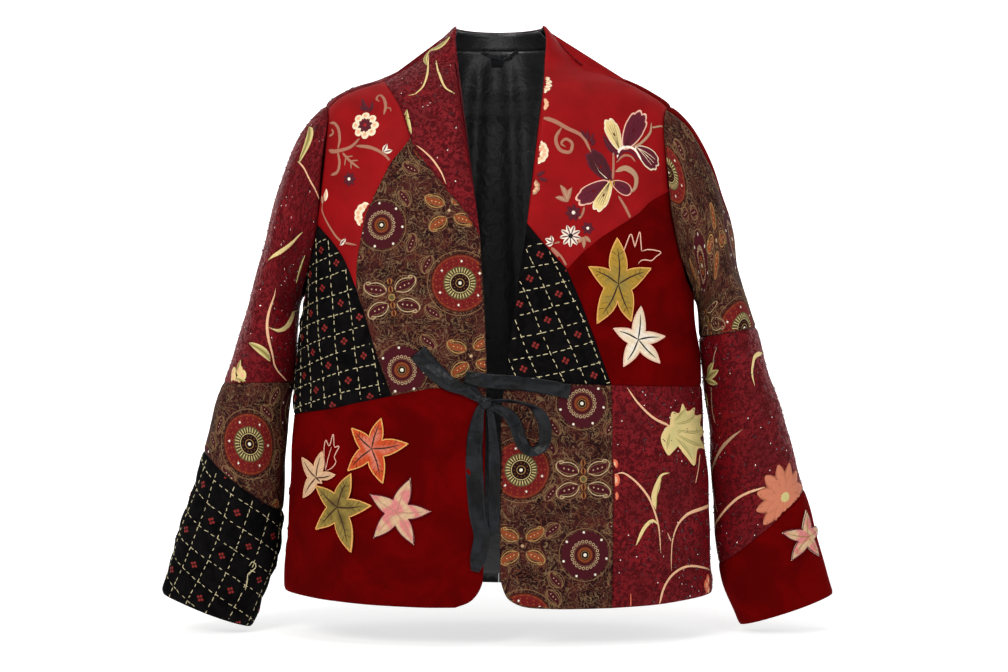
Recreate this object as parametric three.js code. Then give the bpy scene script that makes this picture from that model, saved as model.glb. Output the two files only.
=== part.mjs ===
// Patchwork kimono jacket, filled out as if worn, in millimetres.
// Seen from the front: +X to the right, the fronts face -Y, +Z up.
// The origin lies midway between the two points where neck and shoulder meet.
import * as THREE from 'three';

const CLOTH = 1.8;            // wall of a patch with its backing
const LINING = 1.4;           // wall of the smooth lining
const LINING_DEPTH = 5;       // how far the lining lies inside the form
const SEAM_GAP = 0.3;         // slit between two patches sewn together
const SLEEVE_GAP = 0.45;      // slit between armhole and sleeve head
const PITCH = 27;             // facet size of the patches
const ARMHOLE_STEPS = 34;     // stitch points around one armhole
const ARMHOLE = { middle: 198.5, halfHeight: 113.5, back: 60, front: { left: 58, right: 74 } };
const SIDES = { left: -1, right: 1 };

// The body as horizontal rings. down: distance along the cloth from the neck;
// height: z; half: half width; front, back: depth of the two halves; frontRound and
// backRound: 2 is an ellipse, more is boxier, less is leaner.
const RINGS = {
  down: [-70, -50, -25, 0, 25, 55, 85, 120, 170, 240, 312, 440, 560, 648, 668],
  height: [46, 33, 15, 0, -13, -28, -46, -76, -126, -196, -268, -396, -516, -604, -624],
  half: [52.5, 64.5, 82, 102, 134, 173, 199, 210, 215, 217, 223.5, 234.5, 241, 245.5, 246.5],
  front: [44, 50, 57, 64, 72, 82, 93, 104, 114, 121, 125, 129, 134, 138, 139],
  back: [52, 57, 63, 70, 78, 88, 97, 104, 109, 111, 111, 113, 117, 121, 122],
  frontRound: [2, 1.9, 1.7, 1.5, 1.45, 1.5, 1.65, 1.95, 2.3, 2.45, 2.45, 2.4, 2.4, 2.4, 2.4],
  backRound: [2, 2, 2, 2, 2, 2, 2, 2.1, 2.3, 2.45, 2.45, 2.4, 2.4, 2.4, 2.4],
};

// The sleeves below their heads, as ovals. outerX, outerZ and innerX, innerZ are
// the ends of the oval seen from the front; deep is its half depth.
const SLEEVES = {
  left: {
    outerX: [283.7, 299.5, 315.7, 331, 345.5, 360, 373, 385.8],
    outerZ: [-267, -315, -366.5, -417, -468, -516, -560, -605],
    innerX: [228.5, 234, 239, 243, 247.5, 252, 266, 284.6],
    innerZ: [-284, -335, -390, -445, -500, -552, -598, -643],
    deep: [74, 70, 64, 58, 52, 43, 37, 33],
  },
  right: {
    outerX: [283.7, 299.5, 315.7, 331, 345, 358, 371, 384.7],
    outerZ: [-267, -315, -366.5, -417, -468, -516, -560, -605],
    innerX: [228.5, 234, 239, 243, 247.5, 250, 259, 275.4],
    innerZ: [-284, -335, -390, -445, -500, -552, -597, -641.7],
    deep: [74, 70, 64, 58, 52, 44, 39, 35],
  },
};
const SLEEVE_FORWARD = -4;
const HEAD = 180;             // reach along the sleeve at its first oval
const OVAL_STEP = 50;         // reach from one oval to the next
const CUFF = HEAD + 7 * OVAL_STEP;

// Seams of the sleeves: reach = middle + lean * cos(turn), turn 0 on the outer line.
const SLEEVE_SEAMS = {
  left: { maroon_paisley: [266, 11], paisley_black: [372, -18] },
  right: { upper_maroon: [211, 3.5], maroon_velvet: [424, -26] },
};
const RIGHT_SPLIT = { start: 2, drift: -0.0019 };   // paisley in front, velvet behind

// Seams of the fronts as [x, z] seen from the front, from the top or the outer
// end to the bottom or the middle.
const FRONT_SEAMS = {
  left: {
    edge_neck: [[-50.8, 46], [-50.6, 39], [-48.9, -1], [-45.6, -55], [-41.6, -79], [-33.7, -117],
      [-25.9, -156], [-19.9, -201]],
    edge_paisley: [[-19.9, -201], [-15.5, -271], [-13.3, -320], [-12.4, -353], [-13.3, -378]],
    edge_velvet: [[-13.3, -378], [-14.3, -434], [-15.4, -510], [-16.5, -575], [-20.8, -588],
      [-30.5, -599], [-46.8, -605.5]],
    neck_sateen: [[-130, -18], [-122, -32.5], [-114.5, -46.8], [-109, -57], [-104.5, -69.5],
      [-100, -84], [-97.5, -91]],
    neck_paisley: [[-97.5, -91], [-91.7, -103.5], [-78.2, -122.7], [-64.9, -138.4], [-56.1, -150.6],
      [-44, -163.9], [-30.8, -181.6], [-19.9, -201]],
    sateen_paisley: [[-97.5, -91], [-106.2, -104.3], [-120.5, -122], [-130.4, -141.8],
      [-139.2, -160.5], [-145.9, -171.5], [-151.4, -199.1], [-155.8, -226.7], [-156.8, -257.6]],
    sateen_black: [[-202, -187], [-187.5, -203.6], [-173.2, -221.9], [-163.8, -239.8],
      [-156.8, -257.6]],
    black_paisley: [[-156.8, -257.6], [-149.9, -281.9], [-138.6, -314.9], [-129.6, -342.3],
      [-117.3, -376.1]],
    black_velvet: [[-234, -400.8], [-186.3, -391.3], [-151.9, -383], [-117.3, -376.1]],
    paisley_velvet: [[-117.3, -376.1], [-90.8, -370.5], [-63.4, -367.2], [-41.6, -371.5],
      [-13.3, -378]],
    hem: [[-245, -598], [-221.1, -599.5], [-191, -601.6], [-140, -604.2], [-84.9, -605.9],
      [-46.8, -605.5]],
  },
  right: {
    edge_sateen: [[51.8, 46], [53.6, 41], [54.6, 14], [52.4, -10], [49.7, -35], [48, -66],
      [43.6, -106], [37, -151], [31.5, -187]],
    edge_black: [[31.5, -187], [23.8, -238.5], [15, -298.5], [7.4, -356.2]],
    edge_paisley: [[7.4, -356.2], [3.1, -402], [2, -489], [2, -570], [5.2, -586], [11.7, -597],
      [29.1, -605], [67.1, -607.5]],
    sateen_black: [[31.5, -187], [51.1, -211.1], [75.2, -237.3]],
    sateen_velvet: [[200, -144], [170.6, -160.6], [154.4, -175.7], [132.8, -189.5],
      [111.6, -201.9], [95, -216.4], [75.2, -237.3]],
    black_velvet: [[75.2, -237.3], [89.4, -271.2], [105.8, -314.9], [124.6, -364.1]],
    black_paisley: [[124.6, -364.1], [67.4, -362.8], [7.4, -356.2]],
    velvet_maroon: [[236, -366.9], [178.7, -365.8], [124.6, -364.1]],
    paisley_maroon: [[124.6, -364.1], [125.9, -489.7], [125.1, -607.5]],
    hem_maroon: [[245, -601], [209.3, -603.3], [166.4, -606], [125.1, -607.5]],
    hem_paisley: [[125.1, -607.5], [67.1, -607.5]],
  },
};
// Seams that follow the line between front and back as [ahead of it, down].
const LINE_SEAMS = {
  collar: [[-10, -70], [0, -40], [14, 0]],
  shoulder_neck: [[14, 0], [25, 34]],
  shoulder: [[25, 34], [22, 65], [21, 92.7]],
};
const SIDE_JOINTS = { left: 444.8, right: 410.9 };   // where front and back patches change
const BACK_JOINT = 352;                              // the same at the middle of the back
const SIDE_HEM = 644;
const BACK_HEM = 652;
const FACING_DOWN = -40;                             // where the collar facing meets the lining
const LINING_EDGE = { down: [-70, -40, 0, 60, 92, 140, 198, 255, 300, 325, 640],
  behind: [14, 14, 32, 42, 48, 60, 68, 62, 44, 16, 6] };

// Star patches: middle, tips and waist as a share of the arm, seen from the front.
const STARS = {
  star_orange: { middle: [-138, -434], waist: 0.42,
    tips: [[-127.9, -400], [-97.6, -428], [-125, -472], [-163.6, -459], [-160.4, -411.5]] },
  star_olive: { middle: [-176, -499], waist: 0.44,
    tips: [[-158.6, -461], [-137, -496], [-159.2, -548], [-200.5, -525], [-203, -476.5]] },
  star_pink: { middle: [-110, -502.5], waist: 0.42,
    tips: [[-95.5, -465.5], [-73, -501.5], [-91, -538], [-136, -531.5], [-139.5, -483.5]] },
  star_pale: { middle: [-203, -468], waist: 0.36,
    tips: [[-196, -438], [-178.5, -463.5], [-196.5, -474], [-217.5, -491.5], [-218, -446]] },
  star_gold: { middle: [131.5, -253.5], waist: 0.42,
    tips: [[130.4, -202], [168.5, -235.5], [146, -295], [107, -297.5], [98, -234.5]] },
  star_cream: { middle: [153, -314.5], waist: 0.4,
    tips: [[157, -277.5], [183.5, -311], [177.5, -341], [136.5, -344.5], [125.5, -302]] },
};
const CUFF_STAR = { turn: 0.73, reach: 450, arm: 32, lean: 0.23, waist: 0.42 };
const STAR_WALL = 0.6;
const STAR_LIFT = 0.5;
const STAR_OVER = { star_olive: 'star_pale' };       // the first lies on an arm of the second

// Ribbons: [x, z, lift above the front, width, turn of the width towards -Y].
const RIBBONS = {
  left_tie_band: [[-88, -328, 1.8, 20, 0], [-73.3, -344.5, 2, 20, 0], [-55.8, -360.5, 4.6, 17, 0],
    [-38, -369, 6.6, 12, 0], [-22, -378, 6.4, 7, 0]],
  right_tie_band: [[78, -371.5, 1.8, 16, 0], [60.6, -367.5, 2, 16, 0], [24.8, -362, 2.6, 16, 0],
    [-1.3, -360.5, 3.2, 16, 0], [-22.6, -358, 3.6, 15, 0], [-35.7, -354.8, 3.6, 13, 0]],
  right_tie_turn: [[-31, -362.5, 2, 9, 0], [-26, -371, 2, 9, 0], [-20.5, -378, 2.6, 7, 0]],
  bow_loop: [[-6.5, -385.5, 5, 7, 10], [11.7, -396.5, 7, 13, 0], [19.7, -409.7, 8, 14, 0],
    [25, -425.5, 9, 14, 8], [35.6, -435.4, 10.5, 13, 35], [47.8, -429.1, 12, 13, 20],
    [50.1, -413.3, 13.5, 14, 0], [46.8, -399.8, 14, 13, 15], [36.9, -388.6, 14, 12, 60],
    [22.4, -383.8, 13.5, 11, 80], [9.1, -381.4, 11.5, 7, 80], [-6.5, -381.6, 8.6, 4, 80]],
  left_tie_tail: [[-20, -389.5, 4, 9, 0], [-24.6, -417, 2.4, 17, 0], [-25.8, -437.4, 3.4, 18, 0],
    [-25.5, -461.9, 2, 19, 0], [-22.6, -502.2, 3.4, 18, 0], [-17.7, -527.2, 3.6, 18, 0],
    [-22, -552, 2.6, 17, 0], [-25, -566, 2, 9, 0]],
  right_tie_tail: [[-8.5, -390, 2.4, 8, 0], [-6, -415, 1.7, 9, 0], [-4.5, -436, 2.1, 12, 0],
    [-4.3, -462, 1.7, 13, 0], [-4.7, -505, 2.1, 13, 0], [-7.5, -527, 1.7, 8, 0]],
};
// Inside the back of the neck: [x, z, lift above the lining, width, turn].
const NECK_PIECES = {
  neck_label: [[-9, 15.5, 0.9, 15, 0], [3, 15.5, 1.2, 15, 0], [17, 15.5, 0.9, 15, 0]],
  hanger_loop: [[-21, 25, 2.2, 4, 0], [-8, 20, 2.8, 4, 0], [3, 17, 3.2, 4, 0], [14, 20, 2.8, 4, 0],
    [24, 27, 2.2, 4, 0]],
};
const RIBBON = 1.2;
const KNOT = { at: [-13.3, -383.5], lift: 4.3, wide: 13, high: 11, deep: 8 };

const COLOURS = {
  sateen: [0x9a1418, 0.55], red_velvet: [0x8a0508, 0.9], maroon_velvet: [0x6a0f22, 0.85],
  paisley: [0x56301f, 0.8], black_velvet: [0x08080a, 0.9], satin: [0x16191f, 0.4],
  lining: [0x131316, 0.5], orange: [0xd8592e, 0.6], olive: [0x9a7a1f, 0.6],
  pink: [0xe8b79a, 0.6], cream: [0xf0d9b8, 0.6],
};

const lerp = (a, b, share) => a + (b - a) * share;

// Smooth curve through a column of numbers given over a rising column of places.
function smooth(places, values, place) {
  let i = 0;
  while (i < places.length - 2 && place >= places[i + 1]) i += 1;
  const slope = (k) => {
    const a = Math.max(k - 1, 0);
    const b = Math.min(k + 1, places.length - 1);
    return (values[b] - values[a]) / (places[b] - places[a]);
  };
  const step = places[i + 1] - places[i];
  const u = (place - places[i]) / step;
  return (2 * u ** 3 - 3 * u ** 2 + 1) * values[i] + (u ** 3 - 2 * u ** 2 + u) * step * slope(i)
    + (3 * u ** 2 - 2 * u ** 3) * values[i + 1] + (u ** 3 - u ** 2) * step * slope(i + 1);
}

function ringAt(down) {
  const column = (name) => smooth(RINGS.down, RINGS[name], down);
  return { height: column('height'), half: column('half'), front: column('front'),
    back: column('back'), frontRound: column('frontRound'), backRound: column('backRound') };
}

// Points of a quarter ring with the arc length to each, from the middle to the side.
const quarters = new Map();
function quarter(down, face) {
  const key = `${face}${down.toFixed(2)}`;
  if (quarters.has(key)) return quarters.get(key);
  const ring = ringAt(down);
  const power = 2 / ring[`${face}Round`];
  const points = [];
  let arc = 0;
  for (let i = 0; i <= 120; i += 1) {
    const turn = (i / 120) * (Math.PI / 2);
    const x = ring.half * Math.sin(turn) ** power;
    const y = ring[face] * Math.max(Math.cos(turn), 0) ** power;
    if (i > 0) arc += Math.hypot(x - points[i - 1].x, y - points[i - 1].y);
    points.push({ x, y, arc });
  }
  quarters.set(key, points);
  return points;
}
const lengthOf = (down, face) => quarter(down, face)[120].arc;

function along(points, key, value, wanted) {
  let i = 1;
  while (i < points.length - 1 && points[i][key] < value) i += 1;
  const share = (value - points[i - 1][key]) / (points[i][key] - points[i - 1][key] || 1);
  return lerp(points[i - 1][wanted], points[i][wanted], share);
}

// A place on the body: round = distance from the middle of the front, down.
function bodyPoint(side, round, down) {
  const frontLength = lengthOf(down, 'front');
  const z = ringAt(down).height;
  if (round <= frontLength) {
    const points = quarter(down, 'front');
    return new THREE.Vector3(side * along(points, 'arc', round, 'x'),
      -along(points, 'arc', round, 'y'), z);
  }
  const points = quarter(down, 'back');
  const left = frontLength + lengthOf(down, 'back') - round;
  return new THREE.Vector3(side * along(points, 'arc', left, 'x'),
    along(points, 'arc', left, 'y'), z);
}

function bodyNormal(side, round, down) {
  const reach = 1.5;
  const across = bodyPoint(side, round + reach, down).sub(bodyPoint(side, round - reach, down));
  const along3 = bodyPoint(side, round, down + reach).sub(bodyPoint(side, round, down - reach));
  return across.cross(along3).multiplyScalar(-side).normalize();
}

const onBody = (side, round, down, inward) => bodyPoint(side, round, down)
  .addScaledVector(bodyNormal(side, round, down), -inward);

function downAt(height) {
  let low = RINGS.down[0];
  let high = RINGS.down[RINGS.down.length - 1];
  for (let i = 0; i < 40; i += 1) {
    const mid = (low + high) / 2;
    if (ringAt(mid).height > height) low = mid;
    else high = mid;
  }
  return low;
}

// From [x, z] seen from the front to [round, down] on the body.
function fromView([x, z]) {
  const down = downAt(z);
  const points = quarter(down, 'front');
  return [along(points, 'x', Math.min(Math.abs(x), ringAt(down).half), 'arc'), down];
}

function resample(points, steps) {
  const curve = new THREE.CatmullRomCurve3(
    points.map(([a, b]) => new THREE.Vector3(a, b, 0)), false, 'centripetal');
  return curve.getSpacedPoints(steps).map((point) => [point.x, point.y]);
}

const lengthAlong = (points) => points.slice(1).reduce((sum, point, i) => sum
  + Math.hypot(point[0] - points[i][0], point[1] - points[i][1]), 0);

const stepsFor = (points) => Math.max(1, Math.round(lengthAlong(points) / 20));

// A place on the oval of the armhole; turn 0 is the shoulder tip, pi the underarm.
function armholeAt(sideName, turn, shrink) {
  const reach = (Math.sin(turn) > 0 ? ARMHOLE.front[sideName] : ARMHOLE.back) - shrink;
  const down = ARMHOLE.middle - (ARMHOLE.halfHeight - shrink) * Math.cos(turn);
  return [lengthOf(down, 'front') - reach * Math.sin(turn), down];
}

const stitch = (sideName, step) => armholeAt(sideName, (2 * Math.PI * step) / ARMHOLE_STEPS, 0);

function armhole(sideName, from, to) {
  const places = [];
  const stride = Math.sign(to - from);
  for (let step = from; step !== to + stride; step += stride) {
    places.push(stitch(sideName, step));
  }
  return places;
}

function lineSeam(places, steps) {
  return resample(places, steps).map(([ahead, down]) => [lengthOf(down, 'front') - ahead, down]);
}

function halfRound(down) {
  return lengthOf(down, 'front') + lengthOf(down, 'back');
}

// From the side line to the middle of the back.
function acrossBack(sideDown, middleDown) {
  const places = [];
  for (let i = 0; i <= 13; i += 1) {
    const down = lerp(sideDown, middleDown, i / 13);
    places.push([lerp(lengthOf(down, 'front'), halfRound(down), i / 13), down]);
  }
  return places;
}

// Every seam of one side as a row of [round, down] places.
function makeSeams(sideName) {
  const seams = {};
  for (const [name, points] of Object.entries(FRONT_SEAMS[sideName])) {
    const places = points.map(fromView);
    seams[name] = resample(places, stepsFor(places));
  }
  seams.collar = lineSeam(LINE_SEAMS.collar, 3);
  seams.shoulder_neck = lineSeam(LINE_SEAMS.shoulder_neck, 3);
  seams.shoulder = lineSeam(LINE_SEAMS.shoulder, 3);
  const joint = SIDE_JOINTS[sideName];
  seams.side_top = lineSeam([[0, 312], [0, joint]], 6);
  seams.side_low = lineSeam([[0, joint], [0, SIDE_HEM]], 10);
  seams.neck_line = [];
  const neckStart = seams.shoulder_neck[0][0];
  for (let i = 0; i <= 7; i += 1) {
    seams.neck_line.push([lerp(neckStart, halfRound(0), i / 7), 0]);
  }
  seams.back_top = resample([[0, 0], [0, BACK_JOINT]], 15).map(([, d]) => [halfRound(d), d]);
  seams.back_low = resample([[0, BACK_JOINT], [0, BACK_HEM]], 13).map(([, d]) => [halfRound(d), d]);
  seams.back_joint = acrossBack(joint, BACK_JOINT);
  seams.back_hem = acrossBack(SIDE_HEM, BACK_HEM);
  return seams;
}

const SEAMS = { left: makeSeams('left'), right: makeSeams('right') };

// Seams that start on another seam take its point.
function pinStart(seam, place) {
  seam[0] = [...place];
}
const last = (seam) => seam[seam.length - 1];
for (const [name, seams] of Object.entries(SEAMS)) {
  seams.shoulder[seams.shoulder.length - 1] = stitch(name, 2);
  const edge = seams.edge_neck || seams.edge_sateen;
  pinStart(edge, [edge[0][0], RINGS.down[0]]);
  seams.collar_top = [edge[0], seams.collar[0]];
}
pinStart(SEAMS.left.neck_sateen, SEAMS.left.shoulder[0]);
pinStart(SEAMS.left.sateen_black, stitch('left', 10));
pinStart(SEAMS.right.sateen_velvet, stitch('right', 8));
pinStart(SEAMS.left.black_velvet, last(SEAMS.left.side_top));
pinStart(SEAMS.right.velvet_maroon, last(SEAMS.right.side_top));
pinStart(SEAMS.left.hem, last(SEAMS.left.side_low));
pinStart(SEAMS.right.hem_maroon, last(SEAMS.right.side_low));

// Triangles of a set of flat points by empty circles.
function triangulate(points) {
  const count = points.length;
  const all = [...points, [-9000, -9000], [9000, -9000], [0, 12000]];
  const circle = (corners) => {
    const [a, b, c] = corners.map((corner) => all[corner]);
    const d = 2 * (a[0] * (b[1] - c[1]) + b[0] * (c[1] - a[1]) + c[0] * (a[1] - b[1]));
    const sa = a[0] ** 2 + a[1] ** 2;
    const sb = b[0] ** 2 + b[1] ** 2;
    const sc = c[0] ** 2 + c[1] ** 2;
    const x = (sa * (b[1] - c[1]) + sb * (c[1] - a[1]) + sc * (a[1] - b[1])) / d;
    const y = (sa * (c[0] - b[0]) + sb * (a[0] - c[0]) + sc * (b[0] - a[0])) / d;
    return { corners, x, y, reach: (a[0] - x) ** 2 + (a[1] - y) ** 2 };
  };
  let triangles = [circle([count, count + 1, count + 2])];
  for (let p = 0; p < count; p += 1) {
    const [x, y] = all[p];
    const hit = triangles.filter((t) => (x - t.x) ** 2 + (y - t.y) ** 2 < t.reach - 1e-9);
    const edges = new Map();
    for (const { corners: [a, b, c] } of hit) {
      for (const [from, to] of [[a, b], [b, c], [c, a]]) {
        if (edges.has(`${to},${from}`)) edges.delete(`${to},${from}`);
        else edges.set(`${from},${to}`, [from, to]);
      }
    }
    triangles = triangles.filter((t) => !hit.includes(t));
    for (const [from, to] of edges.values()) triangles.push(circle([from, to, p]));
  }
  return triangles.map((t) => t.corners).filter((corners) => corners.every((c) => c < count));
}

function inside([x, y], outline) {
  let odd = false;
  outline.forEach(([ax, ay], i) => {
    const [bx, by] = outline[(i + 1) % outline.length];
    if ((ay > y) !== (by > y) && x < ((bx - ax) * (y - ay)) / (by - ay) + ax) odd = !odd;
  });
  return odd;
}

const area = (outline) => outline.reduce((sum, [x, y], i) => {
  const [nx, ny] = outline[(i + 1) % outline.length];
  return sum + (x * ny - nx * y) / 2;
}, 0);

// Moves every corner of a counter-clockwise outline inwards by the same distance.
function inset(outline, distance) {
  return outline.map((point, i) => {
    const before = outline[(i + outline.length - 1) % outline.length];
    const next = outline[(i + 1) % outline.length];
    const a = new THREE.Vector2(point[0] - before[0], point[1] - before[1]).normalize();
    const b = new THREE.Vector2(next[0] - point[0], next[1] - point[1]).normalize();
    const normal = new THREE.Vector2(-a.y - b.y, a.x + b.x).normalize();
    const share = Math.max(normal.dot(new THREE.Vector2(-a.y, a.x)), 0.35);
    return [point[0] + (normal.x * distance) / share, point[1] + (normal.y * distance) / share];
  });
}

// Closed outline from a list of seams, each turned round where needed.
function join(seams) {
  const near = (a, b) => Math.hypot(a[0] - b[0], a[1] - b[1]) < 2.5;
  const outline = [...seams[0]];
  if (near(outline[0], seams[1][0]) || near(outline[0], seams[1][seams[1].length - 1])) {
    outline.reverse();
  }
  for (const seam of seams.slice(1)) {
    const forward = near(outline[outline.length - 1], seam[0]);
    const places = forward ? seam : [...seam].reverse();
    if (!near(outline[outline.length - 1], places[0])) throw new Error('seams do not meet');
    outline.push(...places.slice(1));
  }
  if (!near(outline[0], outline[outline.length - 1])) throw new Error('outline stays open');
  outline.pop();
  return area(outline) > 0 ? outline : outline.reverse();
}

function fill(outline, pitch) {
  const xs = outline.map(([x]) => x);
  const ys = outline.map(([, y]) => y);
  const points = outline.map((point) => [...point]);
  const clear = pitch * 0.5;
  for (let row = 0, y = Math.min(...ys) + pitch / 2; y < Math.max(...ys); row += 1, y += pitch) {
    for (let x = Math.min(...xs) + (row % 2 ? pitch : pitch / 2); x < Math.max(...xs); x += pitch) {
      const far = outline.every(([ax, ay], i) => {
        const [bx, by] = outline[(i + 1) % outline.length];
        const span = (bx - ax) ** 2 + (by - ay) ** 2;
        const share = Math.min(1, Math.max(0,
          ((x - ax) * (bx - ax) + (y - ay) * (by - ay)) / span));
        return Math.hypot(x - lerp(ax, bx, share), y - lerp(ay, by, share)) > clear;
      });
      if (far && inside([x, y], outline)) points.push([x + 0.01 * row, y + 0.013 * x / pitch]);
    }
  }
  const triangles = triangulate(points).filter((corners) => {
    const middle = [0, 1].map((axis) => corners.reduce((sum, c) => sum + points[c][axis], 0) / 3);
    return inside(middle, outline);
  });
  const covered = triangles.reduce((sum, corners) => sum + area(corners.map((c) => points[c])), 0);
  if (Math.abs(covered / area(outline) - 1) > 1e-6) throw new Error('patch is not covered');
  return { points, triangles };
}

// Solid sheet from outer and inner points and the triangles of the outer face.
function sheet(outer, inner, triangles) {
  const count = outer.length;
  const faces = [...triangles];
  triangles.forEach(([a, b, c]) => faces.push([a + count, c + count, b + count]));
  const edges = new Set();
  triangles.forEach(([a, b, c]) => [[a, b], [b, c], [c, a]].forEach((e) => edges.add(e.join())));
  for (const edge of edges) {
    const [a, b] = edge.split(',').map(Number);
    if (!edges.has(`${b},${a}`)) faces.push([b, a, a + count], [b, a + count, b + count]);
  }
  const geometry = new THREE.BufferGeometry();
  const places = [...outer, ...inner].flatMap((point) => [point.x, point.y, point.z]);
  geometry.setAttribute('position', new THREE.Float32BufferAttribute(places, 3));
  geometry.setIndex(faces.flat());
  return geometry;
}

// Grid of points as rows; wrap closes each row into a tube.
function gridTriangles(rows, columns, wrap) {
  const triangles = [];
  for (let r = 0; r < rows - 1; r += 1) {
    for (let c = 0; c < columns - (wrap ? 0 : 1); c += 1) {
      const a = r * columns + c;
      const b = r * columns + ((c + 1) % columns);
      triangles.push([a, a + columns, b + columns], [a, b + columns, b]);
    }
  }
  return triangles;
}

const jacket = new THREE.Group();
jacket.name = 'kimono_jacket';

function add(name, geometry, colourName) {
  const [colour, roughness] = COLOURS[colourName];
  geometry.computeVertexNormals();
  const material = new THREE.MeshStandardMaterial({ color: colour, roughness, metalness: 0 });
  const mesh = new THREE.Mesh(geometry, material);
  mesh.name = name;
  jacket.add(mesh);
}

// Fronts are laid out flat from the middle of the front, backs from that of the back.
function patch(name, sideName, seamNames, colourName) {
  const side = SIDES[sideName];
  const isBack = name.startsWith('back');
  const seams = seamNames.map((seam) => (Array.isArray(seam)
    ? armhole(sideName, ...seam) : SEAMS[sideName][seam]));
  const swap = ([round, down]) => [isBack ? halfRound(down) - round : round, down];
  const outline = join(seams).map(swap);
  const { points, triangles } = fill(
    inset(isBack ? outline.reverse() : outline, SEAM_GAP / 2), PITCH);
  const places = points.map(swap);
  const outer = places.map(([round, down]) => bodyPoint(side, round, down));
  const inner = places.map(([round, down]) => onBody(side, round, down, CLOTH));
  const turned = (side > 0) !== isBack;
  const facing = turned ? triangles.map(([a, b, c]) => [a, c, b]) : triangles;
  add(name, sheet(outer, inner, facing), colourName);
}

// Front and back patches. A pair of numbers is a run of armhole stitch points.
patch('left_front_neck', 'left', ['edge_neck', 'neck_paisley', 'neck_sateen', 'shoulder_neck',
  'collar', 'collar_top'], 'maroon_velvet');
patch('left_front_sateen', 'left', ['neck_sateen', 'shoulder', [2, 10], 'sateen_black',
  'sateen_paisley'], 'sateen');
patch('left_front_paisley', 'left', ['sateen_paisley', 'neck_paisley', 'edge_paisley',
  'paisley_velvet', 'black_paisley'], 'paisley');
patch('left_front_black', 'left', ['sateen_black', 'black_paisley', 'black_velvet', 'side_top',
  [17, 10]], 'black_velvet');
patch('left_front_velvet', 'left', ['black_velvet', 'paisley_velvet', 'edge_velvet', 'hem',
  'side_low'], 'red_velvet');
patch('right_front_sateen', 'right', ['edge_sateen', 'sateen_black', 'sateen_velvet', [8, 2],
  'shoulder', 'shoulder_neck', 'collar', 'collar_top'], 'sateen');
patch('right_front_black', 'right', ['sateen_black', 'black_velvet', 'black_paisley',
  'edge_black'], 'black_velvet');
patch('right_front_velvet', 'right', ['sateen_velvet', 'black_velvet', 'velvet_maroon',
  'side_top', [17, 8]], 'red_velvet');
patch('right_front_paisley', 'right', ['black_paisley', 'edge_paisley', 'hem_paisley',
  'paisley_maroon'], 'paisley');
patch('right_front_maroon', 'right', ['velvet_maroon', 'paisley_maroon', 'hem_maroon',
  'side_low'], 'maroon_velvet');
const BACK_UPPER = ['neck_line', 'shoulder_neck', 'shoulder', [2, -17], 'side_top', 'back_joint',
  'back_top'];
const BACK_LOWER = ['back_joint', 'side_low', 'back_hem', 'back_low'];
patch('back_left_upper', 'left', BACK_UPPER, 'maroon_velvet');
patch('back_right_upper', 'right', BACK_UPPER, 'red_velvet');
patch('back_left_lower', 'left', BACK_LOWER, 'black_velvet');
patch('back_right_lower', 'right', BACK_LOWER, 'paisley');

// The lining hangs looser under the shoulders.
const liningDepth = (down) => LINING_DEPTH + 7 * Math.exp(-(((down - 45) / 38) ** 2));

// A piece that runs from side to side across the back. edge(down) is where it
// ends on each side, as a distance round from the middle of the front.
function backPiece(name, downs, columns, edge, depthAt, wall, colourName) {
  const outer = [];
  const inner = [];
  for (const down of downs) {
    const depth = depthAt(down);
    for (let c = 0; c < columns; c += 1) {
      const share = (2 * c) / (columns - 1) - 1;
      const round = lerp(halfRound(down), edge(down), Math.abs(share));
      const side = share < 0 ? -1 : 1;
      outer.push(onBody(side, round, down, depth));
      inner.push(onBody(side, round, down, depth + wall));
    }
  }
  const facing = gridTriangles(downs.length, columns, false).map(([a, b, c]) => [a, c, b]);
  add(name, sheet(outer, inner, facing), colourName);
}

function spread(from, to, steps) {
  return Array.from({ length: steps + 1 }, (_, i) => lerp(from, to, i / steps));
}

const collarEdge = (down) => lengthOf(down, 'front') + SEAM_GAP / 2
  - smooth([-70, -40, 0], [-10, 0, 14], down);
const liningEdge = (down) => lengthOf(down, 'front')
  + smooth(LINING_EDGE.down, LINING_EDGE.behind, down);
backPiece('back_collar', spread(-70, -SEAM_GAP / 2, 3), 15, collarEdge, () => 0, CLOTH,
  'maroon_velvet');
backPiece('collar_facing', spread(-69.5, FACING_DOWN - SEAM_GAP / 2, 2), 15, liningEdge,
  liningDepth, LINING, 'lining');
const LINING_ROWS = [FACING_DOWN + SEAM_GAP / 2, -20, ...spread(0, 100, 5), ...spread(130, 640, 15)];
backPiece('back_lining', LINING_ROWS, 21, liningEdge, liningDepth, LINING, 'lining');

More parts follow.
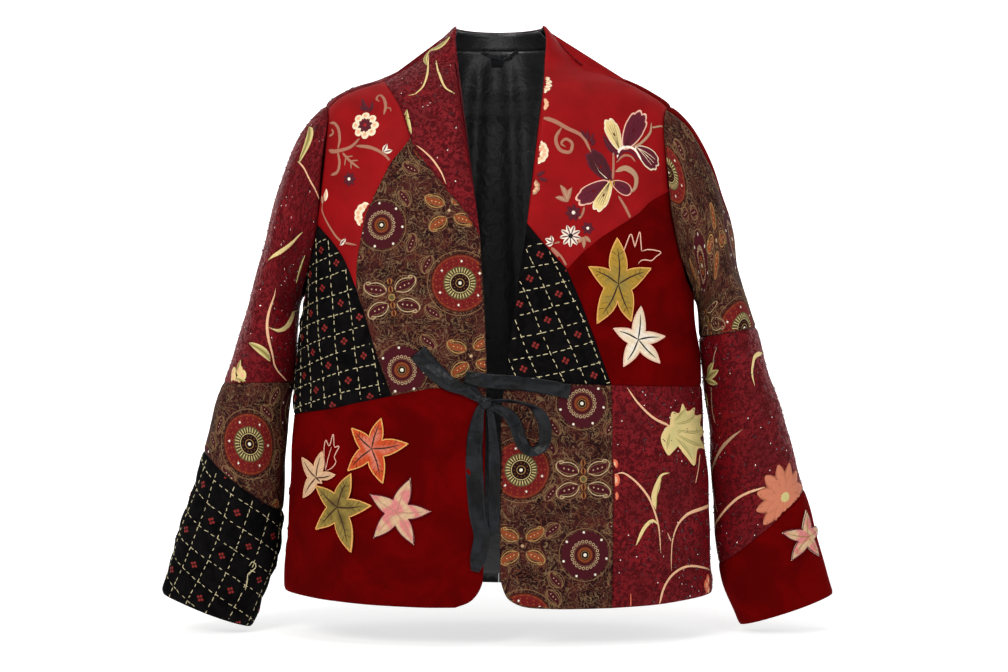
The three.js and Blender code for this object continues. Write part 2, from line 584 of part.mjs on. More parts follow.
// A place on a sleeve; turn 0 is the outer line, pi / 2 the front, reach runs down it.
function sleevePoint(sideName, turn, reach) {
  const side = SIDES[sideName];
  const oval = (at) => {
    const rows = SLEEVES[sideName];
    const place = Math.max(1, 1 + (at - HEAD) / OVAL_STEP);
    const [ox, oz, ix, iz, deep] = ['outerX', 'outerZ', 'innerX', 'innerZ', 'deep']
      .map((name) => smooth([1, 2, 3, 4, 5, 6, 7, 8], rows[name], place));
    const share = (1 + Math.cos(turn)) / 2;
    return new THREE.Vector3(side * lerp(ix, ox, share), SLEEVE_FORWARD - deep * Math.sin(turn),
      lerp(iz, oz, share));
  };
  if (reach >= HEAD) return oval(reach);
  const start = bodyPoint(side, ...armholeAt(sideName, turn, SLEEVE_GAP));
  const end = oval(HEAD);
  const size = start.distanceTo(end);
  const leave = new THREE.Vector3(0.72 * side, -0.4 * Math.sin(turn), -0.6).setLength(size);
  const arrive = oval(HEAD + 5).sub(end).setLength(size);
  const u = reach / HEAD;
  return start.multiplyScalar(2 * u ** 3 - 3 * u ** 2 + 1)
    .addScaledVector(leave, u ** 3 - 2 * u ** 2 + u)
    .addScaledVector(end, 3 * u ** 2 - 2 * u ** 3)
    .addScaledVector(arrive, u ** 3 - u ** 2);
}

function onSleeve(sideName, turn, reach, inward) {
  const low = Math.max(reach - 1, 0.01);
  const aside = sleevePoint(sideName, turn + 0.01, reach)
    .sub(sleevePoint(sideName, turn - 0.01, reach));
  const downward = sleevePoint(sideName, turn, low + 2).sub(sleevePoint(sideName, turn, low));
  const outward = aside.cross(downward).multiplyScalar(SIDES[sideName]).normalize();
  return sleevePoint(sideName, turn, reach).addScaledVector(outward, -inward);
}

const leanLine = ([middle, lean]) => (turn) => middle + lean * Math.cos(turn);

// top and bottom give the reach at each turn; split holds the turns at which an
// open piece starts and ends at a given reach.
function sleevePiece(name, sideName, top, bottom, split, colourName) {
  const rows = Math.round((bottom(Math.PI / 2) - top(Math.PI / 2)) / 30) + 1;
  const columns = split ? split.columns : ARMHOLE_STEPS;
  const outer = [];
  const inner = [];
  for (let r = 0; r < rows; r += 1) {
    for (let c = 0; c < columns; c += 1) {
      const share = r / (rows - 1);
      const place = (turn) => lerp(top(turn) + SEAM_GAP / 2, bottom(turn) - SEAM_GAP / 2, share);
      let turn = (2 * Math.PI * c) / ARMHOLE_STEPS;
      if (split) {
        turn = lerp(split.start(place(0)), split.end(place(0)), c / (columns - 1));
      }
      outer.push(onSleeve(sideName, turn, place(turn), 0));
      inner.push(onSleeve(sideName, turn, place(turn), CLOTH));
    }
  }
  const triangles = gridTriangles(rows, columns, !split);
  const facing = SIDES[sideName] > 0 ? triangles.map(([a, b, c]) => [a, c, b]) : triangles;
  add(name, sheet(outer, inner, facing), colourName);
}

const head = () => -SEAM_GAP / 2;
const cuff = () => CUFF;
const SLIT = 0.0022;        // half a seam gap as a turn
const splitTurn = (reach) => (2 * Math.PI * RIGHT_SPLIT.start) / ARMHOLE_STEPS
  + RIGHT_SPLIT.drift * reach;
const { maroon_paisley: leftHigh, paisley_black: leftLow } = SLEEVE_SEAMS.left;
const { upper_maroon: rightHigh, maroon_velvet: rightLow } = SLEEVE_SEAMS.right;
sleevePiece('left_sleeve_maroon', 'left', head, leanLine(leftHigh), null, 'maroon_velvet');
sleevePiece('left_sleeve_paisley', 'left', leanLine(leftHigh), leanLine(leftLow), null, 'paisley');
sleevePiece('left_sleeve_black', 'left', leanLine(leftLow), cuff, null, 'black_velvet');
sleevePiece('right_sleeve_paisley', 'right', head, leanLine(rightHigh), {
  columns: 16, start: (reach) => splitTurn(reach) + SLIT, end: () => Math.PI - SLIT }, 'paisley');
sleevePiece('right_sleeve_back', 'right', head, leanLine(rightHigh), {
  columns: 20, start: () => Math.PI + SLIT, end: (reach) => 2 * Math.PI + splitTurn(reach) - SLIT,
}, 'red_velvet');
sleevePiece('right_sleeve_maroon', 'right', leanLine(rightHigh), leanLine(rightLow), null,
  'maroon_velvet');
sleevePiece('right_sleeve_velvet', 'right', leanLine(rightLow), cuff, null, 'red_velvet');

// Corners of a star with leaf-shaped arms, from its middle, tips and waist.
function starOutline(middle, tips, waist) {
  const mid = new THREE.Vector2(...middle);
  const arms = tips.map((tip) => new THREE.Vector2(...tip).sub(mid));
  const corners = [];
  arms.forEach((arm, i) => {
    const next = arms[(i + 1) % arms.length];
    const notch = arm.clone().normalize().add(next.clone().normalize())
      .setLength(waist * 0.5 * (arm.length() + next.length()));
    const bulge = (from) => from.clone().lerp(notch, 0.5).multiplyScalar(1.07);
    corners.push(arm, bulge(arm), notch, bulge(next));
  });
  return corners.map((corner) => corner.add(mid));
}

// A thin star laid on a surface; at(x, z, lift) gives the place above it.
function star(name, middle, tips, waist, at, colourName) {
  const corners = starOutline(middle, tips, waist);
  const mid = new THREE.Vector2(...middle);
  const flat = [mid, ...corners.map((corner) => corner.clone().lerp(mid, 0.5)), ...corners];
  const count = corners.length;
  const triangles = [];
  for (let i = 0; i < count; i += 1) {
    const j = (i + 1) % count;
    triangles.push([0, 1 + i, 1 + j], [1 + i, 1 + count + i, 1 + count + j],
      [1 + i, 1 + count + j, 1 + j]);
  }
  const outer = flat.map(({ x, y }) => at(x, y, STAR_LIFT + STAR_WALL));
  const inner = flat.map(({ x, y }) => at(x, y, STAR_LIFT));
  const [a, b, c] = triangles[0].map((corner) => outer[corner]);
  const facing = b.clone().sub(a).cross(c.clone().sub(a));
  const outward = a.clone().sub(inner[0]);
  const turned = facing.dot(outward) > 0 ? triangles : triangles.map(([p, q, r]) => [p, r, q]);
  add(name, sheet(outer, inner, turned), colourName);
}

function frontPoint(x, z, lift) {
  const side = x < 0 ? -1 : 1;
  return onBody(side, ...fromView([x, z]), -lift);
}

for (const [name, { middle, tips, waist }] of Object.entries(STARS)) {
  const under = STARS[STAR_OVER[name]];
  const at = (x, z, lift) => {
    if (!under) return frontPoint(x, z, lift);
    const away = Math.hypot(x - under.middle[0], z - under.middle[1]);
    return frontPoint(x, z, lift + 1.1 * Math.min(1, Math.max(0, (60 - away) / 30)));
  };
  const colour = { star_gold: 'olive', star_pale: 'cream' }[name] || name.replace('star_', '');
  star(name, middle, tips, waist, at, colour);
}
const cuffTips = [0, 1, 2, 3, 4].map((i) => {
  const angle = CUFF_STAR.lean + (i * 2 * Math.PI) / 5;
  return [CUFF_STAR.arm * Math.sin(angle), CUFF_STAR.arm * Math.cos(angle)];
});
star('star_cuff', [0, 0], cuffTips, CUFF_STAR.waist, (x, y, lift) => onSleeve('right',
  CUFF_STAR.turn - x / 48, CUFF_STAR.reach - y, -lift - 0.9), 'pink');

// A ribbon along rows of [x, z, lift, width, turn]; at gives the place on the cloth.
function ribbon(name, rows, at, wall, colourName) {
  const smoothRows = [];
  const columnOf = (index) => rows.map((row) => row[index]);
  const places = rows.map((_, i) => i);
  for (let i = 0; i <= (rows.length - 1) * 2; i += 1) {
    smoothRows.push([0, 1, 2, 3, 4].map((index) => smooth(places, columnOf(index), i / 2)));
  }
  const outer = [];
  const inner = [];
  smoothRows.forEach(([x, z, lift, width, turn], i) => {
    const back = smoothRows[Math.max(i - 1, 0)];
    const ahead = smoothRows[Math.min(i + 1, smoothRows.length - 1)];
    const point = at(x, z, lift);
    const normal = at(x, z, lift + 1).sub(point).normalize();
    const path = at(ahead[0], ahead[1], ahead[2]).sub(at(back[0], back[1], back[2])).normalize();
    const flat = path.clone().cross(normal).normalize();
    const angle = THREE.MathUtils.degToRad(turn);
    const wide = flat.clone().multiplyScalar(Math.cos(angle))
      .addScaledVector(normal, Math.sin(angle));
    const thick = wide.clone().cross(path).normalize().multiplyScalar(wall);
    for (const half of [-0.5, 0.5]) {
      const corner = point.clone().addScaledVector(wide, width * half);
      outer.push(corner);
      inner.push(corner.clone().sub(thick));
    }
  });
  const facing = gridTriangles(smoothRows.length, 2, false).map(([a, b, c]) => [a, c, b]);
  add(name, sheet(outer, inner, facing), colourName);
}

for (const [name, rows] of Object.entries(RIBBONS)) {
  ribbon(name, rows, frontPoint, RIBBON, 'satin');
}

const knot = new THREE.IcosahedronGeometry(0.5, 1);
knot.deleteAttribute('normal');
knot.deleteAttribute('uv');
knot.scale(KNOT.wide, KNOT.deep, KNOT.high);
knot.translate(...frontPoint(...KNOT.at, KNOT.lift).toArray());
add('bow_knot', knot, 'satin');

function neckPoint(x, z, lift) {
  const down = downAt(z);
  const round = halfRound(down) - along(quarter(down, 'back'), 'x', Math.abs(x), 'arc');
  return onBody(x < 0 ? -1 : 1, round, down, liningDepth(down) + LINING + lift);
}
for (const [name, rows] of Object.entries(NECK_PIECES)) {
  ribbon(name, rows, neckPoint, 0.7, 'satin');
}

export default jacket;
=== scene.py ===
"""Patchwork kimono jacket, filled out as if worn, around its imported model.

Lengths in this file are millimetres in the jacket's own frame: +X to the right as seen
from the front, the fronts face -Y, +Z up, and the origin lies midway between the two points
where neck and shoulder meet. Meshes get them in metres. A pixel is a pixel of the
1008 x 672 photograph.
"""

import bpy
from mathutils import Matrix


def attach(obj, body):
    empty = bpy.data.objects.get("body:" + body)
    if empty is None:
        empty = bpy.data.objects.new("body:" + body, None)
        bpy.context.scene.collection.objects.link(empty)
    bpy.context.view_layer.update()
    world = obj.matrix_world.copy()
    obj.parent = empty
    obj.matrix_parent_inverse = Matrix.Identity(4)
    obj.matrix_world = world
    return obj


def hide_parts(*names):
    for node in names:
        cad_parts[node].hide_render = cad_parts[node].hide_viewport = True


bl_info = {
    "name": "Patchwork Kimono Jacket",
    "version": (1, 0, 0),
    "blender": (4, 5, 0),
    "location": "View3D > Sidebar > Jacket",
    "description": "Builds the cloth, stitching and ribbons of a patchwork kimono jacket",
    "category": "Object",
}

import math

import bpy
import numpy as np
from bpy.props import FloatProperty, FloatVectorProperty, PointerProperty
from mathutils.bvhtree import BVHTree
from mathutils.geometry import delaunay_2d_cdt

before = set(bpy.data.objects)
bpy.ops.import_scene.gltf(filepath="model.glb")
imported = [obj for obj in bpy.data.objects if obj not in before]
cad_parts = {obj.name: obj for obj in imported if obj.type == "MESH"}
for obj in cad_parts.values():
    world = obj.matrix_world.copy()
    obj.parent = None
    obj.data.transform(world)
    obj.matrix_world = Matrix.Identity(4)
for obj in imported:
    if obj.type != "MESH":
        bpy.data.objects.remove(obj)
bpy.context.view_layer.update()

MM = 0.001
SIDES = {"left": -1, "right": 1}

# The photograph's view: a level camera in front of the jacket.
IMAGE = (1008, 672)
MM_PER_PIXEL = 1.15                    # at the plane y = 0
VIEW_DISTANCE = 2400.0
VIEW_CENTRE = (6.3, -310.5)            # x and z seen in the middle of the image

# The body as horizontal rings, the same table as in the part's source.
RINGS = {
    "down": [-70, -50, -25, 0, 25, 55, 85, 120, 170, 240, 312, 440, 560, 648, 668],
    "height": [46, 33, 15, 0, -13, -28, -46, -76, -126, -196, -268, -396, -516, -604, -624],
    "half": [52.5, 64.5, 82, 102, 134, 173, 199, 210, 215, 217, 223.5, 234.5, 241, 245.5, 246.5],
    "front": [44, 50, 57, 64, 72, 82, 93, 104, 114, 121, 125, 129, 134, 138, 139],
    "back": [52, 57, 63, 70, 78, 88, 97, 104, 109, 111, 111, 113, 117, 121, 122],
    "front_round": [2, 1.9, 1.7, 1.5, 1.45, 1.5, 1.65, 1.95, 2.3, 2.45, 2.45, 2.4, 2.4, 2.4, 2.4],
    "back_round": [2, 2, 2, 2, 2, 2, 2, 2.1, 2.3, 2.45, 2.45, 2.4, 2.4, 2.4, 2.4],
}
ARMHOLE_STEPS = 34
ARMHOLE = {"middle": 198.5, "half_height": 113.5, "back": 60, "front": {"left": 58, "right": 74}}

# The sleeves below their heads, as ovals every OVAL_STEP of reach.
SLEEVES = {
    "left": {
        "outer_x": [283.7, 299.5, 315.7, 331, 345.5, 360, 373, 385.8],
        "outer_z": [-267, -315, -366.5, -417, -468, -516, -560, -605],
        "inner_x": [228.5, 234, 239, 243, 247.5, 252, 266, 284.6],
        "inner_z": [-284, -335, -390, -445, -500, -552, -598, -643],
        "deep": [74, 70, 64, 58, 52, 43, 37, 33],
    },
    "right": {
        "outer_x": [283.7, 299.5, 315.7, 331, 345, 358, 371, 384.7],
        "outer_z": [-267, -315, -366.5, -417, -468, -516, -560, -605],
        "inner_x": [228.5, 234, 239, 243, 247.5, 250, 259, 275.4],
        "inner_z": [-284, -335, -390, -445, -500, -552, -597, -641.7],
        "deep": [74, 70, 64, 58, 52, 44, 39, 35],
    },
}
SLEEVE_FORWARD = -4
SLEEVE_GAP = 0.45
HEAD = 180
OVAL_STEP = 50
CUFF = HEAD + 7 * OVAL_STEP
SLEEVE_SEAMS = {
    "left": {"maroon_paisley": (266, 11), "paisley_black": (372, -18)},
    "right": {"upper_maroon": (211, 3.5), "maroon_velvet": (424, -26)},
}
RIGHT_SPLIT = {"start": 2, "drift": -0.0019}

# Seams of the fronts as (x, z) seen from the front.
FRONT_SEAMS = {
    "left": {
        "edge_neck": [(-50.8, 46), (-50.6, 39), (-48.9, -1), (-45.6, -55), (-41.6, -79), (-33.7, -117),
                      (-25.9, -156), (-19.9, -201)],
        "edge_paisley": [(-19.9, -201), (-15.5, -271), (-13.3, -320), (-12.4, -353), (-13.3, -378)],
        "edge_velvet": [(-13.3, -378), (-14.3, -434), (-15.4, -510), (-16.5, -575), (-20.8, -588),
                        (-30.5, -599), (-46.8, -605.5)],
        "neck_sateen": [(-130, -18), (-122, -32.5), (-114.5, -46.8), (-109, -57), (-104.5, -69.5),
                        (-100, -84), (-97.5, -91)],
        "neck_paisley": [(-97.5, -91), (-91.7, -103.5), (-78.2, -122.7), (-64.9, -138.4),
                         (-56.1, -150.6), (-44, -163.9), (-30.8, -181.6), (-19.9, -201)],
        "sateen_paisley": [(-97.5, -91), (-106.2, -104.3), (-120.5, -122), (-130.4, -141.8),
                           (-139.2, -160.5), (-145.9, -171.5), (-151.4, -199.1), (-155.8, -226.7),
                           (-156.8, -257.6)],
        "sateen_black": [(-202, -187), (-187.5, -203.6), (-173.2, -221.9), (-163.8, -239.8),
                         (-156.8, -257.6)],
        "black_paisley": [(-156.8, -257.6), (-149.9, -281.9), (-138.6, -314.9), (-129.6, -342.3),
                          (-117.3, -376.1)],
        "black_velvet": [(-234, -400.8), (-186.3, -391.3), (-151.9, -383), (-117.3, -376.1)],
        "paisley_velvet": [(-117.3, -376.1), (-90.8, -370.5), (-63.4, -367.2), (-41.6, -371.5),
                           (-13.3, -378)],
        "hem": [(-245, -598), (-221.1, -599.5), (-191, -601.6), (-140, -604.2), (-84.9, -605.9),
                (-46.8, -605.5)],
    },
    "right": {
        "edge_sateen": [(51.8, 46), (53.6, 41), (54.6, 14), (52.4, -10), (49.7, -35), (48, -66),
                        (43.6, -106), (37, -151), (31.5, -187)],
        "edge_black": [(31.5, -187), (23.8, -238.5), (15, -298.5), (7.4, -356.2)],
        "edge_paisley": [(7.4, -356.2), (3.1, -402), (2, -489), (2, -570), (5.2, -586), (11.7, -597),
                         (29.1, -605), (67.1, -607.5)],
        "sateen_black": [(31.5, -187), (51.1, -211.1), (75.2, -237.3)],
        "sateen_velvet": [(200, -144), (170.6, -160.6), (154.4, -175.7), (132.8, -189.5),
                          (111.6, -201.9), (95, -216.4), (75.2, -237.3)],
        "black_velvet": [(75.2, -237.3), (89.4, -271.2), (105.8, -314.9), (124.6, -364.1)],
        "black_paisley": [(124.6, -364.1), (67.4, -362.8), (7.4, -356.2)],
        "velvet_maroon": [(236, -366.9), (178.7, -365.8), (124.6, -364.1)],
        "paisley_maroon": [(124.6, -364.1), (125.9, -489.7), (125.1, -607.5)],
        "hem_maroon": [(245, -601), (209.3, -603.3), (166.4, -606), (125.1, -607.5)],
        "hem_paisley": [(125.1, -607.5), (67.1, -607.5)],
    },
}
# Seams along the line between front and back as (ahead of it, down).
LINE_SEAMS = {
    "collar": [(-10, -70), (0, -40), (14, 0)],
    "shoulder_neck": [(14, 0), (25, 34)],
    "shoulder": [(25, 34), (22, 65), (21, 92.7)],
}
SIDE_JOINTS = {"left": 444.8, "right": 410.9}
BACK_JOINT = 352
SIDE_HEM = 644
BACK_HEM = 652
FACING_DOWN = -40
LINING_DEPTH = 5
SEAM_SPACING = 3.0       # between the points of a seam
SEAM_MEET = 2.5          # seams whose ends are nearer than this meet
LINING_EDGE = {"down": [-70, -40, 0, 60, 92, 140, 198, 255, 300, 325, 640],
               "behind": [14, 14, 32, 42, 48, 60, 68, 62, 44, 16, 6]}

# Every patch: side, seams in order (a pair is a run of armhole stitches), cloth.
BACK_UPPER = ["neck_line", "shoulder_neck", "shoulder", (2, -17), "side_top", "back_joint", "back_top"]
BACK_LOWER = ["back_joint", "side_low", "back_hem", "back_low"]
PATCHES = {
    "left_front_neck": ("left", ["edge_neck", "neck_paisley", "neck_sateen", "shoulder_neck",
                                 "collar", "collar_top"], "maroon_velvet"),
    "left_front_sateen": ("left", ["neck_sateen", "shoulder", (2, 10), "sateen_black",
                                   "sateen_paisley"], "sateen"),
    "left_front_paisley": ("left", ["sateen_paisley", "neck_paisley", "edge_paisley",
                                    "paisley_velvet", "black_paisley"], "paisley"),
    "left_front_black": ("left", ["sateen_black", "black_paisley", "black_velvet", "side_top",
                                  (17, 10)], "black_velvet"),
    "left_front_velvet": ("left", ["black_velvet", "paisley_velvet", "edge_velvet", "hem",
                                   "side_low"], "red_velvet"),
    "right_front_sateen": ("right", ["edge_sateen", "sateen_black", "sateen_velvet", (8, 2),
                                     "shoulder", "shoulder_neck", "collar", "collar_top"], "sateen"),
    "right_front_black": ("right", ["sateen_black", "black_velvet", "black_paisley", "edge_black"],
                          "black_velvet"),
    "right_front_velvet": ("right", ["sateen_velvet", "black_velvet", "velvet_maroon", "side_top",
                                     (17, 8)], "red_velvet"),
    "right_front_paisley": ("right", ["black_paisley", "edge_paisley", "hem_paisley",
                                      "paisley_maroon"], "paisley"),
    "right_front_maroon": ("right", ["velvet_maroon", "paisley_maroon", "hem_maroon", "side_low"],
                           "maroon_velvet"),
    "back_left_upper": ("left", BACK_UPPER, "maroon_velvet"),
    "back_right_upper": ("right", BACK_UPPER, "red_velvet"),
    "back_left_lower": ("left", BACK_LOWER, "black_velvet"),
    "back_right_lower": ("right", BACK_LOWER, "paisley"),
}


# The form

def smooth(places, values, place):
    """Cubic through a column: h00(u) v0 + h10(u) s m0 + h01(u) v1 + h11(u) s m1, where u is the
    share of the way from one place to the next, s the step and m the slope between neighbours."""
    places, values, place = (np.asarray(a, float) for a in (places, values, place))
    i = np.clip(np.searchsorted(places, place, side="right") - 1, 0, len(places) - 2)
    last = len(places) - 1

    def slope(k):
        a, b = np.maximum(k - 1, 0), np.minimum(k + 1, last)
        return (values[b] - values[a]) / (places[b] - places[a])

    step = places[i + 1] - places[i]
    u = (place - places[i]) / step
    return ((2 * u**3 - 3 * u**2 + 1) * values[i] + (u**3 - 2 * u**2 + u) * step * slope(i)
            + (3 * u**2 - 2 * u**3) * values[i + 1] + (u**3 - u**2) * step * slope(i + 1))


def chord(points):
    """Distance along a row of points: the running sum of |p[k+1] - p[k]|."""
    return np.concatenate([[0], np.cumsum(np.linalg.norm(np.diff(points, axis=0), axis=1))])


def curve(points, spacing):
    """Smooth curve through points, with a point about every spacing."""
    points = np.asarray(points, float)
    at = chord(points)
    count = max(2, int(round(at[-1] / spacing)) + 1)
    dense = np.linspace(0, at[-1], 8 * count)
    track = np.stack([smooth(at, points[:, k], dense) for k in range(points.shape[1])], axis=1)
    way = chord(track)
    even = np.linspace(0, way[-1], count)
    return np.stack([np.interp(even, way, track[:, k]) for k in range(points.shape[1])], axis=1)


RING_ROWS = np.arange(-72.0, 671.0)
RING = {name: smooth(RINGS["down"], RINGS[name], RING_ROWS) for name in RINGS}


def quarter(face):
    """x = half sin(t)^(2/round), y = depth cos(t)^(2/round), for t from the middle to the side."""
    turn = np.linspace(0, math.pi / 2, 121)[None, :]
    power = (2 / RING[face + "_round"])[:, None]
    x = RING["half"][:, None] * np.sin(turn) ** power
    y = RING[face][:, None] * np.maximum(np.cos(turn), 0) ** power
    arc = np.concatenate([np.zeros((len(x), 1)), np.cumsum(np.hypot(np.diff(x), np.diff(y)), axis=1)], axis=1)
    return x, y, arc


FRONT_X, FRONT_Y, FRONT_ARC = quarter("front")
BACK_X, BACK_Y, BACK_ARC = quarter("back")
FRONT_LENGTH = FRONT_ARC[:, -1]
HALF_LENGTH = FRONT_LENGTH + BACK_ARC[:, -1]


def front_length(down):
    """Arc length from the middle of the front to the side line."""
    return np.interp(down, RING_ROWS, FRONT_LENGTH)


def half_length(down):
    """Arc length from the middle of the front to the middle of the back."""
    return np.interp(down, RING_ROWS, HALF_LENGTH)


class Wrap:
    """A surface as a table. Row k runs around the garment at one distance down it, and column j
    holds the place at arc length first + j * STEP along that row: S(u, v) is read between the
    four nearest entries. outward is the sign that turns dS/du x dS/dv outwards."""

    STEP = 2.0
    MARGIN = 70.0

    def __init__(self, rows, places, outward):
        self.rows = np.asarray(rows, float)
        self.outward = outward
        arcs = []
        for row, zero in places:
            way = chord(row)
            arcs.append(way - way[zero])
        self.first = -self.MARGIN
        self.count = int((max(a[-1] for a in arcs) + self.MARGIN) / self.STEP) + 2
        columns = self.first + self.STEP * np.arange(self.count)
        self.table = np.stack([
            np.stack([np.interp(columns, arc, row[:, k]) for k in range(3)], axis=1)
            for arc, (row, _) in zip(arcs, places)])

    def at(self, u, v):
        """S(u, v)."""
        row = np.clip((v - self.rows[0]) / (self.rows[1] - self.rows[0]), 0, len(self.rows) - 1.001)
        column = np.clip((u - self.first) / self.STEP, 0, self.count - 1.001)
        r, c = row.astype(int), column.astype(int)
        a, b = (row - r)[:, None], (column - c)[:, None]
        t = self.table
        return ((1 - a) * ((1 - b) * t[r, c] + b * t[r, c + 1])
                + a * ((1 - b) * t[r + 1, c] + b * t[r + 1, c + 1]))

    def normal(self, u, v, reach=2.0):
        """n = (S(u+r, v) - S(u-r, v)) x (S(u, v+r) - S(u, v-r)), made one long."""
        across = self.at(u + reach, v) - self.at(u - reach, v)
        low = np.maximum(v - reach, self.rows[0])
        high = np.minimum(v + reach, self.rows[-1])
        n = np.cross(across, self.at(u, high) - self.at(u, low)) * self.outward
        return n / np.maximum(np.linalg.norm(n, axis=1), 1e-9)[:, None]


OVERLAP = 60            # points of the other half that a half carries on with past each middle


def body_wrap(side, face):
    """Half rings from the middle of the front or of the back round to the other middle."""
    places = []
    for k, z in enumerate(RING["height"]):
        front = np.stack([FRONT_X[k], -FRONT_Y[k]], axis=1)
        back = np.stack([BACK_X[k], BACK_Y[k]], axis=1)[::-1]
        half = np.concatenate([front, back[1:]])
        if face == "back":
            half = half[::-1]
        start = half[1:OVERLAP][::-1] * [-1, 1]
        end = half[-OVERLAP:-1][::-1] * [-1, 1]
        row = np.concatenate([start, half, end])
        row = np.concatenate([row * [side, 1], np.full((len(row), 1), z)], axis=1)
        places.append((row, len(start)))
    outward = -side if face == "front" else side
    return Wrap(RING_ROWS, places, outward)


def armhole_at(name, turn, shrink=0.0):
    """The armhole oval in the chart: down = m - h cos(t), round = side line - r sin(t)."""
    turn = np.asarray(turn, float)
    reach = np.where(np.sin(turn) > 0, ARMHOLE["front"][name], ARMHOLE["back"]) - shrink
    down = ARMHOLE["middle"] - (ARMHOLE["half_height"] - shrink) * np.cos(turn)
    return np.stack([front_length(down) - reach * np.sin(turn), down], axis=-1)


def oval(name, turn, reach):
    """Sleeve below its head: the oval's outer and inner ends by cos(t), its depth by sin(t)."""
    table = SLEEVES[name]
    place = np.maximum(1, 1 + (reach - HEAD) / OVAL_STEP)
    ox, oz, ix, iz, deep = (smooth(np.arange(1, 9), table[key], place)
                            for key in ("outer_x", "outer_z", "inner_x", "inner_z", "deep"))
    share = (1 + np.cos(turn)) / 2
    return np.stack([SIDES[name] * (ix + (ox - ix) * share), SLEEVE_FORWARD - deep * np.sin(turn),
                     iz + (oz - iz) * share], axis=-1)


HEAD_LEAVES = (0.72, 0.4, 0.6)   # way in which a sleeve leaves its armhole: out, to the front, down


def sleeve_point(name, turn, reach, body):
    """Head: a cubic from the armhole to the first oval, h00 A + h10 s d + h01 B + h11 s e."""
    if reach >= HEAD:
        return oval(name, turn, np.full_like(turn, reach))
    side = SIDES[name]
    place = armhole_at(name, turn, SLEEVE_GAP)
    start = body.at(place[:, 0], place[:, 1])
    end = oval(name, turn, np.full_like(turn, float(HEAD)))
    size = np.linalg.norm(end - start, axis=1)[:, None]
    out, ahead, fall = HEAD_LEAVES
    leave = np.stack([np.full_like(turn, out * side), -ahead * np.sin(turn), np.full_like(turn, -fall)], 1)
    arrive = oval(name, turn, np.full_like(turn, HEAD + 5.0)) - end
    leave *= size / np.linalg.norm(leave, axis=1)[:, None]
    arrive *= size / np.linalg.norm(arrive, axis=1)[:, None]
    u = max(reach, 0) / HEAD
    return ((2 * u**3 - 3 * u**2 + 1) * start + (u**3 - 2 * u**2 + u) * leave
            + (3 * u**2 - 2 * u**3) * end + (u**3 - u**2) * arrive)


SLEEVE_ROW_STEP = 2.0
TURN_MARGIN = 1.9        # how far a sleeve's table of turns goes past one round at both ends
SLEEVE_TURNS = np.linspace(-TURN_MARGIN, 2 * math.pi + TURN_MARGIN, 360)
SLEEVE_ZERO = int(np.argmin(np.abs(SLEEVE_TURNS)))
SLEEVE_ROWS = np.arange(-SLEEVE_ROW_STEP, CUFF + 3.0, SLEEVE_ROW_STEP)


def sleeve_wrap(name):
    """Rings around a sleeve; u starts at the outer line and grows over the front. turns holds the
    turn at each entry, so that a seam given by its turn finds its place."""
    body = BODY[name, "front"]
    shift = SLEEVE_TURNS - SLEEVE_TURNS[SLEEVE_ZERO]
    places = [(sleeve_point(name, shift, reach, body), SLEEVE_ZERO) for reach in SLEEVE_ROWS]
    wrap = Wrap(SLEEVE_ROWS, places, SIDES[name])
    wrap.arcs = np.stack([chord(row) - chord(row)[SLEEVE_ZERO] for row, _ in places])
    wrap.turns = shift
    return wrap


def arc_of_turn(wrap, turn, reach):
    """Arc length from the outer line to a turn, at a reach."""
    row = np.clip((reach - wrap.rows[0]) / SLEEVE_ROW_STEP, 0, len(wrap.rows) - 1.001)
    column = np.interp(turn, wrap.turns, np.arange(len(wrap.turns)))
    r, c = row.astype(int), np.minimum(column.astype(int), len(wrap.turns) - 2)
    a, b = row - r, column - c
    t = wrap.arcs
    return (1 - a) * ((1 - b) * t[r, c] + b * t[r, c + 1]) + a * ((1 - b) * t[r + 1, c] + b * t[r + 1, c + 1])


SMALL_TURN = 0.02


def turn_of_arc(wrap, arc, reach):
    """Turn at an arc length, by six Newton steps on arc_of_turn, its slope by differences."""
    turn = arc * 2 * math.pi / np.maximum(arc_of_turn(wrap, np.full_like(arc, 2 * math.pi), reach), 1)
    for _ in range(6):
        miss = arc_of_turn(wrap, turn, reach) - arc
        rise = arc_of_turn(wrap, turn + SMALL_TURN, reach) - arc_of_turn(wrap, turn - SMALL_TURN, reach)
        rate = rise / (2 * SMALL_TURN)
        turn = turn - miss / np.maximum(rate, 5.0)
    return turn


BODY = {(name, face): body_wrap(side, face) for name, side in SIDES.items() for face in ("front", "back")}
SLEEVE = {name: sleeve_wrap(name) for name in SIDES}


def pixel(points):
    """Pixel of a place: p = centre + (x, z) / mm-per-pixel * D / (D + y)."""
    near = VIEW_DISTANCE / (VIEW_DISTANCE + points[:, 1]) / MM_PER_PIXEL
    return np.stack([IMAGE[0] / 2 + (points[:, 0] - VIEW_CENTRE[0]) * near,
                     IMAGE[1] / 2 - (points[:, 2] - VIEW_CENTRE[1]) * near], axis=1)


def crossed(a, b):
    """a x b for rows of flat vectors."""
    return a[:, 0] * b[:, 1] - a[:, 1] * b[:, 0]


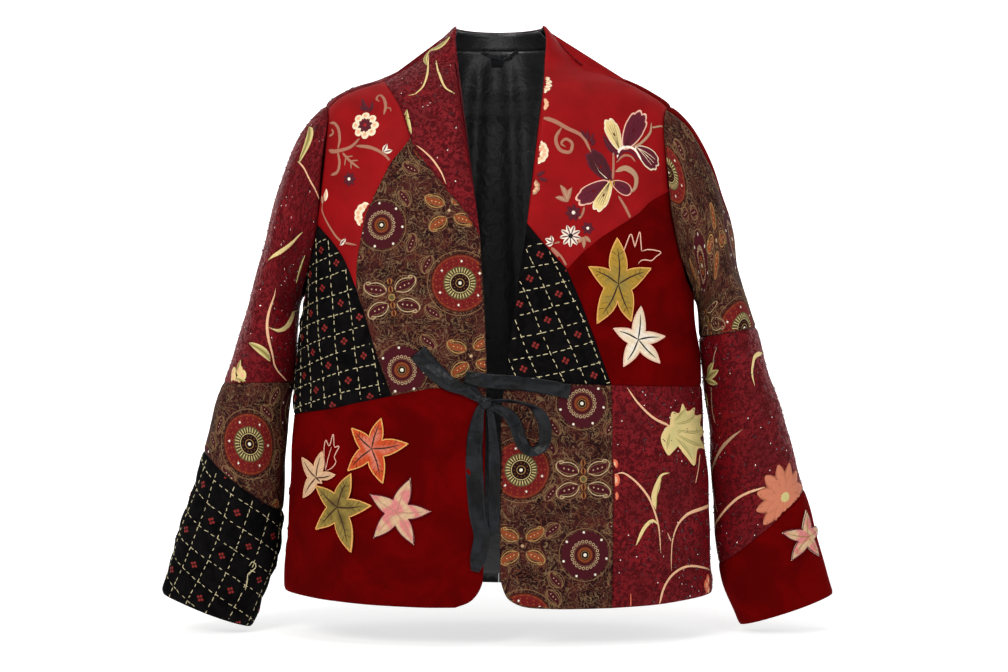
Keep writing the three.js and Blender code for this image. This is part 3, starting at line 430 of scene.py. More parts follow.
class Lookup:
    """Finds the chart place under a pixel: the wrap's front is laid out on the image plane as
    facets, only those that face the camera, and the place is read from the corners of the
    nearest facet."""

    FACES_CAMERA = -0.03     # the y of a normal that does has to be less

    def __init__(self, wrap, us, vs):
        u, v = np.meshgrid(us, vs)
        self.chart = np.stack([u.ravel(), v.ravel()], axis=1)
        self.pixels = pixel(wrap.at(self.chart[:, 0], self.chart[:, 1]))
        a = (np.arange(len(vs) - 1)[:, None] * len(us) + np.arange(len(us) - 1)[None, :]).ravel()
        b, c, d = a + 1, a + len(us) + 1, a + len(us)
        faces = np.concatenate([np.stack([a, b, c], 1), np.stack([a, c, d], 1)])
        facing = wrap.normal(self.chart[:, 0], self.chart[:, 1])[:, 1]
        self.faces = faces[facing[faces].max(axis=1) < self.FACES_CAMERA]
        flat = np.concatenate([self.pixels, np.zeros((len(self.pixels), 1))], axis=1)
        self.tree = BVHTree.FromPolygons(flat.tolist(), self.faces.tolist())

    def __call__(self, pixels):
        """Chart places, one for each pixel."""
        pixels = np.asarray(pixels, float).reshape(-1, 2)
        found = [self.tree.find_nearest((x, y, 0.0)) for x, y in pixels.tolist()]
        face = self.faces[[f[2] for f in found]]
        hit = np.array([[f[0][0], f[0][1]] for f in found])
        a, b, c = (self.pixels[face[:, k]] for k in range(3))
        whole = crossed(b - a, c - a)
        whole = np.where(np.abs(whole) < 1e-9, 1e-9, whole)
        wb = (crossed(hit - a, c - a) / whole)[:, None]
        wc = (crossed(b - a, hit - a) / whole)[:, None]
        first, second, third = (self.chart[face[:, k]] for k in range(3))
        return (1 - wb - wc) * first + wb * second + wc * third


LOOKUPS = {}


def lookup(name, kind):
    """The lookup of one side's front or sleeve, made when it is first needed."""
    if (name, kind) not in LOOKUPS:
        if kind == "front":
            columns, rows = np.linspace(0, 330, 67), np.arange(-70, 665, 7.0)
            LOOKUPS[name, kind] = Lookup(BODY[name, "front"], columns, rows)
        else:
            columns, rows = np.linspace(0, 180, 61), np.arange(0, CUFF + 1, 6.0)
            LOOKUPS[name, kind] = Lookup(SLEEVE[name], columns, rows)
    return LOOKUPS[name, kind]


# Outlines of the patches

def from_view(point):
    """(x, z) seen from the front to (round, down)."""
    x, z = point
    down = float(np.interp(-z, -RING["height"], RING_ROWS))
    k = min(int(down - RING_ROWS[0]), len(RING_ROWS) - 2)
    share = down - RING_ROWS[k]
    arcs = [np.interp(abs(x), FRONT_X[j], FRONT_ARC[j]) for j in (k, k + 1)]
    return (arcs[0] + (arcs[1] - arcs[0]) * share, down)


def stitch(name, step):
    """The place of one armhole stitch."""
    return armhole_at(name, 2 * math.pi * step / ARMHOLE_STEPS)


def line_seam(places):
    """A seam of LINE_SEAMS as rows of (round, down)."""
    seam = curve(places, SEAM_SPACING)
    return np.stack([front_length(seam[:, 1]) - seam[:, 0], seam[:, 1]], axis=1)


def across_back(side_down, middle_down):
    """A seam from the side line to the middle of the back."""
    share = np.linspace(0, 1, 90)
    down = side_down + (middle_down - side_down) * share
    return np.stack([front_length(down) + (half_length(down) - front_length(down)) * share, down], axis=1)


def make_seams(name):
    """Every seam of one side as rows of (round, down)."""
    seams = {key: curve([from_view(p) for p in points], SEAM_SPACING)
             for key, points in FRONT_SEAMS[name].items()}
    for key, places in LINE_SEAMS.items():
        seams[key] = line_seam(places)
    joint = SIDE_JOINTS[name]
    seams["side_top"] = line_seam([(0, 312), (0, joint)])
    seams["side_low"] = line_seam([(0, joint), (0, SIDE_HEM)])
    share = np.linspace(0, 1, 45)
    start = seams["shoulder_neck"][0][0]
    seams["neck_line"] = np.stack([start + (half_length(0) - start) * share, 0 * share], axis=1)
    for key, a, b in (("back_top", 0, BACK_JOINT), ("back_low", BACK_JOINT, BACK_HEM)):
        down = np.linspace(a, b, 110)
        seams[key] = np.stack([half_length(down), down], axis=1)
    seams["back_joint"] = across_back(joint, BACK_JOINT)
    seams["back_hem"] = across_back(SIDE_HEM, BACK_HEM)
    seams["shoulder"][-1] = stitch(name, 2)
    edge = seams["edge_neck"] if name == "left" else seams["edge_sateen"]
    edge[0] = (edge[0][0], RINGS["down"][0])
    seams["collar_top"] = np.array([edge[0], seams["collar"][0]])
    starts = {"left": {"neck_sateen": seams["shoulder"][0], "sateen_black": stitch("left", 10),
                       "black_velvet": seams["side_top"][-1], "hem": seams["side_low"][-1]},
              "right": {"sateen_velvet": stitch("right", 8), "velvet_maroon": seams["side_top"][-1],
                        "hem_maroon": seams["side_low"][-1]}}[name]
    for key, place in starts.items():
        seams[key][0] = place
    return seams


SEAMS = {name: make_seams(name) for name in SIDES}


def outline_of(name, seam_names):
    """Joins seams end to end into one closed row of (round, down)."""
    rows = []
    for seam in seam_names:
        if isinstance(seam, tuple):
            turns = np.linspace(*seam, 6 * abs(seam[1] - seam[0]) + 1) * 2 * math.pi / ARMHOLE_STEPS
            rows.append(armhole_at(name, turns))
        else:
            rows.append(SEAMS[name][seam])

    def near(a, b):
        return np.hypot(*(a - b)) < SEAM_MEET

    chain = rows[0]
    if near(chain[0], rows[1][0]) or near(chain[0], rows[1][-1]):
        chain = chain[::-1]
    for row in rows[1:]:
        row = row if near(chain[-1], row[0]) else row[::-1]
        if not near(chain[-1], row[0]):
            raise ValueError("seams do not meet")
        chain = np.concatenate([chain, row[1:]])
    return chain[:-1]


def polygon_area(outline):
    """Half the sum of x[k] y[k+1] - x[k+1] y[k], positive when counter-clockwise."""
    x, y = outline[:, 0], outline[:, 1]
    return float(np.sum(x * np.roll(y, -1) - np.roll(x, -1) * y) / 2)


AT_ONCE = 8000


def edge_distance(points, outline):
    """Signed distance to a closed outline, positive inside: the least distance to its segments,
    with the sign from an even-odd count of crossings."""
    a, b = outline, np.roll(outline, -1, axis=0)
    d = b - a
    span = np.maximum(np.sum(d * d, axis=1), 1e-9)
    result = np.empty(len(points))
    for start in range(0, len(points), AT_ONCE):
        p = points[start:start + AT_ONCE, None, :]
        w = p - a[None]
        t = np.clip(np.sum(w * d[None], axis=2) / span, 0, 1)
        gap = w - t[..., None] * d[None]
        least = np.sqrt(np.min(np.sum(gap * gap, axis=2), axis=1))
        above = (a[None, :, 1] > p[..., 1]) != (b[None, :, 1] > p[..., 1])
        rise = np.where(np.abs(d[:, 1]) < 1e-12, 1e-12, d[:, 1])
        cross = a[None, :, 0] + w[..., 1] * (d[:, 0] / rise)[None]
        odd = np.sum(above & (p[..., 0] < cross), axis=1) % 2 == 1
        result[start:start + AT_ONCE] = np.where(odd, least, -least)
    return result


def inset(outline, distance):
    """Moves each corner of a counter-clockwise outline inwards along the mean of its normals."""
    before, after = np.roll(outline, 1, axis=0), np.roll(outline, -1, axis=0)
    a = (outline - before) / np.linalg.norm(outline - before, axis=1)[:, None]
    b = (after - outline) / np.linalg.norm(after - outline, axis=1)[:, None]
    normal = np.stack([-a[:, 1] - b[:, 1], a[:, 0] + b[:, 0]], axis=1)
    normal /= np.maximum(np.linalg.norm(normal, axis=1), 1e-6)[:, None]
    share = np.maximum(normal[:, 0] * -a[:, 1] + normal[:, 1] * a[:, 0], 0.35)
    return outline + normal * (distance / share)[:, None]


# Folds of the filled-out cloth: where, height in mm (a trough is negative), half width, route.
# Routes on fronts and sleeves are pixels, those on the back are (from the middle, down).
FOLDS = {
    "left front": [
        (-2.6, 13, [(330, 118), (352, 150), (366, 192)]),
        (2.2, 15, [(345, 98), (372, 128), (392, 170)]),
        (-2.4, 14, [(318, 250), (338, 300), (352, 360), (360, 402)]),
        (-3.6, 17, [(326, 412), (322, 470), (330, 540), (326, 596)]),
        (3.0, 17, [(352, 420), (356, 480), (354, 545), (360, 600)]),
        (-3.2, 16, [(402, 400), (420, 450), (436, 520), (440, 604)]),
        (2.4, 14, [(452, 410), (462, 470), (464, 540), (462, 596)]),
        (-2.0, 12, [(440, 200), (452, 262), (462, 330), (470, 372)]),
        (2.0, 14, [(414, 160), (424, 230), (434, 300), (440, 350)]),
        (-2.0, 10, [(428, 90), (436, 140), (452, 190)]),
    ],
    "right front": [
        (-2.8, 14, [(672, 112), (640, 136), (604, 170), (572, 214)]),
        (2.2, 15, [(648, 96), (612, 118), (584, 150)]),
        (-3.4, 11, [(700, 244), (668, 268), (630, 284), (596, 288)]),
        (-2.6, 9, [(702, 268), (680, 284), (656, 310), (640, 342)]),
        (2.4, 12, [(694, 292), (676, 322), (664, 362)]),
        (-3.0, 15, [(682, 388), (676, 450), (684, 520), (680, 600)]),
        (2.8, 15, [(654, 392), (648, 460), (652, 530), (646, 602)]),
        (-2.6, 13, [(560, 396), (552, 460), (556, 530), (550, 604)]),
        (2.0, 13, [(528, 392), (522, 460), (528, 540)]),
        (-2.2, 12, [(540, 250), (552, 300), (566, 352)]),
    ],
    "left sleeve": [
        (-3.0, 12, [(322, 132), (306, 176), (296, 224)]),
        (2.6, 13, [(300, 150), (284, 204), (272, 258)]),
        (-3.4, 11, [(306, 248), (286, 268), (262, 280)]),
        (-2.8, 10, [(302, 292), (282, 304), (252, 310)]),
        (2.4, 11, [(296, 318), (276, 330), (250, 336)]),
        (-3.0, 11, [(292, 356), (268, 366), (236, 362)]),
        (-2.4, 12, [(286, 404), (262, 408), (226, 398)]),
        (2.2, 13, [(262, 420), (246, 470), (226, 540)]),
        (-2.0, 12, [(236, 470), (216, 530), (202, 590)]),
    ],
    "right sleeve": [
        (-3.0, 12, [(684, 140), (704, 182), (716, 232)]),
        (2.6, 13, [(708, 160), (726, 210), (738, 262)]),
        (-3.4, 11, [(692, 262), (716, 276), (744, 284)]),
        (-3.0, 10, [(700, 316), (722, 328), (748, 330)]),
        (2.4, 11, [(700, 344), (724, 352), (752, 350)]),
        (-3.2, 11, [(706, 376), (734, 380), (764, 372)]),
        (-2.4, 12, [(714, 430), (744, 428), (776, 414)]),
        (2.4, 13, [(726, 440), (752, 490), (776, 540)]),
        (-2.4, 12, [(760, 470), (786, 520), (806, 580)]),
    ],
    "left back": [
        (-3.4, 18, [(150, 120), (120, 190), (112, 270), (118, 340)]),
        (3.0, 20, [(60, 110), (70, 220), (64, 330)]),
        (-3.2, 14, [(226, 196), (190, 230), (160, 276)]),
        (-2.8, 12, [(236, 246), (210, 268), (182, 300)]),
        (-3.4, 18, [(180, 370), (170, 450), (176, 540), (168, 640)]),
        (3.0, 18, [(110, 366), (104, 460), (112, 560), (106, 646)]),
        (-2.6, 16, [(40, 380), (46, 480), (38, 640)]),
    ],
    "right back": [
        (-3.2, 18, [(138, 116), (126, 196), (116, 280), (124, 344)]),
        (2.8, 20, [(70, 130), (56, 230), (66, 330)]),
        (-3.4, 14, [(228, 190), (194, 226), (164, 262)]),
        (-2.6, 12, [(238, 252), (214, 272), (190, 310)]),
        (-3.2, 18, [(190, 372), (178, 460), (184, 550), (176, 642)]),
        (2.8, 18, [(118, 370), (108, 470), (118, 560), (112, 646)]),
        (-2.8, 16, [(52, 372), (44, 500), (54, 640)]),
    ],
    "left sleeve back": [
        (-3.2, 12, [(280, 150), (262, 210), (258, 262)]),
        (-3.4, 11, [(232, 250), (262, 268), (296, 274)]),
        (2.6, 12, [(234, 292), (262, 300), (292, 304)]),
        (-3.2, 11, [(226, 330), (256, 340), (288, 338)]),
        (-2.4, 13, [(216, 400), (232, 450), (240, 510)]),
    ],
    "right sleeve back": [
        (-3.2, 12, [(276, 140), (264, 200), (256, 262)]),
        (-3.4, 11, [(230, 244), (260, 262), (294, 270)]),
        (2.6, 12, [(230, 284), (258, 298), (290, 302)]),
        (-3.0, 11, [(228, 322), (252, 336), (284, 340)]),
        (-2.4, 13, [(212, 396), (230, 452), (238, 516)]),
    ],
}
SWELLS = [(0.9, (0.051, 0.012, 0.033), 0.4), (0.8, (-0.038, 0.02, 0.047), 1.9),
          (0.6, (0.083, -0.03, 0.021), 3.1), (0.5, (0.02, 0.05, -0.092), 5.0)]


def fold_routes():
    """Each fold as a dense row of places in space, with its height and half width."""
    routes = {"body": [], "left": [], "right": []}
    for key, folds in FOLDS.items():
        name, kind = key.split(" ", 1)
        for height, width, points in folds:
            if kind == "front":
                chart = lookup(name, "front")(points)
                wrap, group = BODY[name, "front"], "body"
            elif kind == "back":
                chart, wrap, group = np.array(points, float), BODY[name, "back"], "body"
            elif kind == "sleeve":
                chart, wrap, group = lookup(name, "sleeve")(points), SLEEVE[name], name
            else:
                chart, wrap, group = np.array(points, float), SLEEVE[name], name
            track = curve(chart, 12.0)
            routes[group].append((height, width, wrap.at(track[:, 0], track[:, 1])))
    return routes


ROUTES = fold_routes()


FOLD_REACH = 2.6         # widths from its route past which a fold counts for nothing


def folds_at(points, group):
    """Height of the folds: sum of h exp(-(d / w)^2) sin(pi t)^0.6 (0.8 + 0.2 sin(7 t + h)), where d
    is the distance to the fold's route and t the share of the way along it, plus long swells."""
    total = np.zeros(len(points))
    for amount, wave, phase in SWELLS:
        total += amount * np.sin(points @ np.array(wave) + phase)
    for height, width, route in ROUTES[group]:
        low, high = route.min(axis=0) - FOLD_REACH * width, route.max(axis=0) + FOLD_REACH * width
        near = np.nonzero(np.all((points > low) & (points < high), axis=1))[0]
        if not len(near):
            continue
        p = points[near][:, None]
        a, d = route[:-1][None], np.diff(route, axis=0)[None]
        t = np.clip(np.sum((p - a) * d, axis=2) / np.sum(d * d, axis=2), 0, 1)
        gap = np.linalg.norm(p - a - t[..., None] * d, axis=2)
        best = np.argmin(gap, axis=1)
        pick = np.arange(len(near))
        share = (best + t[pick, best]) / (len(route) - 1)
        fade = np.maximum(np.sin(math.pi * share), 0) ** 0.6 * (0.8 + 0.2 * np.sin(7 * share + height))
        total[near] += height * np.exp(-(gap[pick, best] / width) ** 2) * fade
    return total


# Quilted lattices: pixel of one crossing, steps to the next crossings, which cells hold a flower.
QUILTS = {
    "left_front_black": ((334.9, 334.6), (1.9, 19.6), (16.8, -4.5), 0),
    "right_front_black": ((541.8, 331.2), (9.2, 20.4), (20.3, -4.3), 1),
    "left_sleeve_black": ((224.4, 516.4), (-8.1, 22.1), (19.3, 13.8), 1),
    "back_left_lower": (None, (3.0, 22.0), (21.0, -5.0), 0),
}


class Quilt:
    """A lattice of stitched lines. wander moves the lines a little, as stitching by hand does."""

    PUFF = 2.0

    def __init__(self, name, parity, origin, down, across):
        self.origin, self.parity = np.asarray(origin, float), parity
        self.steps = np.stack([down, across])
        self.inverse = np.linalg.inv(self.steps)
        self.phase = len(name) * 1.3

    def wander(self, points):
        u, v = points[:, 0], points[:, 1]
        return np.stack([1.1 * np.sin(v / 23 + self.phase) + 0.8 * np.sin(u / 17 + v / 31),
                         1.3 * np.sin(u / 26 + self.phase) + 0.8 * np.sin(v / 19 - u / 29)], axis=1)

    def cell(self, points):
        return (points + self.wander(points) - self.origin) @ self.inverse

    def place(self, cells):
        points = self.origin + cells @ self.steps
        return points - self.wander(points)

    def puff(self, points):
        """h |sin(pi i)|^0.55 |sin(pi j)|^0.55 over lattice coordinates i, j."""
        cell = self.cell(points)
        return self.PUFF * np.prod(np.abs(np.sin(math.pi * cell)) ** 0.55, axis=1)


EDGE_ROWS = (1.3, 3.0)   # distances from a seam at which a piece has its first rows of points


class Cloth:
    """One cut piece: its surface, how far a place lies from its edge, and its relief."""

    ROLL = 1.2             # how far an edge dips to its seam
    ROLL_WIDTH = 2.3

    def __init__(self, name, wrap, group):
        self.name, self.wrap, self.group = name, wrap, group
        self.quilt = None

    def home(self, u, v):
        """u itself, or on a closed sleeve the u of the same place in the first round."""
        return u

    def within(self, u, v):
        """Distance from the edge, or -1 outside the first round."""
        return np.where(np.abs(self.home(u, v) - u) < 1e-6, self.edge(u, v), -1.0)

    def relief(self, u, v, edge, base):
        """Folds, less a dip at the seam, plus the puffs of a quilt."""
        height = folds_at(base, self.group)
        height = height - self.ROLL * np.exp(-(np.maximum(edge, 0) / self.ROLL_WIDTH) ** 2)
        if self.quilt is not None:
            inner = 1 - np.exp(-(np.maximum(edge, 0) / 4.0) ** 2)
            height = height + self.quilt.puff(np.stack([self.home(u, v), v], axis=1)) * inner
        return height

    def lifted(self, u, v, lift, edge=None):
        """S(u, v) + (relief + lift) n."""
        base = self.wrap.at(u, v)
        edge = self.edge(u, v) if edge is None else edge
        return base + self.wrap.normal(u, v) * (self.relief(u, v, edge, base) + lift)[:, None]


class PatchCloth(Cloth):
    """A patch of the body, inside its outline of seams."""

    def __init__(self, name):
        side, seams, _ = PATCHES[name]
        face = "back" if name.startswith("back") else "front"
        super().__init__(name, BODY[side, face], "body")
        outline = outline_of(side, seams)
        if face == "back":
            outline = np.stack([half_length(outline[:, 1]) - outline[:, 0], outline[:, 1]], axis=1)
        self.outline = outline if polygon_area(outline) > 0 else outline[::-1]
        self.finder = None if face == "back" else lookup(side, "front")
        size = np.ptp(self.outline, axis=0)
        self.flat = (float(size[0]) * MM, float(size[1]) * MM)
        self.area = abs(polygon_area(self.outline)) * MM * MM

    def edge(self, u, v):
        return edge_distance(np.stack([u, v], axis=1), self.outline)

    def reach(self):
        return self.outline.min(axis=0), self.outline.max(axis=0)

    def fill(self, pitch, gap):
        """Points inside the outline, closer along it, joined by empty-circle triangles."""
        rim = inset(self.outline, gap / 2)
        rings = []
        for distance in EDGE_ROWS:
            ring = inset(self.outline, distance)
            rings.append(ring[edge_distance(ring, self.outline) > 0.8 * distance])
        low, high = self.outline.min(axis=0), self.outline.max(axis=0)
        rows = np.arange(low[1], high[1], pitch * 0.87)
        columns = np.arange(low[0], high[0], pitch)
        x, y = np.meshgrid(columns, rows)
        x = x + (np.arange(len(rows)) % 2)[:, None] * pitch / 2
        inner = np.stack([x.ravel(), y.ravel()], axis=1)
        inner = inner[edge_distance(inner, self.outline) > EDGE_ROWS[-1] + 0.5 * pitch]
        points = np.concatenate([rim, *rings, inner])
        made = delaunay_2d_cdt(points.tolist(), [], [list(range(len(rim)))], 1, 1e-5, False)
        points = np.array([(p[0], p[1]) for p in made[0]])
        return points, np.array(made[2])


class SleeveCloth(Cloth):
    """A length of sleeve between two lines, reach = middle + lean cos(turn); split is the pair of
    turn functions of a piece that doesn't close."""

    FIRST = -60              # where the first round of a closed piece starts
    RADIUS = 45.0            # of a sleeve, roughly, to turn angles into distances

    def __init__(self, name, side, top, bottom, split=None):
        super().__init__(name, SLEEVE[side], side)
        self.top, self.bottom, self.split = top, bottom, split
        self.finder = lookup(side, "sleeve")
        turns = np.linspace(0, 2 * math.pi, 73)[:-1]
        tops, bottoms = self.line(top, turns), self.line(bottom, turns)
        middle = (tops + bottoms) / 2
        girths = np.array([self.girth(m) for m in (tops.mean(), middle.mean(), bottoms.mean())])
        if split:
            girths = girths * 0.5
        self.flat = (float(girths.max()) * MM, float(bottoms.max() - tops.min()) * MM)
        self.area = float(girths.mean() * (bottoms - tops).mean()) * MM * MM

    @staticmethod
    def line(rule, turn):
        """Reach of a line at a turn."""
        return rule[0] + rule[1] * np.cos(turn)

    def girth(self, reach):
        """Length once round, at a reach."""
        return float(arc_of_turn(self.wrap, np.array([2 * math.pi]), np.array([reach]))[0])

    def home(self, u, v):
        if self.split:
            return u
        girth = arc_of_turn(self.wrap, np.full_like(v, 2 * math.pi), v)
        return (u - self.FIRST) % girth + self.FIRST

    def reach(self):
        turns = np.linspace(0, 2 * math.pi, 40)
        low, high = self.line(self.top, turns).min(), self.line(self.bottom, turns).max()
        if not self.split:
            return np.array([self.FIRST, low]), np.array([self.girth(low) + self.FIRST, high])
        ends = [arc_of_turn(self.wrap, np.array([end(v)]), np.array([v]))[0]
                for end in self.split for v in (low, high)]
        return np.array([min(ends), low]), np.array([max(ends), high])

    def edge(self, u, v):
        turn = turn_of_arc(self.wrap, u, v)
        near = np.minimum(v - self.line(self.top, turn), self.line(self.bottom, turn) - v)
        if self.split:
            start, end = self.split
            middle = (start(v) + end(v)) / 2
            turn = middle + (turn - middle + math.pi) % (2 * math.pi) - math.pi
            near = np.minimum(near, self.RADIUS * np.minimum(turn - start(v), end(v) - turn))
        return near

    def grid(self, pitch, gap):
        """Rows from the top line to the bottom one, closer at the ends; columns around."""
        girth = self.girth((self.top[0] + self.bottom[0]) / 2)
        columns = int(girth * (0.5 if self.split else 1) / pitch)
        length = self.bottom[0] - self.top[0]
        count = int(length / pitch)
        rim = gap / 2 / length
        first, second = (row / length for row in EDGE_ROWS)
        share = np.concatenate([[rim, first], np.linspace(second, 1 - second, count), [1 - first, 1 - rim]])
        if self.split:
            around = np.linspace(0, 1, columns)[None, :]
            v0 = self.top[0] + share[:, None] * length
            turn = self.split[0](v0) + (self.split[1](v0) - self.split[0](v0)) * around
        else:
            turn = np.linspace(0, 2 * math.pi, columns, endpoint=False)[None, :] + 0 * share[:, None]
        top, bottom = self.line(self.top, turn), self.line(self.bottom, turn)
        v = top + (bottom - top) * share[:, None]
        u = arc_of_turn(self.wrap, turn.ravel(), v.ravel())
        points = np.stack([u, v.ravel()], axis=1)
        return points, grid_faces(len(share), turn.shape[1], not self.split)


def grid_faces(rows, columns, closed=False):
    """Quads of a grid of rows x columns points; closed joins the last column to the first."""
    last = columns if closed else columns - 1
    r, c = np.meshgrid(np.arange(rows - 1), np.arange(last), indexing="ij")
    a, b = r * columns + c, r * columns + (c + 1) % columns
    return np.stack([a, b, b + columns, a + columns], axis=-1).reshape(-1, 4)


# Meshes

def mesh_piece(name, points, faces, materials, slots=None, chart=None, tint=None):
    """A mesh object from points in millimetres. chart becomes the UV map in metres, tint a colour
    attribute, slots the material of each face."""
    mesh = bpy.data.meshes.new(name)
    mesh.from_pydata((points * MM).tolist(), [], [f.tolist() for f in faces])
    for material in materials:
        mesh.materials.append(material)
    if slots is not None:
        mesh.polygons.foreach_set("material_index", np.asarray(slots, np.int32))
    mesh.polygons.foreach_set("use_smooth", np.full(len(mesh.polygons), True))
    if chart is not None:
        corner = np.empty(len(mesh.loops), np.int32)
        mesh.loops.foreach_get("vertex_index", corner)
        layer = mesh.uv_layers.new(name="chart")
        layer.data.foreach_set("uv", (chart[corner] * MM).ravel().astype(np.float32))
    if tint is not None:
        layer = mesh.color_attributes.new("tint", "FLOAT_COLOR", "POINT")
        rgba = np.concatenate([tint, np.ones((len(tint), 1))], axis=1)
        layer.data.foreach_set("color", rgba.ravel().astype(np.float32))
    mesh.update()
    piece = bpy.data.objects.new(name, mesh)
    bpy.context.scene.collection.objects.link(piece)
    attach(piece, "root")
    return piece


def facing_out(points, faces, outward):
    """Turns round the faces whose normal (b - a) x (c - a) points against the surface's."""
    a, b, c = (points[faces[:, k]] for k in (0, 1, 2))
    wrong = np.sum(np.cross(b - a, c - a) * outward[faces[:, 0]], axis=1) < 0
    faces = faces.copy()
    faces[wrong] = faces[wrong][:, ::-1]
    return faces


def rim_faces(faces, count):
    """Quads that join the open edges of the outer sheet to those of the inner one."""
    following = np.roll(faces, -1, axis=1)
    a, b = faces.ravel(), following.ravel()
    forward, backward = a * count + b, b * count + a
    lone = ~np.isin(forward, backward)
    a, b = a[lone], b[lone]
    return np.stack([b, a, a + count, b + count], axis=1)


def shell(name, chart, faces, outer, inner, outward, materials):
    """A closed thin sheet: outer and inner points, the faces of both and the rim."""
    count = len(outer)
    faces = facing_out(outer, faces, outward)
    rim = rim_faces(faces, count)
    parts = [faces, faces[:, ::-1] + count, rim]
    slots = np.concatenate([np.zeros(len(faces)), np.ones(len(faces)), np.zeros(len(rim))])
    every = [row for part in parts for row in part]
    return mesh_piece(name, np.concatenate([outer, inner]), every, materials, slots,
                      np.concatenate([chart, chart]))


def surface_area(points, faces):
    """Half the sum of the crossed diagonals' lengths; of a triangle's sides."""
    last = faces[:, 3] if faces.shape[1] == 4 else faces[:, 0]
    a, b = points[faces[:, 2]] - points[faces[:, 0]], points[last] - points[faces[:, 1]]
    if faces.shape[1] == 3:
        b = points[faces[:, 1]] - points[faces[:, 0]]
    return float(np.linalg.norm(np.cross(a, b), axis=1).sum() / 2)


def sew(cloth, materials, slot, pitch, wall, gap):
    """Makes the shell of one cut piece and hides the solid it stands for. The cut's area is that
    of the form under the folds."""
    if isinstance(cloth, PatchCloth):
        chart, faces = cloth.fill(pitch, gap)
    else:
        chart, faces = cloth.grid(pitch, gap)
    u, v = chart[:, 0], chart[:, 1]
    edge = cloth.edge(u, v)
    outer = cloth.lifted(u, v, np.zeros(len(u)), edge)
    outward = cloth.wrap.normal(u, v)
    inner = outer - outward * wall
    piece = shell(cloth.name + "_cloth", chart, faces, outer, inner, outward, materials)
    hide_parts(cloth.name)
    area = surface_area(cloth.wrap.at(u, v), faces) * MM * MM
    wide = cloth.flat[0]
    max(cloth.flat[1], 1.01 * area / wide)
    return piece


# Stitched and printed shapes

def unit_circle(count, turn=0.0):
    """Unit vectors at equal turns."""
    angle = turn + 2 * math.pi * np.arange(count) / count
    return np.stack([np.cos(angle), np.sin(angle)], axis=1)


def closed_circle(segments):
    """Unit vectors round a circle, with the first one again at the end."""
    angle = np.linspace(0, 2 * math.pi, segments + 1)
    return np.stack([np.cos(angle), np.sin(angle)], axis=1)


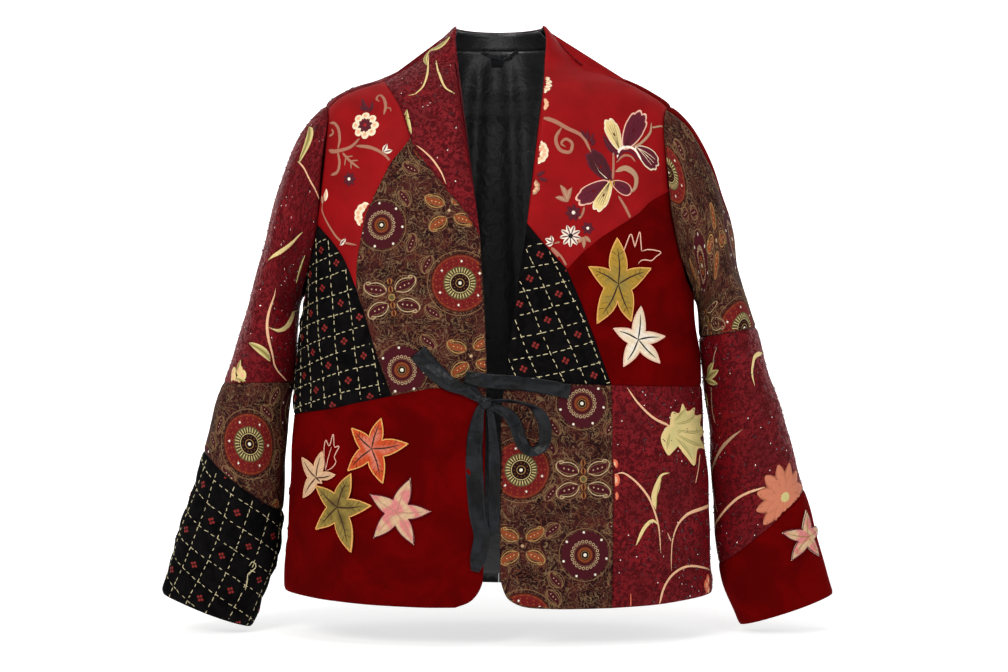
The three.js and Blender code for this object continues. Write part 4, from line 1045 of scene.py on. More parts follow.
class Thread:
    """Collects flat shapes in a chart as grids of points, each with its height above the cloth and
    its colour. Every shape is a grid of rows x columns, and paint() lays them on a cloth."""

    def __init__(self):
        self.parts = []

    def grids(self, points, heights, tints):
        """points (n, rows, columns, 2), heights and tints broadcast to it."""
        n, rows, columns, _ = points.shape
        heights = np.broadcast_to(heights, (n, rows, columns))
        tints = np.broadcast_to(tints, (n, rows, columns, 3))
        faces = grid_faces(rows, columns)[None] + (np.arange(n) * rows * columns)[:, None, None]
        self.parts.append((points.reshape(-1, 2), heights.reshape(-1), tints.reshape(-1, 3),
                           faces.reshape(-1, 4)))

    def band(self, path, width, tint, height=0.5, ends=0.15, step=2.2):
        """A cord of thread along a smooth path, w sqrt(t / ends) wide where t is less than ends."""
        path = curve(path, step) if len(path) > 1 else np.asarray(path, float)
        way = np.gradient(path, axis=0)
        way /= np.maximum(np.linalg.norm(way, axis=1), 1e-9)[:, None]
        side = np.stack([-way[:, 1], way[:, 0]], axis=1)
        t = np.linspace(0, 1, len(path))
        wide = np.interp(t, np.linspace(0, 1, np.size(width)), np.atleast_1d(width))
        close = np.minimum(1, np.minimum(t, 1 - t) / max(ends, 1e-6))
        half = wide / 2 * np.sqrt(np.clip(close, 0.04, 1))
        across = np.array([-1, 0, 1.0])
        points = path[:, None] + side[:, None] * (half[:, None] * across)[..., None]
        brim = max(height * 0.1, height - 0.45)
        self.grids(points[None], np.array([brim, height, brim])[None, None], np.asarray(tint, float))

    def petal(self, base, tip, width, tints, height=0.7, bend=0.0, power=0.75):
        """A leaf or petal: a midrib that bows by bend, and a half width of w/2 sin(pi t^0.9)^power.
        tints: edge colour, inner colour, midrib colour."""
        base, tip = np.asarray(base, float), np.asarray(tip, float)
        t = np.linspace(0.0, 1.0, 11)
        axis = tip - base
        side = np.array([-axis[1], axis[0]])
        rib = base + axis * t[:, None] + side * (bend * np.sin(math.pi * t))[:, None]
        way = np.gradient(rib, axis=0)
        way /= np.linalg.norm(way, axis=1)[:, None]
        normal = np.stack([-way[:, 1], way[:, 0]], axis=1)
        half = width / 2 * np.maximum(np.sin(math.pi * np.clip(t, 0.012, 0.988) ** 0.9), 0.0) ** power
        across = np.array([-1, -0.6, -0.12, 0.12, 0.6, 1.0])
        points = rib[:, None] + normal[:, None] * (half[:, None] * across)[..., None]
        edge, inner, vein = (np.asarray(c, float) for c in tints)
        tint = np.stack([edge, inner, vein, vein, inner, edge])
        heights = height * np.array([0.08, 0.9, 1.0, 1.0, 0.9, 0.08])
        self.grids(points[None], heights[None, None], tint[None, None])

    def discs(self, centres, radii, tints, height=0.5, segments=12):
        """Domes: r(s) = R s with height h (1 - 0.85 s^2); tints is a list of (share, colour)."""
        centres = np.asarray(centres, float).reshape(-1, 2)
        radii = np.broadcast_to(np.asarray(radii, float), (len(centres),))
        shares = np.array([0.04] + [s for s, _ in tints])
        colours = np.array([tints[0][1]] + [c for _, c in tints], float)
        reach = radii[:, None, None, None] * shares[None, :, None, None]
        points = centres[:, None, None] + reach * closed_circle(segments)[None, None]
        self.grids(points[:, ::-1], height * (1 - 0.85 * shares[::-1] ** 2)[None, :, None],
                   colours[::-1][None, :, None])

    def plate(self, centre, radius, tints, height=0.1):
        """A flat disc of rings 2.5 mm apart, so that it follows the cloth; tints as (share, colour)."""
        rows = max(4, int(radius / 2.5) + 2)
        share = np.linspace(1, 0.03, rows)
        places, colours = [s for s, _ in tints][::-1], np.array([c for _, c in tints])[::-1]
        unit = closed_circle(max(16, int(2.6 * radius)))
        points = np.asarray(centre, float) + radius * share[:, None, None] * unit[None]
        tint = np.stack([np.interp(share, places, colours[:, k]) for k in range(3)], axis=1)
        self.grids(points[None], height, tint[None, :, None])

    def ring(self, centre, radius, width, tint, height=0.45, segments=36):
        """A closed band of thread between two circles."""
        radii = radius + width * np.array([0.5, 0, -0.5])
        points = np.asarray(centre, float) + radii[:, None, None] * closed_circle(segments)[None]
        self.grids(points[None], height * np.array([0.1, 1, 0.1])[None, :, None], np.asarray(tint, float))

    def stitches(self, starts, ends, width, tint, height=0.7):
        """Straight stitches, each a small rounded bar from one place to the other."""
        starts, ends = np.asarray(starts, float), np.asarray(ends, float)
        t = np.array([0, 0.2, 0.8, 1.0])
        half = width / 2 * np.array([0.45, 1, 1, 0.45])
        way = ends - starts
        side = np.stack([-way[:, 1], way[:, 0]], axis=1)
        side /= np.maximum(np.linalg.norm(side, axis=1), 1e-9)[:, None]
        rib = starts[:, None] + way[:, None] * t[None, :, None]
        across = np.array([-1, 0, 1.0])
        points = rib[:, :, None] + side[:, None, None] * (half[:, None] * across)[None, ..., None]
        rise = np.array([0.3, 1, 1, 0.3])[:, None] * np.array([0.15, 1, 0.15])
        self.grids(points, height * rise[None], np.asarray(tint, float))

    def outline(self, points, tints, height=0.6, spacing=2.0, closed=True, rows=5):
        """A filled shape: its smooth outline drawn in to its middle in rows; tints run from the
        edge to the middle as (share, colour)."""
        points = np.asarray(points, float)
        loop = curve(np.concatenate([points, points[:1]]), spacing) if closed else points
        middle = points.mean(axis=0)
        share = np.linspace(1, 0.03, rows)
        grid = middle + share[:, None, None] * (loop - middle)[None]
        places, colours = [s for s, _ in tints], np.array([c for _, c in tints], float)
        tint = np.stack([np.interp(share, places[::-1], colours[::-1, k]) for k in range(3)], axis=1)
        self.grids(grid[None], height * (1 - 0.9 * share**4)[None, :, None], tint[None, :, None])

    def lobe(self, base, tip, width, tints, frill=0, stripes=0):
        """A broad petal, as an egg shape whose wide end is the tip: along L (1 - cos a) / 2, across
        w/2 sin a (0.65 + 0.5 t), its wide end waved by 0.09 t^2 |sin(n a)|; stripes run out to the tip.
        tints: edge, inside, stripes."""
        base, axis = np.asarray(base, float), np.asarray(tip, float) - np.asarray(base, float)
        side = np.array([-axis[1], axis[0]]) / np.linalg.norm(axis)
        a = np.linspace(0, 2 * math.pi, 41)[:-1]
        t = (1 - np.cos(a)) / 2
        wave = 1 + 0.09 * np.abs(np.sin(frill * a)) * t**2 if frill else 1 + 0 * a
        across = width / 2 * np.sin(a) * (0.65 + 0.5 * t) * wave
        loop = base + axis * (t * wave)[:, None] + side * across[:, None]
        edge, inside, stripe = (np.asarray(c, float) for c in tints)
        height = 0.7
        middle = base + axis * 0.5
        share = np.array([1, 0.93, 0.86, 0.7, 0.5, 0.3, 0.1])
        tint = np.where(share[:, None] > 0.9, edge, inside)
        grid = middle + share[:, None, None] * (np.concatenate([loop, loop[:1]]) - middle)[None]
        self.grids(grid[None], height * (1 - 0.85 * share**4)[None, :, None], tint[None, :, None])
        for k in range(stripes):
            out = (k + 1) / (stripes + 1) * 2 - 1
            end = base + axis * (0.84 - 0.1 * out**2) + side * width * 0.36 * out
            half = base + axis * 0.5 + side * width * 0.25 * out
            self.band([base + axis * 0.06, half, end], 0.9, stripe, height + 0.3, 0.3, 2.5)

    def bloom(self, centre, radius, count, tints, core, turn=0.0, core_share=0.34, width=0.9, height=0.7):
        """A flower: petals at equal turns round a core disc."""
        centre = np.asarray(centre, float)
        for k in range(count):
            angle = turn + 2 * math.pi * k / count
            way = np.array([math.cos(angle), math.sin(angle)])
            self.petal(centre + way * radius * 0.16, centre + way * radius, radius * width * 4.2 / count,
                       tints, height=height, power=0.55)
        self.discs([centre], radius * core_share, core, height=height + 0.35)

    def spiral(self, centre, radius, turns, start, width, tint):
        """r = R (1 - 0.8 t), turned by 2 pi turns t."""
        t = np.linspace(0, 1, int(18 * abs(turns)) + 6)
        angle = start + 2 * math.pi * turns * t
        r = radius * (1 - 0.8 * t)
        path = np.asarray(centre, float) + np.stack([r * np.cos(angle), r * np.sin(angle)], axis=1)
        self.band(path, width, tint)


PAINT_MARGIN = 0.9      # how far stitches and prints stay from a cloth's edge


def paint(cloth, thread, name, material, slot, lift=0.12):
    """Lays the shapes on the cloth as one mesh, without what passes the cloth's edge."""
    if not thread.parts:
        return None
    sizes = np.cumsum([0] + [len(p[0]) for p in thread.parts])
    points = np.concatenate([p[0] for p in thread.parts])
    heights = np.concatenate([p[1] for p in thread.parts])
    tints = np.concatenate([p[2] for p in thread.parts])
    faces = np.concatenate([p[3] + start for p, start in zip(thread.parts, sizes)])
    edge = cloth.edge(points[:, 0], points[:, 1])
    inside = cloth.within(points[:, 0], points[:, 1])
    faces = faces[inside[faces].min(axis=1) > PAINT_MARGIN]
    used, inverse = np.unique(faces, return_inverse=True)
    faces = inverse.reshape(-1, 4)
    points, heights, tints, edge = points[used], heights[used], tints[used], edge[used]
    places = cloth.lifted(points[:, 0], points[:, 1], heights + lift, edge)
    faces = facing_out(places, faces, cloth.wrap.normal(points[:, 0], points[:, 1]))
    piece = mesh_piece(name, places, faces, [material], None, points, tints)
    return piece


def quilt_thread(cloth, thread, dash=5.0, gap=3.4):
    """Running stitches along both families of lattice lines, and a four-petal flower in every
    second cell."""
    quilt = cloth.quilt
    low, high = cloth.reach()
    corners = np.array([[low[0], low[1]], [low[0], high[1]], [high[0], low[1]], [high[0], high[1]]])
    cells = quilt.cell(corners)
    first, last = np.floor(cells.min(axis=0)) - 1, np.ceil(cells.max(axis=0)) + 1
    draw = np.random.default_rng(7)
    for axis in (0, 1):
        size = np.linalg.norm(quilt.steps[1 - axis])
        along = np.arange(first[1 - axis], last[1 - axis], (dash + gap) / size)
        for line in np.arange(first[axis], last[axis] + 1):
            place = along + draw.uniform(-0.06, 0.06, len(along))
            length = dash / size * draw.uniform(0.75, 1.15, len(along))
            a, b = np.empty((len(along), 2)), np.empty((len(along), 2))
            a[:, axis] = line + draw.uniform(-0.015, 0.015, len(along))
            b[:, axis] = line + draw.uniform(-0.015, 0.015, len(along))
            a[:, 1 - axis], b[:, 1 - axis] = place, place + length
            starts, ends = quilt.place(a), quilt.place(b)
            keep = cloth.within(*((starts + ends) / 2).T) > 1.5
            if keep.any():
                thread.stitches(starts[keep], ends[keep], 0.9, TINT["stitch"], 0.75)
    i, j = np.meshgrid(np.arange(first[0], last[0] + 1), np.arange(first[1], last[1] + 1))
    chosen = (i + j).astype(int) % 2 == quilt.parity
    centres = quilt.place(np.stack([i[chosen] + 0.5, j[chosen] + 0.5], axis=1))
    centres = centres[cloth.within(centres[:, 0], centres[:, 1]) > -4]
    ways = quilt.steps / np.linalg.norm(quilt.steps, axis=1)[:, None]
    petal = [(0.6, TINT["flower_light"]), (1, TINT["flower_dark"])]
    for way in (ways[0], -ways[0], ways[1], -ways[1]):
        thread.discs(centres + way * 2.6, 1.75, petal, 0.55, 8)
    thread.discs(centres, 0.8, [(1, TINT["flower_core"])], 0.5, 6)


# The printed cloth: medallions and paisleys on a half-drop lattice.

PRINTS = {   # a burgundy medallion's pixel, the way down to the next one, the way across to a red one
    "left_front_paisley": ((381.5, 225), (20.5, 145), (78.5, 58)),
    "right_front_paisley": ((582, 403.5), (3, 151.5), (-61, 66.5)),
    "left_sleeve_paisley": ((200, 470), (24, 150), (49.5, -26)),
    "right_sleeve_paisley": ((701.4, 266), (30, 148), (43.6, 62)),
    "back_right_lower": (None, (4, 163), (68, 80)),
}


QUARTERS = ((1, 1), (-1, 1), (1, -1), (-1, -1))


def ink(*stops):
    """Colours of the print as (share, colour), from (share, name)."""
    return [(share, TINT["print_" + name]) for share, name in stops]


def medallion(thread, centre, turn, kind):
    """Rings of beads and teeth round a core: a red one is a broad mottled disc with a toothed
    yellow ring, a wine one a plain disc with a beaded ring and white dots about it."""

    def dots(radius, count, size, rise, corners, stops, shift=0.0):
        thread.discs(centre + radius * unit_circle(count, turn + shift), size, stops, rise, corners)

    def circle(radius, width, rise, name, segments=36):
        thread.ring(centre, radius, width, TINT["print_" + name], rise, segments=segments)

    if kind == "red":
        thread.plate(centre, 32, ink((1.0, "dark"), (0.96, "rust"), (0.9, "red"), (0.0, "red")))
        for radius, count, size in ((29.5, 24, 1.3), (26, 22, 1.5), (22, 18, 1.3), (19.4, 17, 1.0)):
            dots(radius, count, size, 0.2, 5, ink((1, "rust")), radius)
            dots(radius - 1.6, count, size * 0.7, 0.2, 5, ink((1, "dark")), radius + 0.14)
        dots(24, 6, 1.9, 0.3, 4, ink((1, "white")), 0.3)
        thread.plate(centre, 18, ink((1.0, "olive"), (0.6, "dark"), (0.0, "dark")), 0.14)
        ticks = unit_circle(30, turn)
        thread.stitches(centre + 11.2 * ticks, centre + 17.4 * ticks, 1.7, TINT["print_straw"], 0.32)
        circle(10.6, 1.3, 0.3, "straw")
        dots(7.6, 12, 1.0, 0.3, 5, ink((1, "rust")))
        circle(4.6, 0.9, 0.34, "gold")
        thread.discs([centre], 2.3, ink((1, "white")), 0.45, 8)
        circle(35.5, 0.8, 0.2, "tan", 60)
    else:
        thread.plate(centre, 26, ink((1.0, "wine"), (0.0, "wine")))
        dots(14.6, 22, 2.1, 0.26, 8, ink((0.45, "wine"), (0.6, "cream"), (1, "cream")))
        circle(12.2, 1.0, 0.24, "tan")
        core = ink((1.0, "dark"), (0.9, "rust"), (0.7, "rust"), (0.5, "dark"), (0.0, "dark"))
        thread.plate(centre, 9.4, core, 0.16)
        circle(4.4, 0.8, 0.28, "gold")
        thread.discs([centre], 2.6, ink((0.5, "white"), (1, "green")), 0.4, 8)
        dots(24.5, 7, 1.8, 0.3, 6, ink((0.6, "white"), (1, "tan")), 0.2)
        circle(28.5, 0.7, 0.2, "tan", 50)


def paisley(thread, foot, length, turn, hand, fill, line):
    """A drop whose tip runs on as a hook. The midrib bends by 3.6 ((t - 0.6) / 0.4)^1.3 past
    t = 0.6, and the half width is 0.2 L sin(pi (t / 0.8)^0.8), to 0 at t = 0.8."""
    t = np.linspace(0, 1, 22)
    angle = turn + hand * (3.6 * np.clip((t - 0.6) / 0.4, 0, 1) ** 1.3 - 0.5 * np.sin(math.pi * t / 0.8)
                           * (t < 0.8))
    steps = np.stack([np.cos(angle), np.sin(angle)], axis=1) * length / 21
    rib = np.asarray(foot, float) + np.cumsum(steps, axis=0)
    normal = np.stack([-np.sin(angle), np.cos(angle)], axis=1)
    half = length * 0.2 * np.sin(math.pi * np.clip(t / 0.8, 0, 1) ** 0.8) + 0.008 * length
    for scale, width, tint in ((1.0, 0.95, line), (0.62, 0.55, TINT["print_tan"]),
                               (1.45, 0.6, TINT["print_tan"])):
        left, right = rib + normal * (half * scale)[:, None], rib - normal * (half * scale)[:, None]
        last = 18 if scale < 1 else 22
        loop = np.concatenate([left[:last], right[:last][::-1][1:], left[:1]])
        thread.band(loop, width, tint, 0.2, ends=0.001, step=length / 18)
    if fill is not None:
        share = np.array([0.62, 0.3, 0.0])
        across = np.concatenate([share, -share[::-1][1:]])
        points = rib[1:18, None] + normal[1:18, None] * (half[1:18, None] * across)[..., None]
        thread.grids(points[None], 0.12 * (1 - across**2)[None, None], np.asarray(fill, float))
        thread.discs(rib[4:13:3], length * 0.035, [(1, TINT["print_cream"])], 0.3, 6)


def print_thread(cloth, thread):
    """Fills the cloth with the lattice: burgundy medallions and crossed paisleys in one column,
    red medallions and orange paisleys round a dot in the next."""
    origin, down, across = cloth.print_lattice
    low, high = cloth.reach()
    draw = np.random.default_rng(len(cloth.name))
    lean = math.atan2(down[1], down[0]) - math.pi / 2
    column = across - down / 2

    def drops(middle, foot, way, size, hand, fill, line, sway=0.0):
        """Four paisleys about a place, each the mirror of its neighbours."""
        for sx, sy in QUARTERS:
            turn = lean + math.atan2(sy * way[1], sx * way[0])
            if sway:
                turn += draw.uniform(-sway, sway)
            start = middle + rotate((sx * foot[0], sy * foot[1]), lean)
            paisley(thread, start, size, turn, hand * sx * sy, TINT["print_" + fill], TINT["print_" + line])

    for i in range(-7, 8):
        for j in range(-7, 8):
            place = origin + down * i + column * j + (down / 2 if j % 2 else 0)
            if np.any(place < low - 60) or np.any(place > high + 60):
                continue
            other = place + down / 2
            if j % 2 == 0:
                medallion(thread, place, lean, "wine")
                drops(other, (4, 5), (1, 0.9), 36, 1, "wine", "cream")
                for angle in (math.pi / 2, 1.5 * math.pi):
                    way = rotate((math.cos(angle), math.sin(angle)), lean)
                    for start, end in ((5, 13), (14, 22)):
                        thread.petal(other + way * start, other + way * end, 5.5,
                                     [tint for _, tint in ink((0, "gold"), (0, "rust"), (0, "dark"))], 0.25)
                thread.discs([other], 4.2, ink((0.5, "olive"), (1, "gold")), 0.3, 8)
            else:
                medallion(thread, place, lean, "red")
                drops(other, (4, 5), (0.8, 1), 30, 1, "rust", "gold")
                thread.discs([other], 2.2, ink((0.5, "cream"), (1, "red")), 0.3, 8)
            drops(place, (27, 36), (0.25, -0.9), 28, -1, "wine", "tan", 0.25)


def rotate(vector, angle):
    c, s = math.cos(angle), math.sin(angle)
    return np.array([vector[0] * c - vector[1] * s, vector[0] * s + vector[1] * c])


# Stitched pictures: every table row is a shape in pixels of the photograph, sizes in pixels too.

def rgb(code):
    """Linear colour of a six-digit code: ((c + 0.055) / 1.055)^2.4, or c / 12.92 in the dark."""
    parts = [int(code[k:k + 2], 16) / 255 for k in (0, 2, 4)]
    return tuple(((c + 0.055) / 1.055) ** 2.4 if c > 0.04 else c / 12.92 for c in parts)


TINT = {name: rgb(code) for name, code in {
    "stitch": "cfc39a", "flower_light": "86201c", "flower_dark": "540f0e", "flower_core": "2a0808",
    "print_red": "6f1a1a", "print_rust": "8e4424", "print_dark": "1d0d0b", "print_wine": "45121b",
    "print_tan": "826244", "print_straw": "c9b67c", "print_cream": "c4ab84", "print_white": "efe8d6",
    "print_olive": "5c5434", "print_gold": "b48a50", "print_green": "8d9c7a", "cream": "f1ddbd",
    "pale": "fbeedd", "peach": "e9b48c", "coral": "e06a4e", "plum": "5d1426", "wine": "431019",
    "gold": "cfa648", "olive": "8a7a3c", "beige": "b08a6c", "brown": "4a2c1c", "black": "101012",
    "pink": "dd8480", "dusk": "2c1a1c", "mauve": "a8705a", "straw": "e3c989", "leafgreen": "c9bd7c",
    "blush": "f0b8a0", "white": "f4ead8", "amber": "eaa95c", "moss": "6e5a26", "khaki": "97803a",
    "flame": "c8481c", "blossom": "dc8068", "sand": "dcb48e", "umber": "3a1d14", "tan": "d8b088",
    "ochre": "b08a2e", "red": "a8161a", "leafline": "6f5a3a", "salmon": "c9785a", "rust": "8e4a34",
}.items()}

# A leaf's or petal's colours: edge, inside, midrib.
CREAM = ("cream", "pale", "plum")
PALE = ("pale", "cream", "peach")
MOSS = ("leafgreen", "olive", "leafgreen")
SAGE = ("cream", "olive", "dusk")
CORAL = ("coral", "coral", "peach")
PLUM = ("plum", "wine", "plum")
LEAF = ("straw", "leafgreen", "olive")
MAUVE = ("mauve", "mauve", "beige")
STRIPE = ("cream", "straw", "leafline")
IRIS = ("blush", "plum", "wine")
FRILL = ("cream", "plum", "cream")
SALMON = ("rust", "salmon", "salmon")

